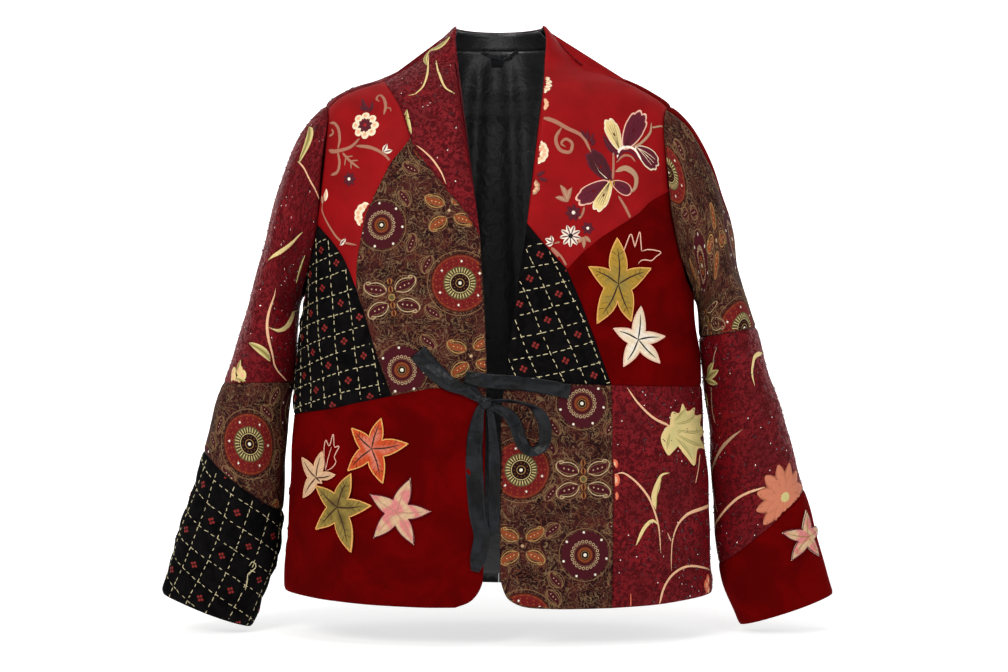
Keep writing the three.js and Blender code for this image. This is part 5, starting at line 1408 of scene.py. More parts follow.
PICTURES = {
    "left_front_neck": [
        ("vine", (1.5, 3, 1.5), "straw", [(429, 55), (428, 72), (424, 86), (416, 94), (409, 96)]),
        ("leaf", (449, 36), (430, 50), 8, LEAF, 0.15), ("leaf", (431, 46), (428, 66), 6, LEAF, -0.1),
        ("vine", (1.5, 3, 2), "straw", [(436, 60), (440, 76), (446, 89), (456, 95)]),
        ("leaf", (411, 134), (407, 110), 8, LEAF, 0.1),
        ("vine", (1.2, 2.2, 1.2), "peach", [(416, 145), (424, 151), (433, 160), (441, 172), (446, 184)]),
    ],
    "left_front_sateen": [
        ("scallops", (366, 126), 9.5, 8, 4.6, 0, 360, "cream"),
        ("bloom", (366, 126), 8.5, 8, PLUM, "red", 0.2),
        ("leaf", (371, 112), (362, 98), 4.6, PLUM, 0.1), ("leaf", (371, 111), (372, 101), 4, PLUM, 0),
        ("leaf", (368, 111), (360, 106), 4, PLUM, 0.1),
        ("vine", (3, 4.2, 3.4, 2.4), "mauve",
         [(383.9, 115), (385.5, 106), (383, 97), (379, 94), (376, 98), (379, 101)]),
        ("vine", (2.4, 1), "mauve", [(385, 108), (390, 108), (391, 112)]),
        ("vine", (2.6, 4.4, 4.2, 3.4), "mauve",
         [(338, 150), (339.5, 140), (338, 129), (334, 123), (329, 122.6)]),
        ("vine", (3.4, 2.6), "mauve", [(328.5, 136), (332.5, 133), (331, 128.4)]),
        ("vine", (5, 4.6, 4, 3), "mauve", [(328.6, 150), (334, 151.6), (343, 150), (352, 146), (360.5, 139)]),
        ("vine", (3, 4, 3.4, 2.2), "mauve", [(356, 146), (371.6, 148.4), (384, 154.5), (392, 163)]),
        ("leaf", (384, 153), (388, 145), 5, CREAM, 0), ("leaf", (385, 153), (393, 151), 4.5, CREAM, 0),
        ("vine", (3, 4.2, 3.6), "mauve", [(338, 152), (340, 162), (337.5, 172), (330.8, 175)]),
        ("vine", (3, 3, 2), "mauve", [(343, 153), (350, 161), (359, 168)]),
        ("vine", (2, 1.4), "mauve", [(346, 157), (353, 156)]),
        ("vine", (2, 1.4), "mauve", [(350, 161), (358, 160)]),
        ("vine", (2, 1.4), "mauve", [(351, 162), (351, 169)]),
        ("vine", (2, 1.4), "mauve", [(346, 158), (345, 166)]),
        ("bloom", (349, 179), 7.4, 7, PLUM, "white", 0.5),
        ("scallops", (367, 215), 9, 6, 4.6, 105, 255, "cream"), ("leaf", (364, 214), (372, 205), 7, PLUM, 0),
        ("leaf", (325, 201), (326, 189), 6.5, PALE, 0), ("leaf", (323, 204), (322, 196), 4, MAUVE, 0),
        ("vine", (1.8, 2.8, 2.4), "mauve",
         [(323, 203), (322.7, 211), (330.8, 229), (341, 241), (357.3, 245.3)]),
        ("leaf", (340, 245), (346, 239), 5, CREAM, 0),
    ],
    "left_front_velvet": [
        ("vine", 1.2, "blush",
         [(324, 470), (322.5, 452), (325, 440), (328.5, 446), (333.5, 434), (334.5, 447),
                               (339.5, 446), (334, 457), (336, 462), (331, 468), (324, 471)]),
        ("vine", 1.0, "blush", [(324, 470), (327, 458), (331, 447)]),
    ],
    "right_front_sateen": [
        ("vine", (5.4, 5, 4, 2.6), "mauve", [(542, 118), (553, 121), (567, 128), (582, 136), (591, 152.4)]),
        ("leaf", (586, 139), (581, 130), 3.6, PLUM, 0), ("leaf", (588, 141), (587, 131), 3.6, PLUM, 0),
        ("leaf", (590, 143), (593, 134), 3.6, PLUM, 0), ("leaf", (591, 146), (595, 140), 3.4, PLUM, 0),
        ("vine", (3, 4.4, 4.2, 3.4, 2.6), "mauve",
         [(562, 127), (556, 138), (560, 149), (570, 151.4), (572.4, 143),
                                                    (566, 138.6), (561.5, 143), (566, 146.4)]),
        ("lobe", (624, 149), (643, 113), 25, IRIS, 5, 3), ("lobe", (620, 150), (608, 121), 18, STRIPE, 4, 4),
        ("leaf", (620, 155), (603, 136), 7, PLUM, -0.1),
        ("vine", (2, 3.4, 2.6), "beige", [(652.5, 122), (651, 132), (641, 143), (634, 146)]),
        ("lobe", (636, 146), (657, 166), 21, FRILL, 6, 3),
        ("vine", (2, 3.4, 2.6), "plum", [(617, 161), (622, 152), (631, 151), (638, 160)]),
        ("vine", (2, 3.4, 3.2, 3), "pale", [(617, 158), (620, 149.6), (627, 146), (635, 149), (641, 160)]),
        ("vine", (1.6, 3, 2), "mauve", [(616, 163), (623, 156), (630, 156), (635, 162)]),
        ("vine", (2.6, 3), "mauve", [(613.4, 150), (613.4, 162), (612.2, 180)]),
        ("vine", (4.4, 7.4, 6, 3), "beige", [(615, 172), (625, 168.6), (635, 176), (635, 187), (630, 193)]),
        ("lobe", (611, 181), (590, 153), 20, PLUM, 4, 2),
        ("vine", (1.4, 4, 2), "cream", [(594.6, 162), (599, 171), (607, 179)]),
        ("lobe", (609, 181), (579, 201), 19, IRIS, 4, 2), ("lobe", (610, 181), (597, 209), 16, STRIPE, 4, 4),
        ("lobe", (611, 182), (631, 193), 14, IRIS, 0, 1),
        ("vine", (2.2, 2.6), "gold", [(609, 180), (612, 188)]),
        ("vine", (2.2, 2), "ochre", [(613, 180), (614, 186)]),
        ("vine", (2.6, 3.4, 3), "mauve", [(618, 196), (624.5, 206.5), (630.6, 219)]),
        ("vine", (2.6, 2), "beige", [(653, 127), (661, 126), (666, 127)]),
        ("leaf", (664, 126), (674, 121.6), 5.4, CREAM, 0),
        ("leaf", (664, 127), (674, 133), 5.4, CREAM, 0), ("leaf", (665, 126.6), (675, 127.4), 4.4, PALE, 0),
        ("leaf", (567, 202), (555, 197.6), 5, MAUVE, 0.1), ("leaf", (567, 201.6), (560, 185), 6, MAUVE, 0.1),
        ("leaf", (567.6, 202), (572, 187.6), 5.6, MAUVE, -0.1),
        ("bloom", (573.5, 212.6), 8.4, 7, PLUM, "white", 0.3),
        ("vine", (2.6, 3), "mauve", [(584.7, 206.5), (583, 213), (579, 219)]),
        ("bloom", (588, 228), 6.6, 6, PLUM, "white", 0.1),
        ("leaf", (584, 237), (577.6, 243), 4.4, MAUVE, 0), ("leaf", (584, 237), (584, 248.4), 4.4, MAUVE, 0),
        ("leaf", (584.6, 236), (591, 242), 4.4, MAUVE, 0),
        ("bloom", (570.4, 236), 11, 9, CREAM, "black", 0.2),
        ("vine", (2.4, 2), "mauve", [(560, 242), (554, 243.6)]),
        ("leaf", (553, 243), (545, 238.6), 4.6, CREAM, 0),
        ("leaf", (553, 243.4), (544.6, 245.6), 4.6, CREAM, 0),
        ("leaf", (552, 242.6), (551, 236), 4.4, CREAM, 0),
        ("vine", (4, 5, 4.4), "mauve", [(551, 247.6), (560.6, 258), (567.6, 270)]),
        ("scallops", (540, 84), 8, 6, 4.4, -70, 70, "cream"), ("leaf", (541, 84), (546.6, 80.6), 4, PLUM, 0),
        ("scallops", (541.4, 104.6), 4.4, 6, 3, -90, 90, "peach"),
        ("scallops", (536.6, 151.6), 8, 6, 4.4, -70, 80, "cream"),
        ("leaf", (537, 151), (543, 148), 4, CORAL, 0),
        ("leaf", (538, 178), (548, 181), 3.6, PLUM, 0), ("leaf", (537, 176), (545, 171), 3.6, PLUM, 0),
        ("scallops", (531.6, 187), 5, 4, 3.4, -60, 60, "beige"),
    ],
    "right_front_velvet": [
        ("vine", 1.3, "blush", [(623.6, 252.4), (626.6, 243), (630.6, 234), (633, 241), (634.7, 247.3)]),
        ("vine", 1.3, "blush", [(634.7, 247.3), (636.6, 240), (639.2, 232), (640.4, 242), (641.2, 251.4)]),
        ("vine", 1.3, "blush",
         [(641.2, 251.4), (648, 249.6), (660.2, 252.4), (655, 257), (651, 260.6), (645, 260),
                               (640.8, 260.6), (637.8, 264)]),
    ],
    "right_front_maroon": [
        ("vine", (1.4, 2.6, 3), "peach", [(627, 387.5), (638, 403.5), (652.6, 417.8), (670, 426)]),
        ("shape", [(670, 425), (672, 412), (680, 413), (683, 403.5), (688, 411), (696, 407.6), (695.6, 415),
                   (702, 414.6), (700.6, 424), (704.6, 432), (700, 438), (705.4, 450), (697, 449),
                   (693.2, 465.6),
                   (684, 455), (677, 446), (669.3, 455.4), (663, 446), (661.3, 437), (665.6, 428)], "straw",
         "leafgreen"),
        ("leaf", (677, 424), (696, 415), 4, MOSS, 0.05), ("leaf", (678, 430), (701, 430), 4.4, MOSS, 0.05),
        ("leaf", (678, 435), (701, 446), 4.4, MOSS, 0.05), ("leaf", (676, 438), (691, 460), 4.2, MOSS, -0.05),
        ("leaf", (670, 434), (667, 449), 4, MOSS, 0), ("leaf", (675, 421), (687, 408), 3.6, MOSS, 0),
        ("vine", (1.6, 1.2), "peach", [(698.8, 454.5), (697, 468), (694, 483)]),
        ("vine", (1.6, 2.6, 2.6, 1.2), "peach",
         [(613.5, 475.2), (622.3, 472.8), (631.8, 478.4), (639.8, 486.4),
                                                 (647.8, 497.5), (652.6, 508.7), (657.4, 526.2),
          (660.5, 553.3)]),
        ("vine", (1.6, 8.5, 9, 3, 1.2), "straw",
         [(655, 509.6), (653.4, 498), (657, 486), (661, 475.6), (670, 472.6)]),
        ("vine", (1, 1.2, 0.8), "olive", [(656, 506), (657, 492), (662, 478)]),
        ("vine", (1.5, 4.4, 4, 1.4), "straw", [(657.4, 524.6), (651, 520.6), (643, 528), (635, 545.3)]),
        ("vine", (3.8, 4.4, 2.6, 1), "peach", [(708.4, 503.9), (692.4, 511.9), (681.3, 523), (674.9, 537.4),
                                              (672.5, 558), (671.7, 570.8)]),
        ("vine", (1, 1.8), "peach", [(667.7, 532.6), (672.5, 541.3)]),
        ("vine", (2.6, 2.8, 2.6, 1.6), "peach",
         [(658, 606.7), (662, 590), (670, 577.2), (681.3, 569.2), (692.4, 566),
                                                (710.7, 570)]),
        ("scallops", (716, 585), 9, 5, 6, 110, 250, "coral"),
        ("vine", (1, 1.6), "coral", [(631, 593), (631, 609)]),
        ("scallops", (611, 480), 4, 3, 5, -20, 20, "coral"),
        ("scallops", (611, 464), 3, 2, 4.4, -10, 10, "coral"),
        ("scallops", (611, 496), 3, 2, 4.4, -10, 10, "coral"),
    ],
    "left_sleeve_maroon": [
        ("leaf", (299, 163), (309, 127), 12, LEAF, 0.14),
        ("vine", (1.5, 2, 1.4), "peach", [(298, 162), (304, 168),
                                                           (310.4, 180), (316, 191), (320.6, 201)]),
        ("leaf", (311, 285), (308, 257), 7, LEAF, 0.06),
        ("vine", (1.4, 4, 4, 1.4), "straw", [(302, 232), (292, 243), (280, 252), (267, 260)]),
        ("vine", (1.2, 2.8, 2.8, 2.2, 1.4), "peach",
         [(276, 288), (269, 312), (267, 333), (272, 356), (278, 371),
                                                     (287, 382.6)]),
        ("vine", (1.6, 8, 7, 2), "straw", [(268, 327), (277, 330), (288, 323), (299, 310)]),
        ("leaf", (270, 361), (250, 343), 8, LEAF, 0.1),
        ("scallops", (237, 375), 5, 5, 5, 0, 290, "straw"), ("leaf", (236, 378), (247, 384), 6, LEAF, 0),
        ("leaf", (236, 372), (240, 360), 6, LEAF, 0),
    ],
    "right_sleeve_maroon": [
        ("vine", (1, 2), "beige", [(719, 347), (716, 356), (714, 364)]),
        ("leaf", (707, 377), (715, 362), 7, LEAF, 0),
        ("leaf", (707, 378), (719, 370), 7, LEAF, 0), ("leaf", (706, 379), (716, 384), 6, LEAF, 0),
        ("vine", (1.8, 1.8, 1.2), "beige", [(710.5, 387.5), (711, 402), (712, 412), (714.4, 423)]),
        ("leaf", (703, 393), (708, 406), 6, LEAF, 0),
        ("vine", (1, 5, 5, 3, 1), "straw", [(763, 353), (755, 356.6), (752.6, 368), (754.6, 386)]),
        ("vine", (1.4, 5, 4, 2.4, 1.2), "beige",
         [(742.5, 429.2), (728.7, 440), (718.2, 453.6), (713.4, 471.8),
                                                 (712.5, 489), (718.2, 512)]),
        ("vine", (1, 1.6), "peach", [(708, 482), (712.6, 488)]),
        ("vine", (2.4, 3.2, 3.2, 2), "peach",
         [(765, 487), (747.9, 492.8), (734.5, 500.5), (721, 515.8), (715.3, 529.2),
                                              (713.4, 554)]),
        ("daisy", (785, 497), 33, 12, 9.5),
    ],
    "left_sleeve_black": [
        ("vine", 1.2, "stitch",
         [(249, 566), (253, 562), (256, 566), (252, 571), (248, 574), (247, 582), (245, 590)]),
        ("vine", 1.1, "stitch", [(250, 570), (255, 572)]),
    ],
}
# The same kinds of shapes on cloth that the photograph doesn't show, in mm of the cloth's chart.
PICTURE_SCALE = 1.1     # mm to the pixel on the fronts, a little nearer than the plane y = 0
# The back, which the photograph does not show: places in the chart, in mm.
HIDDEN_PICTURES = {
    "back_left_upper": [
        ("vine", 1.8, "cream", [(60, 60), (90, 90), (104, 130), (96, 176), (108, 220), (132, 250)]),
        ("leaf", (90, 90), (116, 84), 9, CREAM, 0.1), ("leaf", (104, 130), (78, 142), 9, SAGE, 0.1),
        ("leaf", (96, 176), (124, 170), 9, PALE, 0.1), ("leaf", (108, 220), (84, 236), 9, CREAM, 0.1),
        ("vine", 1.8, "peach", [(150, 110), (172, 140), (164, 180), (176, 214)]),
        ("leaf", (172, 140), (192, 128), 9, CREAM, 0.1), ("leaf", (164, 180), (146, 196), 9, SAGE, 0.1),
        ("bloom", (52, 190), 15, 8, CORAL, "gold", 0.2), ("leaf", (40, 250), (66, 300), 13, SAGE, 0.1),
        ("vine", 1.7, "cream", [(30, 230), (40, 250), (36, 290), (50, 326)]),
    ],
}
STAR_LOOKS = {   # colours of the arms' edge, the arms and the middle; of the cord; of the veins
    "star_orange": (("amber", "flame", "blossom"), "amber", "umber"),
    "star_olive": (("amber", "khaki", "moss"), "amber", "umber"),
    "star_pink": (("cream", "sand", "pink"), "plum", "beige"),
    "star_pale": (("peach", "sand", "tan"), "peach", "brown"),
    "star_gold": (("amber", "ochre", "khaki"), "amber", "umber"),
    "star_cream": (("pale", "cream", "pale"), "blush", "black"),
    "star_cuff": (("cream", "sand", "pink"), "plum", "khaki"),
}
# Stars: the middle as (x, z), the waist between two arms as a share of them, and the five tips.
STARS = {
    "star_orange": ((-138, -434), 0.42,
                    [(-127.9, -400), (-97.6, -428), (-125, -472), (-163.6, -459), (-160.4, -411.5)]),
    "star_olive": ((-176, -499), 0.44,
                   [(-158.6, -461), (-137, -496), (-159.2, -548), (-200.5, -525), (-203, -476.5)]),
    "star_pink": ((-110, -502.5), 0.42,
                  [(-95.5, -465.5), (-73, -501.5), (-91, -538), (-136, -531.5), (-139.5, -483.5)]),
    "star_pale": ((-203, -468), 0.36,
                  [(-196, -438), (-178.5, -463.5), (-196.5, -474), (-217.5, -491.5), (-218, -446)]),
    "star_gold": ((131.5, -253.5), 0.42,
                  [(130.4, -202), (168.5, -235.5), (146, -295), (107, -297.5), (98, -234.5)]),
    "star_cream": ((153, -314.5), 0.4,
                   [(157, -277.5), (183.5, -311), (177.5, -341), (136.5, -344.5), (125.5, -302)]),
}
CUFF_STAR = {"turn": 0.73, "reach": 450, "arm": 32, "lean": 0.23, "waist": 0.42}


def tints(names):
    return [TINT[name] for name in names]


def draw_pictures(thread, rows, scale, place):
    """Draws table rows; place turns their points into chart places, scale their sizes into mm."""
    for kind, *row in rows:
        if kind == "vine":
            width, tint, points = row
            thread.band(place(points), np.multiply(width, 0.84 * scale), TINT[tint], 0.7, 0.1, 1.8)
        elif kind == "lobe":
            base, tip, width, palette, frill, stripes = row
            ends = place([base, tip])
            thread.lobe(ends[0], ends[1], width * scale, tints(palette), frill, stripes)
        elif kind == "scallops":
            centre, radius, count, lobe, first, last, tint = row
            middle = place([centre])[0]
            closed = last - first >= 360
            angle = np.radians(np.linspace(first, last, count, endpoint=not closed))
            ring = np.stack([np.cos(angle), np.sin(angle)], axis=1)
            lobes = place(np.asarray(centre) + ring * radius)
            stops = [(0.4, TINT["peach"]), (0.5, TINT[tint]), (1, TINT[tint])]
            thread.discs(lobes, lobe * scale, stops, 0.8, 12)
        elif kind == "shape":
            points, edge, inside = row
            thread.outline(place(points), [(1.0, TINT[edge]), (0.86, TINT[edge]), (0.7, TINT[inside]),
                                           (0.0, TINT[edge])], 0.6, 1.6, True, 9)
        elif kind == "leaf":
            base, tip, width, palette, bend = row
            ends = place([base, tip])
            thread.petal(ends[0], ends[1], width * scale, tints(palette), 0.8, bend)
        elif kind == "bloom":
            centre, radius, count, palette, core, turn = row
            thread.bloom(place([centre])[0], radius * scale, count, tints(palette),
                         [(0.6, TINT[core]), (1, TINT["dusk"])], turn)
        elif kind == "daisy":
            centre, radius, count, core = row
            middle = place([centre])[0]
            thread.bloom(middle, radius * scale, count, tints(SALMON), [(1, TINT["straw"])],
                         0.1, 0.3, 1.25, 0.7)
            thread.bloom(middle, radius * 0.72 * scale, count - 2, tints(SALMON),
                         [(0.45, TINT["leafgreen"]), (0.8, TINT["straw"]), (1, TINT["olive"])], 0.35,
                         core / radius / 0.72, 1.15, 1.2)
        elif kind == "spiral":
            centre, radius, turns, start, width, tint = row
            thread.spiral(place([centre])[0], radius * scale, turns, start, width * scale, TINT[tint])
        elif kind == "dots":
            points, radius, tint = row
            thread.discs(place(points), radius * scale, [(1, TINT[tint])], 1.2, 7)
        else:
            raise ValueError(kind)


def specks(cloth, count, seed):
    """Seeded places all over a cloth, as many as asked for."""
    low, high = cloth.reach()
    draw = np.random.default_rng(seed)
    points = low + draw.random((count, 2)) * (high - low)
    return points[cloth.within(points[:, 0], points[:, 1]) > 2.5], draw


def bead_thread(cloth, thread, every, seed):
    """Small black beads in pairs and threes, about one bunch in every so many square mm."""
    low, high = cloth.reach()
    count = int(np.prod(high - low) / every)
    points, draw = specks(cloth, count, seed)
    glass = [(0.5, TINT["black"]), (1, TINT["black"])]
    thread.discs(points, draw.uniform(0.6, 0.95, len(points)), glass, 1.2, 6)
    near = points[draw.random(len(points)) < 0.6]
    near = near + 2.2 * unit_circle(len(near), 0.7)[draw.permutation(len(near))] if len(near) else near
    thread.discs(near, 0.65, glass, 1.1, 6)


def sequin_thread(cloth, thread, every, seed):
    """Small round sequins."""
    low, high = cloth.reach()
    points, draw = specks(cloth, int(np.prod(high - low) / every), seed)
    thread.discs(points, draw.uniform(0.55, 0.85, len(points)), [(1, TINT["pale"])], 0.5, 7)


# More cut pieces

class SpanCloth(Cloth):
    """A piece that runs across the back from one side to the other. Its chart is (s, down): s is
    the arc length from the middle of the back, less than 0 on the left; it lies depth(down) inside
    the form."""

    def __init__(self, name, rows, edge_line, depth, folds):
        super().__init__(name, None, "body")
        self.rows, self.edge_line, self.depth, self.folds = rows, edge_line, depth, folds
        self.wrap = self
        half = np.array([self.half(v) for v in np.linspace(*rows, 12)])
        self.flat = (float(2 * half.max()) * MM, float(rows[1] - rows[0]) * MM)
        self.area = float(2 * half.mean() * (rows[1] - rows[0])) * MM * MM

    def half(self, v):
        return float(half_length(v) - self.edge_line(v))

    def at(self, s, v):
        right = (s >= 0)[:, None]
        base = np.where(right, BODY["right", "back"].at(np.abs(s), v), BODY["left", "back"].at(np.abs(s), v))
        return base - self.normal(s, v) * self.depth(v)[:, None]

    def normal(self, s, v, reach=2.0):
        right = (s >= 0)[:, None]
        return np.where(right, BODY["right", "back"].normal(np.abs(s), v, reach),
                        BODY["left", "back"].normal(np.abs(s), v, reach))

    def edge(self, u, v):
        side = half_length(v) - self.edge_line(v) - np.abs(u)
        return np.minimum(side, np.minimum(v - self.rows[0], self.rows[1] - v))

    def relief(self, u, v, edge, base):
        """Soft upright folds: the sum of h exp(-((u - a) / w)^2), less at the ends."""
        total = np.zeros(len(u))
        for height, middle, width, lean in self.folds:
            total += height * np.exp(-((u - middle - lean * (v - self.rows[0])) / width) ** 2)
        ends = np.clip((v - self.rows[0]) / 25, 0, 1) * np.clip((self.rows[1] - v) / 25, 0, 1)
        side = np.clip(edge / 12, 0, 1)
        return -np.maximum(-total * ends * side, 0)

    def grid(self, pitch, gap):
        low, high = self.rows
        rows = max(6, int((high - low) / pitch))
        columns = int(2 * self.half((low + high) / 2) / pitch)
        v = np.linspace(low, high, rows)[:, None] + np.zeros((1, columns))
        share = np.linspace(-1, 1, columns)[None, :]
        half = half_length(v.ravel()).reshape(v.shape) - self.edge_line(v.ravel()).reshape(v.shape)
        return np.stack([(share * half).ravel(), v.ravel()], axis=1), grid_faces(rows, columns)


SEAM_GAP = 0.15          # left at a seam by each of the pieces across the back
LOOSE = {"more": 7, "down": 45, "width": 38}


def lining_depth(down):
    """How far the lining lies inside the form: d + a exp(-((down - m) / w)^2), looser under the
    shoulders."""
    far = (np.asarray(down, float) - LOOSE["down"]) / LOOSE["width"]
    return LINING_DEPTH + LOOSE["more"] * np.exp(-far ** 2)


def lining_line(down):
    """Where the lining ends at the side, as round."""
    return front_length(down) + smooth(LINING_EDGE["down"], LINING_EDGE["behind"], down)


COLLAR_EDGE = {"down": [-70, -40, 0], "ahead": [-10, 0, 14]}


def collar_line(down):
    """Where the back collar meets the neck bands, as round."""
    return front_length(down) + SEAM_GAP - smooth(COLLAR_EDGE["down"], COLLAR_EDGE["ahead"], down)


# Folds of the pieces across the back as (height, place, width, lean).
FACING_FOLDS = [(-0.8, -30, 9, 0), (-0.9, 18, 8, 0.1)]
LINING_FOLDS = [(-3.2, -64, 13, 0.05), (-3.6, -22, 11, -0.04), (-2.8, 12, 10, 0.03), (-3.8, 58, 14, -0.05),
                (-3.0, 120, 17, 0.02), (-2.8, -128, 16, -0.03)]


FAR_FROM_EDGE = 40.0


class FrontFace(Cloth):
    """The front as one surface, without seams, for what lies on it."""

    def __init__(self, side):
        super().__init__(side + " front", BODY[side, "front"], "body")
        self.finder = lookup(side, "front")

    def edge(self, u, v):
        return np.full(len(u), FAR_FROM_EDGE)


class SleeveFace(Cloth):
    """A sleeve as one surface."""

    def __init__(self, side):
        super().__init__(side + " sleeve", SLEEVE[side], side)

    def edge(self, u, v):
        return np.full(len(u), FAR_FROM_EDGE)


def all_cloths():
    """Every cut piece of the outside by its name."""
    cloths = {name: PatchCloth(name) for name in PATCHES}
    left, right, start, end = SLEEVE_SEAMS["left"], SLEEVE_SEAMS["right"], (0, 0), (CUFF, 0)
    first = 2 * math.pi * RIGHT_SPLIT["start"] / ARMHOLE_STEPS

    def split(reach):
        return first + RIGHT_SPLIT["drift"] * reach

    def after(reach):
        return split(reach) + 2 * math.pi

    def under(reach):
        return math.pi + 0 * reach

    sleeves = {
        "left_sleeve_maroon": ("left", start, left["maroon_paisley"]),
        "left_sleeve_paisley": ("left", left["maroon_paisley"], left["paisley_black"]),
        "left_sleeve_black": ("left", left["paisley_black"], end),
        "right_sleeve_paisley": ("right", start, right["upper_maroon"], (split, under)),
        "right_sleeve_back": ("right", start, right["upper_maroon"], (under, after)),
        "right_sleeve_maroon": ("right", right["upper_maroon"], right["maroon_velvet"]),
        "right_sleeve_velvet": ("right", right["maroon_velvet"], end),
    }
    cloths.update({name: SleeveCloth(name, *row) for name, row in sleeves.items()})
    for name, (origin, down, across, parity) in QUILTS.items():
        cloths[name].quilt = Quilt(name, parity, *in_chart(cloths[name], origin, down, across))
    for name, (origin, down, across) in PRINTS.items():
        cloths[name].print_lattice = in_chart(cloths[name], origin, down, across)
    return cloths


BACK_LATTICE_START = (20.0, 380.0)


def in_chart(cloth, origin, down, across):
    """A lattice's origin and steps, in the chart; a lattice without an origin is in it already."""
    if origin is None:
        return np.array(BACK_LATTICE_START), np.array(down, float), np.array(across, float)
    start = np.array(origin, float)
    places = cloth.finder([start, start + down, start + across])
    return places[0], places[1] - places[0], places[2] - places[0]


SLEEVE_CLOTHS = {"left_sleeve_maroon": "maroon_velvet", "left_sleeve_paisley": "paisley",
                 "left_sleeve_black": "black_velvet", "right_sleeve_paisley": "paisley",
                 "right_sleeve_back": "red_velvet", "right_sleeve_maroon": "maroon_velvet",
                 "right_sleeve_velvet": "red_velvet"}
SPANS = {
    "back_collar": ((-70, -SEAM_GAP), collar_line, lambda v: 0 * v, []),
    "collar_facing": ((-69.5, FACING_DOWN - SEAM_GAP), lining_line, lining_depth, FACING_FOLDS),
    "back_lining": ((FACING_DOWN + SEAM_GAP, 640), lining_line, lining_depth, LINING_FOLDS),
}

# Ribbons as rows of x, z, lift above the front, width, turn of the width towards -Y in degrees.
RIBBONS = {
    "left_tie_band": [(-88, -328, 1.8, 20, 0), (-73.3, -344.5, 2, 20, 0), (-55.8, -360.5, 4.6, 17, 0),
                      (-38, -369, 6.6, 12, 0), (-24, -377.5, 6.4, 8, 0), (-14.5, -382.5, 6, 6, 0)],
    "right_tie_band": [(78, -371.5, 1.8, 16, 0), (60.6, -367.5, 2, 16, 0), (24.8, -362, 2.6, 16, 0),
                       (-1.3, -360.5, 3.2, 16, 0), (-22.6, -358, 3.6, 15, 0), (-35.7, -354.8, 3.6, 13, 0)],
    "right_tie_turn": [(-33, -359, 2.2, 12, 0), (-27.5, -369.5, 2.4, 11, 0), (-21, -377.5, 3, 8, 0),
                       (-14.5, -382, 4, 6, 0)],
    "bow_loop": [(-11, -384.5, 5, 6, 10), (-1, -389.5, 5.6, 9, 6), (11.7, -396.5, 7, 13, 0),
                 (19.7, -409.7, 8, 14, 0), (25, -425.5, 9, 14, 8), (35.6, -435.4, 10.5, 13, 35),
                 (47.8, -429.1, 12, 13, 20), (50.1, -413.3, 13.5, 14, 0), (46.8, -399.8, 14, 13, 15),
                 (36.9, -388.6, 14, 12, 60), (22.4, -383.8, 13.5, 11, 80), (9.1, -381.4, 11.5, 8, 70),
                 (-11, -382, 7.4, 6, 60)],
    "left_tie_tail": [(-14.5, -384.5, 5, 6, 0), (-20, -392, 4, 10, 0), (-24.6, -417, 2.4, 17, 0),
                      (-25.8, -437.4, 3.4, 18, 0), (-25.5, -461.9, 2, 19, 0), (-22.6, -502.2, 3.4, 18, 0),
                      (-17.7, -527.2, 3.6, 18, 0), (-22, -552, 2.6, 17, 0), (-25, -566, 2, 9, 0)],
    "right_tie_tail": [(-11.5, -385, 4, 6, 0), (-8.5, -393, 2.4, 8, 0), (-6, -415, 1.7, 10, 0),
                       (-4.5, -436, 2.1, 12, 0), (-4.3, -462, 1.7, 13, 0), (-4.7, -505, 2.1, 13, 0),
                       (-7.5, -527, 1.7, 8, 0)],
}
NECK_PIECES = {
    "neck_label": [(-9, 15.5, 0.9, 15, 0), (3, 15.5, 1.2, 15, 0), (17, 15.5, 0.9, 15, 0)],
    "hanger_loop": [(-21, 25, 2.2, 4, 0), (-8, 20, 2.8, 4, 0), (3, 17, 3.2, 4, 0), (14, 20, 2.8, 4, 0),
                    (24, 27, 2.2, 4, 0)],
}
# Creases along the ribbons: share of the way, share of the width, height, half width in mm.
RIBBON_CREASES = {
    "left_tie_band": [(0.1, -0.2, -0.7, 2.6), (0.35, 0.15, 0.8, 3.0), (0.75, -0.1, -0.9, 2.2)],
    "right_tie_band": [(0.15, 0.2, 0.7, 2.8), (0.5, -0.2, -0.8, 2.4), (0.85, 0.1, 0.8, 2.2)],
    "left_tie_tail": [(0.12, 0.1, -0.9, 2.2), (0.4, -0.25, 0.9, 2.8), (0.66, 0.2, -0.9, 2.6)],
    "right_tie_tail": [(0.2, -0.15, 0.7, 1.9), (0.55, 0.2, -0.7, 2.0)],
    "bow_loop": [(0.1, 0.0, -0.9, 1.8), (0.35, 0.15, 0.7, 2.2), (0.6, -0.1, -0.7, 2.0)],
}
KNOT = {"x": -13.3, "z": -383.5, "lift": 5, "wide": 15.5, "deep": 9, "high": 13.5}


LINING_SOLID = 1.4       # wall of the solid that the back lining stands for


def front_place(x, z, lift):
    """The place lift above the form under (x, z) seen from the front, and the normal there."""
    side = "left" if x < 0 else "right"
    u, v = from_view((x, z))
    u, v = np.array([u]), np.array([v])
    normal = BODY[side, "front"].normal(u, v)[0]
    return BODY[side, "front"].at(u, v)[0] + normal * lift, normal


def neck_place(x, z, lift):
    """The same inside the back of the neck, where the normal points out at the back."""
    side = "left" if x < 0 else "right"
    v = float(np.interp(-z, -RING["height"], RING_ROWS))
    k = int(round(v - RING_ROWS[0]))
    u, v = np.array([np.interp(abs(x), BACK_X[k], BACK_ARC[k])]), np.array([v])
    normal = BODY[side, "back"].normal(u, v)[0]
    return BODY[side, "back"].at(u, v)[0] - normal * (lining_depth(v)[0] + LINING_SOLID + lift), -normal


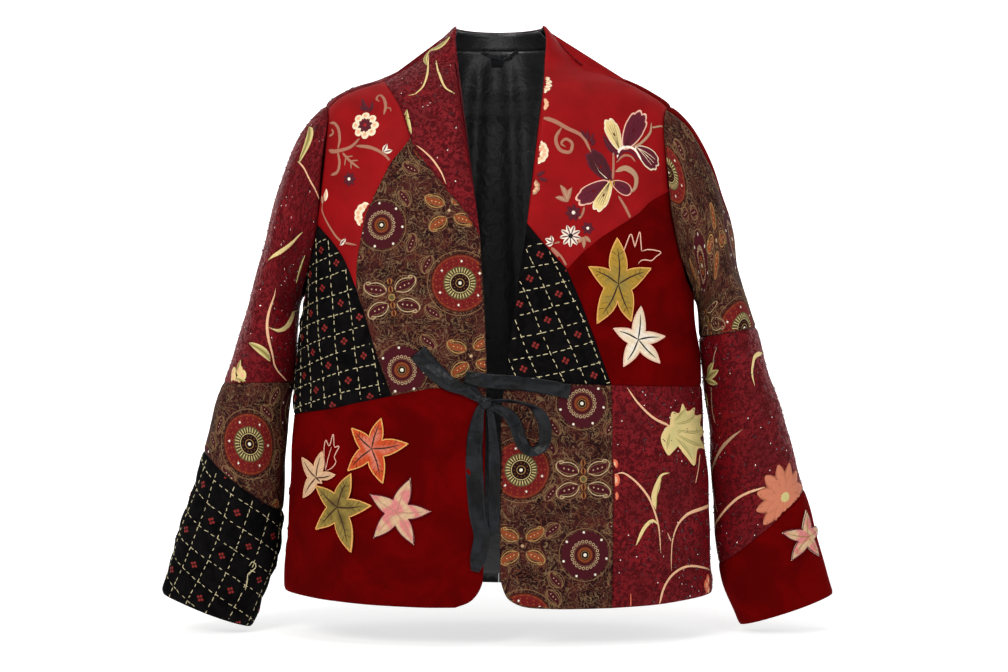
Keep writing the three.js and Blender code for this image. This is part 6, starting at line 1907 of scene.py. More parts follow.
def ribbon_mesh(name, rows, place, wall, materials, columns=9, spacing=1.6, curl=0.9):
    """A folded ribbon. Its middle line runs smoothly through the rows; across it the width w is
    w x, x in [-1/2, 1/2], turned out of the cloth by the row's angle, curved by 0.4 curl
    (1 - 4 x^2), rippled a little along its length and creased by 1.5 h exp(-(d / r)^2)."""
    rows = np.array(rows, float)
    count = max(12, int(chord(rows[:, :2])[-1] / spacing))
    places = np.arange(len(rows))
    at = np.linspace(0, len(rows) - 1, count)
    fine = np.stack([smooth(places, rows[:, k], at) for k in range(5)], axis=1)
    points, normals = (np.array(a) for a in zip(*[place(x, z, lift) for x, z, lift, _, _ in fine]))
    path = np.gradient(points, axis=0)
    path /= np.linalg.norm(path, axis=1)[:, None]
    flat = np.cross(path, normals)
    flat /= np.linalg.norm(flat, axis=1)[:, None]
    angle = np.radians(fine[:, 4])[:, None]
    wide = flat * np.cos(angle) + normals * np.sin(angle)
    up = np.cross(wide, path)
    up /= np.linalg.norm(up, axis=1)[:, None]
    x = np.linspace(-0.5, 0.5, columns)[None, :]
    share = np.linspace(0, 1, count)[:, None]
    height = curl * (0.25 - x**2) * 1.6 + 0.4 * np.sin(share * 23 + x * 5 + 1.5 * np.sin(share * 9))
    for middle, across, amount, width in RIBBON_CREASES.get(name, []):
        length = chord(points)[-1]
        gap = np.hypot((share - middle) * length / 5, (x - across) * fine[:, 3:4])
        height = height + 1.5 * amount * np.exp(-(gap / width) ** 2)
    across = x * fine[:, 3:4]
    outer = points[:, None] + wide[:, None] * across[..., None] + up[:, None] * height[..., None]
    inner = outer - up[:, None] * wall
    chart = np.stack([across + 0 * share, share * chord(points)[-1] + 0 * x], axis=-1).reshape(-1, 2)
    outward = np.repeat(up, columns, axis=0)
    piece = shell(name + "_ribbon", chart, grid_faces(count, columns), outer.reshape(-1, 3),
                  inner.reshape(-1, 3), outward, materials)
    length = float(chord(points)[-1])
    width = float(fine[:, 3].max())
    area = float(fine[:, 3].mean() * length)
    return piece, (width * MM, length * MM), area * MM * MM


STAR_WALL = 0.9


def star_corners(middle, tips, waist):
    """Outline of leaf-shaped arms: from a notch at 0.92 waist times the arm to the tip along
    (1-t)^2 a + 2 t (1-t) c + t^2 b. The middle corner c lies 0.6 of the arm out and 0.245
    of it to the side."""
    middle = np.asarray(middle, float)
    arms = np.asarray(tips, float) - middle
    points = []
    for arm, following in zip(arms, np.roll(arms, -1, axis=0)):
        a, b = np.linalg.norm(arm), np.linalg.norm(following)
        notch = arm / a + following / b
        notch = notch / np.linalg.norm(notch) * waist * 0.46 * (a + b)
        for start, end, along, size in ((arm, notch, arm, a), (notch, following, following, b)):
            side = notch - along * np.dot(notch, along) / size**2
            corner = 0.6 * along + side / np.linalg.norm(side) * 0.245 * size
            t = np.linspace(0, 1, 9)[:-1, None]
            points.append((1 - t) ** 2 * start + 2 * t * (1 - t) * corner + t**2 * end)
    return np.concatenate(points) + middle


def star_mesh(name, cloth, middle, outline, lift, materials, colours):
    """A padded star: its outline drawn in to the middle by shares s, at height lift + (1 - s^6),
    painted from the second colour on the arms to the third in the middle, with soft patches,
    sin(a x + 2 sin(b y + c x))."""
    count = len(outline)
    shares = np.array([1.0, 0.97, 0.91, 0.84, 0.76, 0.68, 0.6, 0.52, 0.44, 0.36, 0.28, 0.2, 0.12, 0.05])
    middle = np.asarray(middle, float)
    chart = (middle + shares[:, None, None] * (outline - middle)[None]).reshape(-1, 2)
    s = np.repeat(shares, count)
    high = lift + 1.0 * (1 - s**6)
    edge = np.full(len(chart), FAR_FROM_EDGE)
    outer = cloth.lifted(chart[:, 0], chart[:, 1], high, edge)
    inner = cloth.lifted(chart[:, 0], chart[:, 1], high - STAR_WALL, edge)
    outward = cloth.wrap.normal(chart[:, 0], chart[:, 1])
    faces = facing_out(outer, grid_faces(len(shares), count, True), outward)
    cap = outward_cap(outer, list(range((len(shares) - 1) * count, len(outer))), outward)
    rim = rim_faces(faces, len(outer))
    rim = rim[np.all(rim % len(outer) < count, axis=1)]
    rows = [*faces, *(faces[:, ::-1] + len(outer)), cap, cap[::-1] + len(outer), *rim]
    rim_tint, high_tint, low_tint = (np.array(TINT[c]) for c in colours)
    x, y = chart[:, 0] + len(name), chart[:, 1]
    patch = 0.5 + 0.5 * np.sin(0.26 * x + 2 * np.sin(0.19 * y + 0.1 * x))
    fine = 0.88 + 0.12 * np.sin(1.1 * x) * np.sin(0.9 * y + 0.5 * x)
    share = 1.5 - 2 * s + 3 * (patch - 0.45) if colours[2] == "pink" else 1.15 - 1.5 * s + 0.9 * (patch - 0.5)
    share = np.clip(share, 0, 1)[:, None]
    tint = (high_tint + (low_tint - high_tint) * share) * fine[:, None]
    tint = np.where((s > 0.95)[:, None], rim_tint, tint)
    piece = mesh_piece(name + "_patch", np.concatenate([outer, inner]), rows, materials, None,
                       np.concatenate([chart, chart]), np.concatenate([tint, tint]))
    size = np.ptp(outline, axis=0)
    return piece, (float(size[0]) * MM, float(size[1]) * MM), abs(polygon_area(outline)) * MM * MM


def outward_cap(points, ring, outward):
    """The ring of corners as one face, turned to face outwards."""
    ring = np.array(ring)
    a, b, c = (points[ring[k * len(ring) // 3]] for k in range(3))
    return ring if np.dot(np.cross(b - a, c - a), outward[ring[0]]) > 0 else ring[::-1]


def star_thread(thread, name, middle, outline, colours):
    """A cord round the edge, and a stitched vein along every arm with short side veins."""
    rim, vein = TINT[colours[1]], TINT[colours[2]]
    middle = np.asarray(middle, float)
    drawn = middle + (outline - middle) * 0.975
    thread.band(np.concatenate([drawn, drawn[:1]]), 1.1, rim, 1.5, 0.001, 1.6)
    tips = outline[::16]
    for k, tip in enumerate(tips):
        arm = tip - middle
        bow = np.array([-arm[1], arm[0]]) * 0.03 * (-1) ** k
        strong = 1.0 if name not in ("star_pink", "star_cuff") else 0.55
        path = [middle, middle + arm * 0.4 + bow, middle + arm * 0.76]
        thread.band(path, np.array([2.0, 1.6, 0.9]) * strong, vein, 2.0, 0.25, 1.8)
        if name in ("star_olive", "star_gold", "star_orange"):
            axis = arm / np.linalg.norm(arm)
            side = np.array([-axis[1], axis[0]])
            for share in (0.3, 0.46, 0.6):
                start = middle + arm * share
                for hand in (-1, 1):
                    end = start + (axis * 0.8 + side * hand) * np.linalg.norm(arm) * 0.13
                    thread.band([start, end], 0.6, vein, 1.7, 0.3, 1.5)


# Materials

class Graph:
    """Adds shader nodes to one material and joins them."""

    def __init__(self, name):
        self.material = bpy.data.materials.new(name)
        self.material.use_nodes = True
        self.tree = self.material.node_tree
        self.tree.nodes.clear()
        self.shader = self.add("ShaderNodeBsdfPrincipled")
        output = self.add("ShaderNodeOutputMaterial")
        self.join(self.shader.outputs["BSDF"], output.inputs["Surface"])

    def add(self, kind, **sockets):
        node = self.tree.nodes.new(kind)
        for name, value in sockets.items():
            self.put(node.inputs[name.replace("_", " ")], value)
        return node

    def put(self, socket, value):
        """A socket's value, or a link where value is an output."""
        if isinstance(value, bpy.types.NodeSocket):
            self.join(value, socket)
        else:
            socket.default_value = value

    def join(self, output, socket):
        self.tree.links.new(output, socket)

    def surface(self, **values):
        for name, value in values.items():
            self.put(self.shader.inputs[name.replace("_", " ")], value)
        return self.material

    def chart(self):
        node = self.add("ShaderNodeUVMap")
        node.uv_map = "chart"
        return node.outputs["UV"]

    def tint(self):
        node = self.add("ShaderNodeAttribute")
        node.attribute_name = "tint"
        return node.outputs["Color"]

    def shaded_tint(self, shade):
        """The tint attribute times a shade."""
        node = self.add("ShaderNodeMix")
        node.data_type, node.blend_type = "RGBA", "MULTIPLY"
        for socket, value in ((0, 1.0), (6, self.tint()), (7, shade)):
            self.put(node.inputs[socket], value)
        return node.outputs[2]

    def noise(self, vector, scale, detail=2.0, roughness=0.5, distortion=0.0):
        return self.add("ShaderNodeTexNoise", Vector=vector, Scale=scale, Detail=detail, Roughness=roughness,
                        Distortion=distortion).outputs["Fac"]

    def ramp(self, value, stops, smooth_steps=False):
        """Colour ramp; stops are (place, colour)."""
        node = self.add("ShaderNodeValToRGB")
        self.join(value, node.inputs["Fac"])
        node.color_ramp.interpolation = "EASE" if smooth_steps else "LINEAR"
        while len(node.color_ramp.elements) < len(stops):
            node.color_ramp.elements.new(0.5)
        for element, (place, colour) in zip(node.color_ramp.elements, stops):
            element.position = place
            element.color = (*colour[:3], 1.0)
        return node.outputs["Color"]

    def mix(self, factor, a, b):
        node = self.add("ShaderNodeMix")
        node.data_type = "RGBA"
        self.put(node.inputs[0], factor)
        self.put(node.inputs[6], (*a[:3], 1.0) if isinstance(a, tuple) else a)
        self.put(node.inputs[7], (*b[:3], 1.0) if isinstance(b, tuple) else b)
        return node.outputs[2]

    def math(self, operation, a, b=0.0):
        node = self.add("ShaderNodeMath")
        node.operation = operation
        self.put(node.inputs[0], a)
        self.put(node.inputs[1], b)
        return node.outputs[0]

    def bump(self, height, distance, strength=1.0):
        return self.add("ShaderNodeBump", Height=height, Distance=distance,
                        Strength=strength).outputs["Normal"]


def colour(value):
    return (*tuple(value)[:3], 1.0)


def sateen(graph, looks):
    """Smooth weave: red, with a dull gleam and a fine grain."""
    chart = graph.chart()
    soft = graph.noise(chart, 26.0, 3.0)
    base = graph.ramp(soft, [(0.3, scaled(looks.sateen, 0.82)), (0.7, scaled(looks.sateen, 1.12))])
    weave = graph.noise(chart, 1500.0, 1.0)
    return graph.surface(Base_Color=base, Roughness=0.6, Specular_IOR_Level=0.06,
                         Normal=graph.bump(weave, 0.00015, 0.6))


def scaled(value, share):
    return tuple(min(c * share, 1.0) for c in tuple(value)[:3])


def red_velvet(graph, looks):
    """Pile: dark where seen straight, bright at grazing angles by sheen; soft strokes."""
    chart = graph.chart()
    strokes = graph.noise(chart, 16.0, 4.0, 0.6, 0.8)
    base = graph.ramp(strokes,
                      [(0.34, scaled(looks.red_velvet, 0.78)), (0.66, scaled(looks.red_velvet, 1.22))], True)
    pile = graph.noise(chart, 1100.0, 2.0)
    return graph.surface(Base_Color=base, Roughness=0.9, Specular_IOR_Level=0.02, Sheen_Weight=0.3,
                         Sheen_Roughness=0.25, Sheen_Tint=colour((0.75, 0.004, 0.008)),
                         Normal=graph.bump(pile, 0.0003, 0.7))


def maroon_velvet(graph, looks):
    """Burnt-out pile: the pile stands in blotches over a thin shining ground."""
    chart = graph.chart()
    blotch = graph.noise(chart, 190.0, 4.0, 0.65, 1.2)
    pile = graph.ramp(blotch, [(0.44, (0.0, 0.0, 0.0)), (0.56, (1.0, 1.0, 1.0))], True)
    shade = graph.noise(chart, 22.0, 2.0)
    ground = graph.ramp(shade,
                        [(0.3, scaled(looks.maroon_ground, 0.75)), (0.7, scaled(looks.maroon_ground, 1.3))])
    base = graph.mix(pile, ground, tuple(looks.maroon_pile))
    rough = graph.math("ADD", graph.math("MULTIPLY", pile, 0.4), 0.42)
    coarse = graph.math("MULTIPLY", blotch, 0.7)
    fine = graph.math("MULTIPLY", graph.noise(chart, 900.0, 1.0), 0.3)
    height = graph.math("ADD", coarse, fine)
    return graph.surface(Base_Color=base, Roughness=rough, Specular_IOR_Level=0.1, Sheen_Weight=0.16,
                         Sheen_Roughness=0.3, Sheen_Tint=colour((0.7, 0.012, 0.03)),
                         Normal=graph.bump(height, 0.0016, 0.8))


def paisley_cloth(graph, looks):
    """Dark print ground with thin wandering lines: bands of a noise, |frac(n f) - 1/2| < w."""
    chart = graph.chart()

    def lines(scale, times, width, distortion):
        noise = graph.noise(chart, scale, 1.5, 0.5, distortion)
        part = graph.math("FRACT", graph.math("MULTIPLY", noise, times))
        near = graph.math("ABSOLUTE", graph.math("SUBTRACT", part, 0.5))
        return graph.ramp(near, [(width * 0.55, (1.0, 1.0, 1.0)), (width, (0.0, 0.0, 0.0))])

    cover = graph.noise(chart, 40.0, 2.0)
    ground = graph.ramp(cover, [(0.35, scaled(looks.paisley_ground, 0.5)), (0.5, tuple(looks.paisley_ground)),
                                (0.66, (0.05, 0.009, 0.008))], True)
    fine = lines(125.0, 6.0, 0.17, 0.8)
    tint = graph.ramp(graph.noise(chart, 60.0, 1.0),
                      [(0.4, (0.1, 0.028, 0.014)), (0.55, tuple(looks.paisley_line)),
                       (0.7, (0.15, 0.095, 0.05))])
    base = graph.mix(fine, ground, tint)
    broad = lines(48.0, 5.0, 0.07, 1.6)
    base = graph.mix(broad, base, (0.14, 0.082, 0.04))
    weave = graph.noise(chart, 1300.0, 1.0)
    return graph.surface(Base_Color=base, Roughness=0.8, Specular_IOR_Level=0.08,
                         Normal=graph.bump(weave, 0.0002, 0.6))


def black_velvet(graph, looks):
    """Very dark pile with a grey rim of sheen."""
    chart = graph.chart()
    strokes = graph.noise(chart, 60.0, 3.0, 0.6, 0.8)
    base = graph.ramp(strokes,
                      [(0.35, scaled(looks.black_velvet, 0.6)), (0.65, scaled(looks.black_velvet, 1.6))])
    pile = graph.noise(chart, 1000.0, 2.0)
    return graph.surface(Base_Color=base, Roughness=0.95, Specular_IOR_Level=0.03, Sheen_Weight=0.02,
                         Sheen_Roughness=0.3, Sheen_Tint=colour((0.5, 0.48, 0.52)),
                         Normal=graph.bump(pile, 0.0003, 0.8))


def satin(graph, looks):
    """Charcoal ribbon satin with soft puckers, and painted sheen and shade in its colour."""
    chart = graph.chart()
    shade = graph.noise(chart, 55.0, 2.0, 0.5, 1.0)
    # painted sheen and shade: soft patches darken the colour to a quarter and lighten it to over twice the
    # base, for the satin's highlights and crease shadows
    base = graph.ramp(shade, [(0.38, scaled(looks.satin, 0.25)), (0.68, scaled(looks.satin, 2.4))], True)
    pucker = graph.noise(chart, 150.0, 2.0, 0.5, 0.6)
    return graph.surface(Base_Color=base, Roughness=0.36, Specular_IOR_Level=0.22,
                         Normal=graph.bump(pucker, 0.0012, 0.6))


def lining_satin(graph, looks):
    """Black lining with faint wrinkles."""
    chart = graph.chart()
    wrinkle = graph.noise(chart, 90.0, 3.0, 0.55, 0.7)
    return graph.surface(Base_Color=colour(looks.lining), Roughness=0.38, Specular_IOR_Level=0.5,
                         Normal=graph.bump(wrinkle, 0.0016, 0.7))


def threadwork(graph, _):
    """Embroidery: the colour comes from the tint attribute, with the fine relief of its strands."""
    strands = graph.noise(graph.chart(), 1400.0, 2.0)
    shade = graph.ramp(strands, [(0.3, (0.72, 0.72, 0.72)), (0.7, (1.1, 1.1, 1.1))])
    return graph.surface(Base_Color=graph.shaded_tint(shade), Roughness=0.55, Specular_IOR_Level=0.15,
                         Normal=graph.bump(strands, 0.0003, 0.8))


def printed(graph, _):
    """Print colour on cloth: the tint attribute, broken by the weave."""
    worn = graph.ramp(graph.noise(graph.chart(), 700.0, 2.0),
                      [(0.3, (0.6, 0.56, 0.52)), (0.62, (1.0, 1.0, 1.0))])
    return graph.surface(Base_Color=graph.shaded_tint(worn), Roughness=0.8, Specular_IOR_Level=0.08)


def bead(graph, _):
    """Glossy cut beads."""
    return graph.surface(Base_Color=graph.tint(), Roughness=0.12, Specular_IOR_Level=0.8)


def sequin(graph, looks):
    """Small shining discs."""
    return graph.surface(Base_Color=colour(looks.sequin), Metallic=0.85, Roughness=0.22)


MAKERS = {"sateen": sateen, "red_velvet": red_velvet, "maroon_velvet": maroon_velvet,
          "paisley": paisley_cloth, "black_velvet": black_velvet, "satin": satin, "lining": lining_satin,
          "threadwork": threadwork, "printed": printed, "bead": bead, "sequin": sequin}


def material(name):
    """The material of that name, made when first needed."""
    found = bpy.data.materials.get("jacket_" + name)
    return found if found else MAKERS[name](Graph("jacket_" + name), bpy.context.scene.jacket_looks)


# What the panel can change

def length(name, default, description, least=0.0):
    return FloatProperty(name=name, default=default, min=least, description=description, subtype="DISTANCE",
                         unit="LENGTH")


def tone(name, default, description):
    return FloatVectorProperty(name=name, default=default, size=3, min=0.0, max=1.0, subtype="COLOR",
                               description=description)


LEAST_PITCH = 0.0015     # metres; the finest facets the panel allows; metres; finer facets would pass the limit of triangles


class JacketSizes(bpy.types.PropertyGroup):
    """Sizes of the cloth and the stitching."""

    pitch: length("Facet size", 0.0031, "Distance between the points of a patch", LEAST_PITCH)
    quilted_pitch: length("Quilted facet size", 0.0023,
                          "Distance between the points of a quilted patch", LEAST_PITCH)
    lining_pitch: length("Lining facet size", 0.0046,
                         "Distance between the points of the back lining and collar", LEAST_PITCH)
    wall: length("Patch wall", 0.0016, "Thickness of a patch with its lining")
    lining_wall: length("Lining wall", 0.0013, "Thickness of the back lining")
    ribbon_wall: length("Ribbon wall", 0.0009, "Thickness of the folded ribbon")
    gap: length("Seam gap", 0.0003, "Distance between the edges of two patches at a seam")
    dash: length("Stitch length", 0.005, "Length of a quilting stitch")
    space: length("Stitch space", 0.0034, "Space between two quilting stitches")


class JacketLooks(bpy.types.PropertyGroup):
    """Colours of the cloth."""

    sateen: tone("Sateen", (0.248, 0.0035, 0.0048), "Red sateen")
    red_velvet: tone("Red velvet", (0.1, 0.0003, 0.0005), "Plain red velvet")
    maroon_pile: tone("Maroon pile", (0.062, 0.001, 0.0026), "Pile of the burnt-out velvet")
    maroon_ground: tone("Maroon ground", (0.145, 0.0028, 0.006), "Ground of the burnt-out velvet")
    paisley_ground: tone("Paisley ground", (0.024, 0.0048, 0.0047), "Ground of the printed cloth")
    paisley_line: tone("Paisley lines", (0.106, 0.045, 0.023), "Thin lines of the print")
    black_velvet: tone("Black velvet", (0.0031, 0.0027, 0.0029), "Quilted velvet")
    satin: tone("Ribbon satin", (0.0025, 0.0031, 0.0046), "Ties, bow and label")
    lining: tone("Lining", (0.016, 0.016, 0.0175), "Lining and collar facing")
    sequin: tone("Sequins", (0.85, 0.8, 0.72), "Small sequins")


# Building

CLOTHS = {}


def cloth_named(name):
    """The cut piece of that name, from one table made at first need."""
    if not CLOTHS:
        CLOTHS.update(all_cloths())
        for span, (rows, line, depth, folds) in SPANS.items():
            CLOTHS[span] = SpanCloth(span, rows, line, depth, folds)
    return CLOTHS[name]


def cut(name, cloth_slot):
    """Sews one cut piece at the scene's sizes."""
    sizes = bpy.context.scene.jacket_sizes
    cloth = cloth_named(name)
    spans = isinstance(cloth, SpanCloth)
    pitch = (sizes.lining_pitch if spans else sizes.quilted_pitch if cloth.quilt else sizes.pitch) * 1000
    wall = (sizes.lining_wall if spans and cloth_slot == "lining" else sizes.wall) * 1000
    return sew(cloth, [material(cloth_slot), material("lining")], cloth_slot, pitch, wall, sizes.gap * 1000)


LEAST_FLAT = 0.0101


class JACKET_OT_patches(bpy.types.Operator):
    """Sew the ten front and four back patches"""
    bl_idname = "jacket.patches"
    bl_label = "Patches"
    bl_options = {"REGISTER", "UNDO"}

    def execute(self, context):
        for name, (_, _, cloth_slot) in PATCHES.items():
            cut(name, cloth_slot)
        return {"FINISHED"}


class JACKET_OT_sleeves(bpy.types.Operator):
    """Sew the seven sleeve pieces"""
    bl_idname = "jacket.sleeves"
    bl_label = "Sleeves"
    bl_options = {"REGISTER", "UNDO"}

    def execute(self, context):
        for name, cloth_slot in SLEEVE_CLOTHS.items():
            cut(name, cloth_slot)
        return {"FINISHED"}


class JACKET_OT_lining(bpy.types.Operator):
    """Sew the back collar, its facing and the back lining"""
    bl_idname = "jacket.lining"
    bl_label = "Collar and lining"
    bl_options = {"REGISTER", "UNDO"}

    def execute(self, context):
        cut("back_collar", "maroon_velvet")
        cut("collar_facing", "lining")
        cut("back_lining", "lining")
        return {"FINISHED"}


class JACKET_OT_ties(bpy.types.Operator):
    """Make the ribbon ties, the bow loop and the knot"""
    bl_idname = "jacket.ties"
    bl_label = "Ties"
    bl_options = {"REGISTER", "UNDO"}

    def execute(self, context):
        wall = context.scene.jacket_sizes.ribbon_wall * 1000
        for name, rows in RIBBONS.items():
            piece, flat, area = ribbon_mesh(name, rows, front_place, wall, [material("satin")] * 2)
            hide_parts(name)
            max(flat[0], LEAST_FLAT)
        knot_mesh()
        return {"FINISHED"}


class JACKET_OT_neck_pieces(bpy.types.Operator):
    """Make the label and the hanging loop inside the neck"""
    bl_idname = "jacket.neck_pieces"
    bl_label = "Label and loop"
    bl_options = {"REGISTER", "UNDO"}

    def execute(self, context):
        for name, rows in NECK_PIECES.items():
            columns = 9 if name == "neck_label" else 5
            piece, flat, area = ribbon_mesh(name, rows, neck_place, 0.6, [material("satin")] * 2, columns,
                                            1.2, 0.5)
            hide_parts(name)
            wide = max(flat[0], LEAST_FLAT)
            max(area, 0.31 * LEAST_FLAT * flat[1])
        return {"FINISHED"}


class JACKET_OT_stars(bpy.types.Operator):
    """Make the seven padded stars and their stitches"""
    bl_idname = "jacket.stars"
    bl_label = "Stars"
    bl_options = {"REGISTER", "UNDO"}

    def execute(self, context):
        slots = {"star_gold": "olive", "star_pale": "cream"}
        for name, colours in STAR_LOOKS.items():
            if name == "star_cuff":
                cloth, middle, corners = cuff_star()
            else:
                cloth, middle, corners = front_star(name)
            lift = 3.4 if name == "star_olive" else 1.9
            piece, flat, area = star_mesh(name, cloth, middle, corners, lift, [material("threadwork")],
                                          colours[0])
            slot = slots.get(name, name.replace("star_", "")) if name != "star_cuff" else "pink"
            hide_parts(name)
            thread = Thread()
            star_thread(thread, name, middle, corners, colours)
            paint(cloth, thread, name + "_stitches", material("threadwork"), slot, lift - 0.5)
        return {"FINISHED"}


def front_star(name):
    """The cloth, middle and outline of a star on the fronts."""
    middle, waist, tips = STARS[name]
    side = "left" if middle[0] < 0 else "right"
    outline = np.array([from_view(p) for p in star_corners(middle, tips, waist)])
    return FrontFace(side), np.array(from_view(middle)), outline


def cuff_star():
    """The star near the right cuff, from its turn and reach."""
    row = CUFF_STAR
    angles = row["lean"] + 2 * math.pi * np.arange(5) / 5
    tips = np.stack([np.sin(angles), np.cos(angles)], axis=1) * row["arm"]
    corners = star_corners((0, 0), tips, row["waist"])
    wrap = SLEEVE["right"]
    both = np.concatenate([corners, [[0, 0]]])
    turn, reach = row["turn"] - both[:, 0] / 48, row["reach"] - both[:, 1]
    chart = np.stack([arc_of_turn(wrap, turn, reach), reach], axis=1)
    return SleeveFace("right"), chart[-1], chart[:-1]


def knot_mesh():
    """An ellipsoid with wraps pressed in: r (1 - 0.13 |sin(2.5 p + 0.6 sin(q) + 0.4)|^6 +
    0.03 sin(5 q + 3 p)), where p is the angle down from the top and q the angle round."""
    centre, _ = front_place(KNOT["x"], KNOT["z"], KNOT["lift"])
    rows, columns = 24, 40
    lat, lon = np.meshgrid(np.linspace(0.02, math.pi - 0.02, rows),
                           np.linspace(0, 2 * math.pi, columns, False),
                           indexing="ij")
    unit = np.stack([np.sin(lat) * np.cos(lon), np.sin(lat) * np.sin(lon), np.cos(lat)], axis=-1)
    press = 1 - 0.13 * np.abs(np.sin(2.5 * lat + 0.6 * np.sin(lon) + 0.4)) ** 6 + 0.03 * np.sin(5 * lon + 3
                                                                                                * lat)
    size = np.array([KNOT["wide"], KNOT["deep"], KNOT["high"]]) / 2
    lean = math.radians(18)
    points = unit * press[..., None] * size
    turned = np.stack([points[..., 0] * math.cos(lean) - points[..., 2] * math.sin(lean), points[..., 1],
                       points[..., 0] * math.sin(lean) + points[..., 2] * math.cos(lean)], axis=-1)
    places = (turned + centre).reshape(-1, 3)
    outward = turned.reshape(-1, 3)
    faces = facing_out(places, grid_faces(rows, columns, True), outward)
    top = np.arange(columns)
    caps = [outward_cap(places, ring, outward) for ring in (top, top + (rows - 1) * columns)]
    chart = np.stack([lon.ravel() * 6, lat.ravel() * 5], axis=1)
    piece = mesh_piece("bow_knot_ribbon", places, [*faces, *caps], [material("satin")], None, chart)
    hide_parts("bow_knot")
    return piece


class JACKET_OT_quilting(bpy.types.Operator):
    """Stitch the quilting and its small flowers on the black velvet"""
    bl_idname = "jacket.quilting"
    bl_label = "Quilting"
    bl_options = {"REGISTER", "UNDO"}

    def execute(self, context):
        sizes = context.scene.jacket_sizes
        for name in QUILTS:
            cloth, thread = cloth_named(name), Thread()
            quilt_thread(cloth, thread, sizes.dash * 1000, sizes.space * 1000)
            paint(cloth, thread, name + "_quilting", material("threadwork"), "black_velvet")
        return {"FINISHED"}


class JACKET_OT_prints(bpy.types.Operator):
    """Print the medallions and paisleys on the paisley cloth"""
    bl_idname = "jacket.prints"
    bl_label = "Prints"
    bl_options = {"REGISTER", "UNDO"}

    def execute(self, context):
        for name in PRINTS:
            cloth, thread = cloth_named(name), Thread()
            print_thread(cloth, thread)
            paint(cloth, thread, name + "_print", material("printed"), "paisley", 0.04)
        return {"FINISHED"}


class JACKET_OT_embroidery(bpy.types.Operator):
    """Embroider the vines, leaves and flowers"""
    bl_idname = "jacket.embroidery"
    bl_label = "Embroidery"
    bl_options = {"REGISTER", "UNDO"}

    def execute(self, context):
        slots = {name: row[2] for name, row in PATCHES.items()} | SLEEVE_CLOTHS
        for name, rows in PICTURES.items():
            cloth, thread = cloth_named(name), Thread()
            draw_pictures(thread, rows, PICTURE_SCALE, cloth.finder)
            paint(cloth, thread, name + "_embroidery", material("threadwork"), slots[name])
        for name, rows in HIDDEN_PICTURES.items():
            cloth, thread = cloth_named(name), Thread()
            draw_pictures(thread, rows, 1.0, lambda points: np.asarray(points, float))
            paint(cloth, thread, name + "_embroidery", material("threadwork"), slots[name])
        return {"FINISHED"}


class JACKET_OT_beads(bpy.types.Operator):
    """Sew on the beads and sequins"""
    bl_idname = "jacket.beads"
    bl_label = "Beads and sequins"
    bl_options = {"REGISTER", "UNDO"}

    def execute(self, context):
        names = [name for name, row in PATCHES.items() if row[2] == "maroon_velvet"]
        names += [name for name, slot in SLEEVE_CLOTHS.items() if slot == "maroon_velvet"]
        for k, name in enumerate(names):
            cloth, beads, shine = cloth_named(name), Thread(), Thread()
            bead_thread(cloth, beads, 210, 40 + k)
            paint(cloth, beads, name + "_beads", material("bead"), "maroon_velvet")
            sequin_thread(cloth, shine, 900, 70 + k)
            paint(cloth, shine, name + "_sequins", material("sequin"), "maroon_velvet")
        return {"FINISHED"}


class JACKET_OT_stage(bpy.types.Operator):
    """Set the floor, the backdrop, the lights and the camera"""
    bl_idname = "jacket.stage"
    bl_label = "Stage"
    bl_options = {"REGISTER", "UNDO"}

    def execute(self, context):
        set_stage(context.scene)
        return {"FINISHED"}


STEPS = (JACKET_OT_patches, JACKET_OT_sleeves, JACKET_OT_lining, JACKET_OT_ties, JACKET_OT_neck_pieces,
         JACKET_OT_stars, JACKET_OT_quilting, JACKET_OT_prints, JACKET_OT_embroidery, JACKET_OT_beads,
         JACKET_OT_stage)


# Area lights: name, place, what they face, width and height, watts, colour.
LIGHTS = [
    ("key", (-1.4, -2.4, 1.6), (0, 0, -0.3), (1.3, 1.3), 53, (1.0, 0.98, 0.95)),
    ("fill", (1.9, -2.2, 0.6), (0, 0, -0.3), (1.4, 1.8), 17, (0.96, 0.98, 1.0)),
    ("top", (0.0, -0.5, 2.2), (0, 0, -0.3), (2.0, 1.2), 22, (1.0, 1.0, 1.0)),
    ("back", (0.0, 2.6, 2.4), (0, 5.6, 0.6), (3.2, 1.0), 60, (1.0, 1.0, 1.0)),
]
SWEEP = {"floor": -649.0, "back": 5600.0, "radius": 1600.0, "side": 7000.0, "top": 6500.0}
STUDIO_LIGHT = 0.3


def sweep():
    """A white sweep, lit from itself and less so near the jacket, where its shadow falls: the floor,
    then a quarter circle up to an upright wall far behind."""
    floor, back, radius = SWEEP["floor"], SWEEP["back"], SWEEP["radius"]
    angle = np.linspace(0, math.pi / 2, 25)
    profile = [(-back, floor)] + [(back - radius + radius * math.sin(a), floor + radius * (1 - math.cos(a)))
                                  for a in angle] + [(back, SWEEP["top"])]
    points = np.array([(x, y, z) for y, z in profile for x in (-SWEEP["side"], SWEEP["side"])])
    graph = Graph("backdrop")
    place = graph.add("ShaderNodeTexCoord").outputs["Object"]
    away = graph.add("ShaderNodeVectorMath", Vector=place)
    away.operation = "LENGTH"
    glow = graph.ramp(graph.math("MULTIPLY", away.outputs["Value"], 0.2),
                      [(0.16, (0.66, 0.66, 0.66)), (0.26, (0.95, 0.95, 0.95)), (0.4, (1.0, 1.0, 1.0))], True)
    graph.surface(Base_Color=(0.55, 0.55, 0.55, 1.0), Roughness=1.0, Specular_IOR_Level=0.0,
                  Emission_Color=glow, Emission_Strength=1.0)
    mesh = bpy.data.meshes.new("backdrop")
    mesh.from_pydata((points * MM).tolist(), [], grid_faces(len(profile), 2)[:, ::-1].tolist())
    mesh.polygons.foreach_set("use_smooth", np.full(len(mesh.polygons), True))
    mesh.materials.append(graph.material)
    return bpy.data.objects.new("backdrop", mesh)


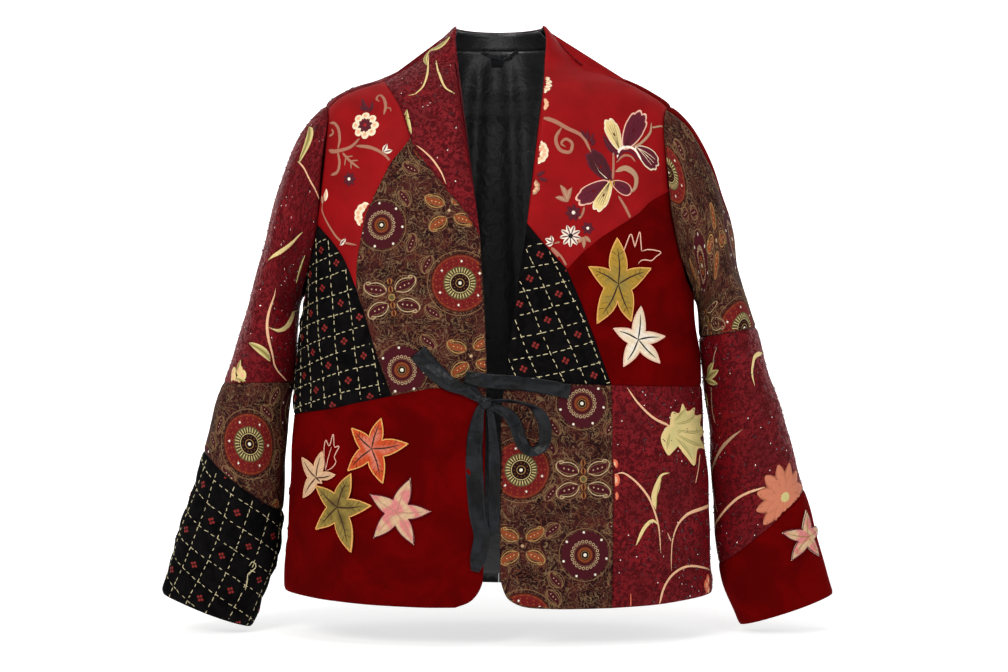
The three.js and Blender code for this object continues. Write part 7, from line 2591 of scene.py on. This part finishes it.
def area_light(name, place, aim, size, power, tint):
    """One row of LIGHTS, turned so that it faces its aim."""
    lamp = bpy.data.lights.new(name, "AREA")
    lamp.shape, lamp.size, lamp.size_y = "RECTANGLE", size[0], size[1]
    lamp.energy, lamp.color = power, tint
    item = bpy.data.objects.new(name, lamp)
    item.location = place
    away = np.array(place) - np.array(aim)
    tilt = math.atan2(math.hypot(away[0], away[1]), away[2])
    item.rotation_euler = (tilt, 0.0, math.atan2(away[0], -away[1]))
    return item


def view_camera():
    """The photograph's level view: the lens spans the image at the plane y = 0."""
    camera = bpy.data.cameras.new("camera")
    camera.sensor_width = 36.0
    camera.lens = camera.sensor_width * VIEW_DISTANCE / (IMAGE[0] * MM_PER_PIXEL)
    camera.clip_end = 20.0
    item = bpy.data.objects.new("camera", camera)
    item.location = (VIEW_CENTRE[0] * MM, -VIEW_DISTANCE * MM, VIEW_CENTRE[1] * MM)
    item.rotation_euler = (math.pi / 2, 0.0, 0.0)
    return item


def set_stage(scene):
    """The sweep, the lights, the camera and an even white world."""
    things = [sweep(), *(area_light(*row) for row in LIGHTS)]
    scene.camera = view_camera()
    for item in (*things, scene.camera):
        scene.collection.objects.link(item)
    world = bpy.data.worlds.new("studio")
    world.use_nodes = True
    ground = world.node_tree.nodes["Background"]
    ground.inputs["Color"].default_value = (1.0, 1.0, 1.0, 1.0)
    ground.inputs["Strength"].default_value = STUDIO_LIGHT
    scene.world = world
    scene.view_settings.view_transform = "Standard"
    scene.view_settings.look = "None"


class JACKET_PT_panel(bpy.types.Panel):
    """Sizes, colours and building steps"""
    bl_label = "Kimono Jacket"
    bl_idname = "JACKET_PT_panel"
    bl_space_type = "VIEW_3D"
    bl_region_type = "UI"
    bl_category = "Jacket"

    def draw(self, context):
        for group, title in ((context.scene.jacket_sizes, "Sizes"), (context.scene.jacket_looks, "Colours")):
            box = self.layout.box()
            box.label(text=title)
            for name in group.__annotations__:
                box.prop(group, name)
        for step in STEPS:
            self.layout.operator(step.bl_idname)


CLASSES = (JacketSizes, JacketLooks, *STEPS, JACKET_PT_panel)


def register():
    for cls in CLASSES:
        bpy.utils.register_class(cls)
    bpy.types.Scene.jacket_sizes = PointerProperty(type=JacketSizes)
    bpy.types.Scene.jacket_looks = PointerProperty(type=JacketLooks)


def unregister():
    del bpy.types.Scene.jacket_looks
    del bpy.types.Scene.jacket_sizes
    for cls in reversed(CLASSES):
        bpy.utils.unregister_class(cls)


def main():
    register()
    ops = bpy.ops.jacket
    for step in (ops.patches, ops.sleeves, ops.lining, ops.ties, ops.neck_pieces, ops.stars, ops.quilting,
                 ops.prints, ops.embroidery, ops.beads, ops.stage):
        step()


if __name__ == "__main__":
    main()
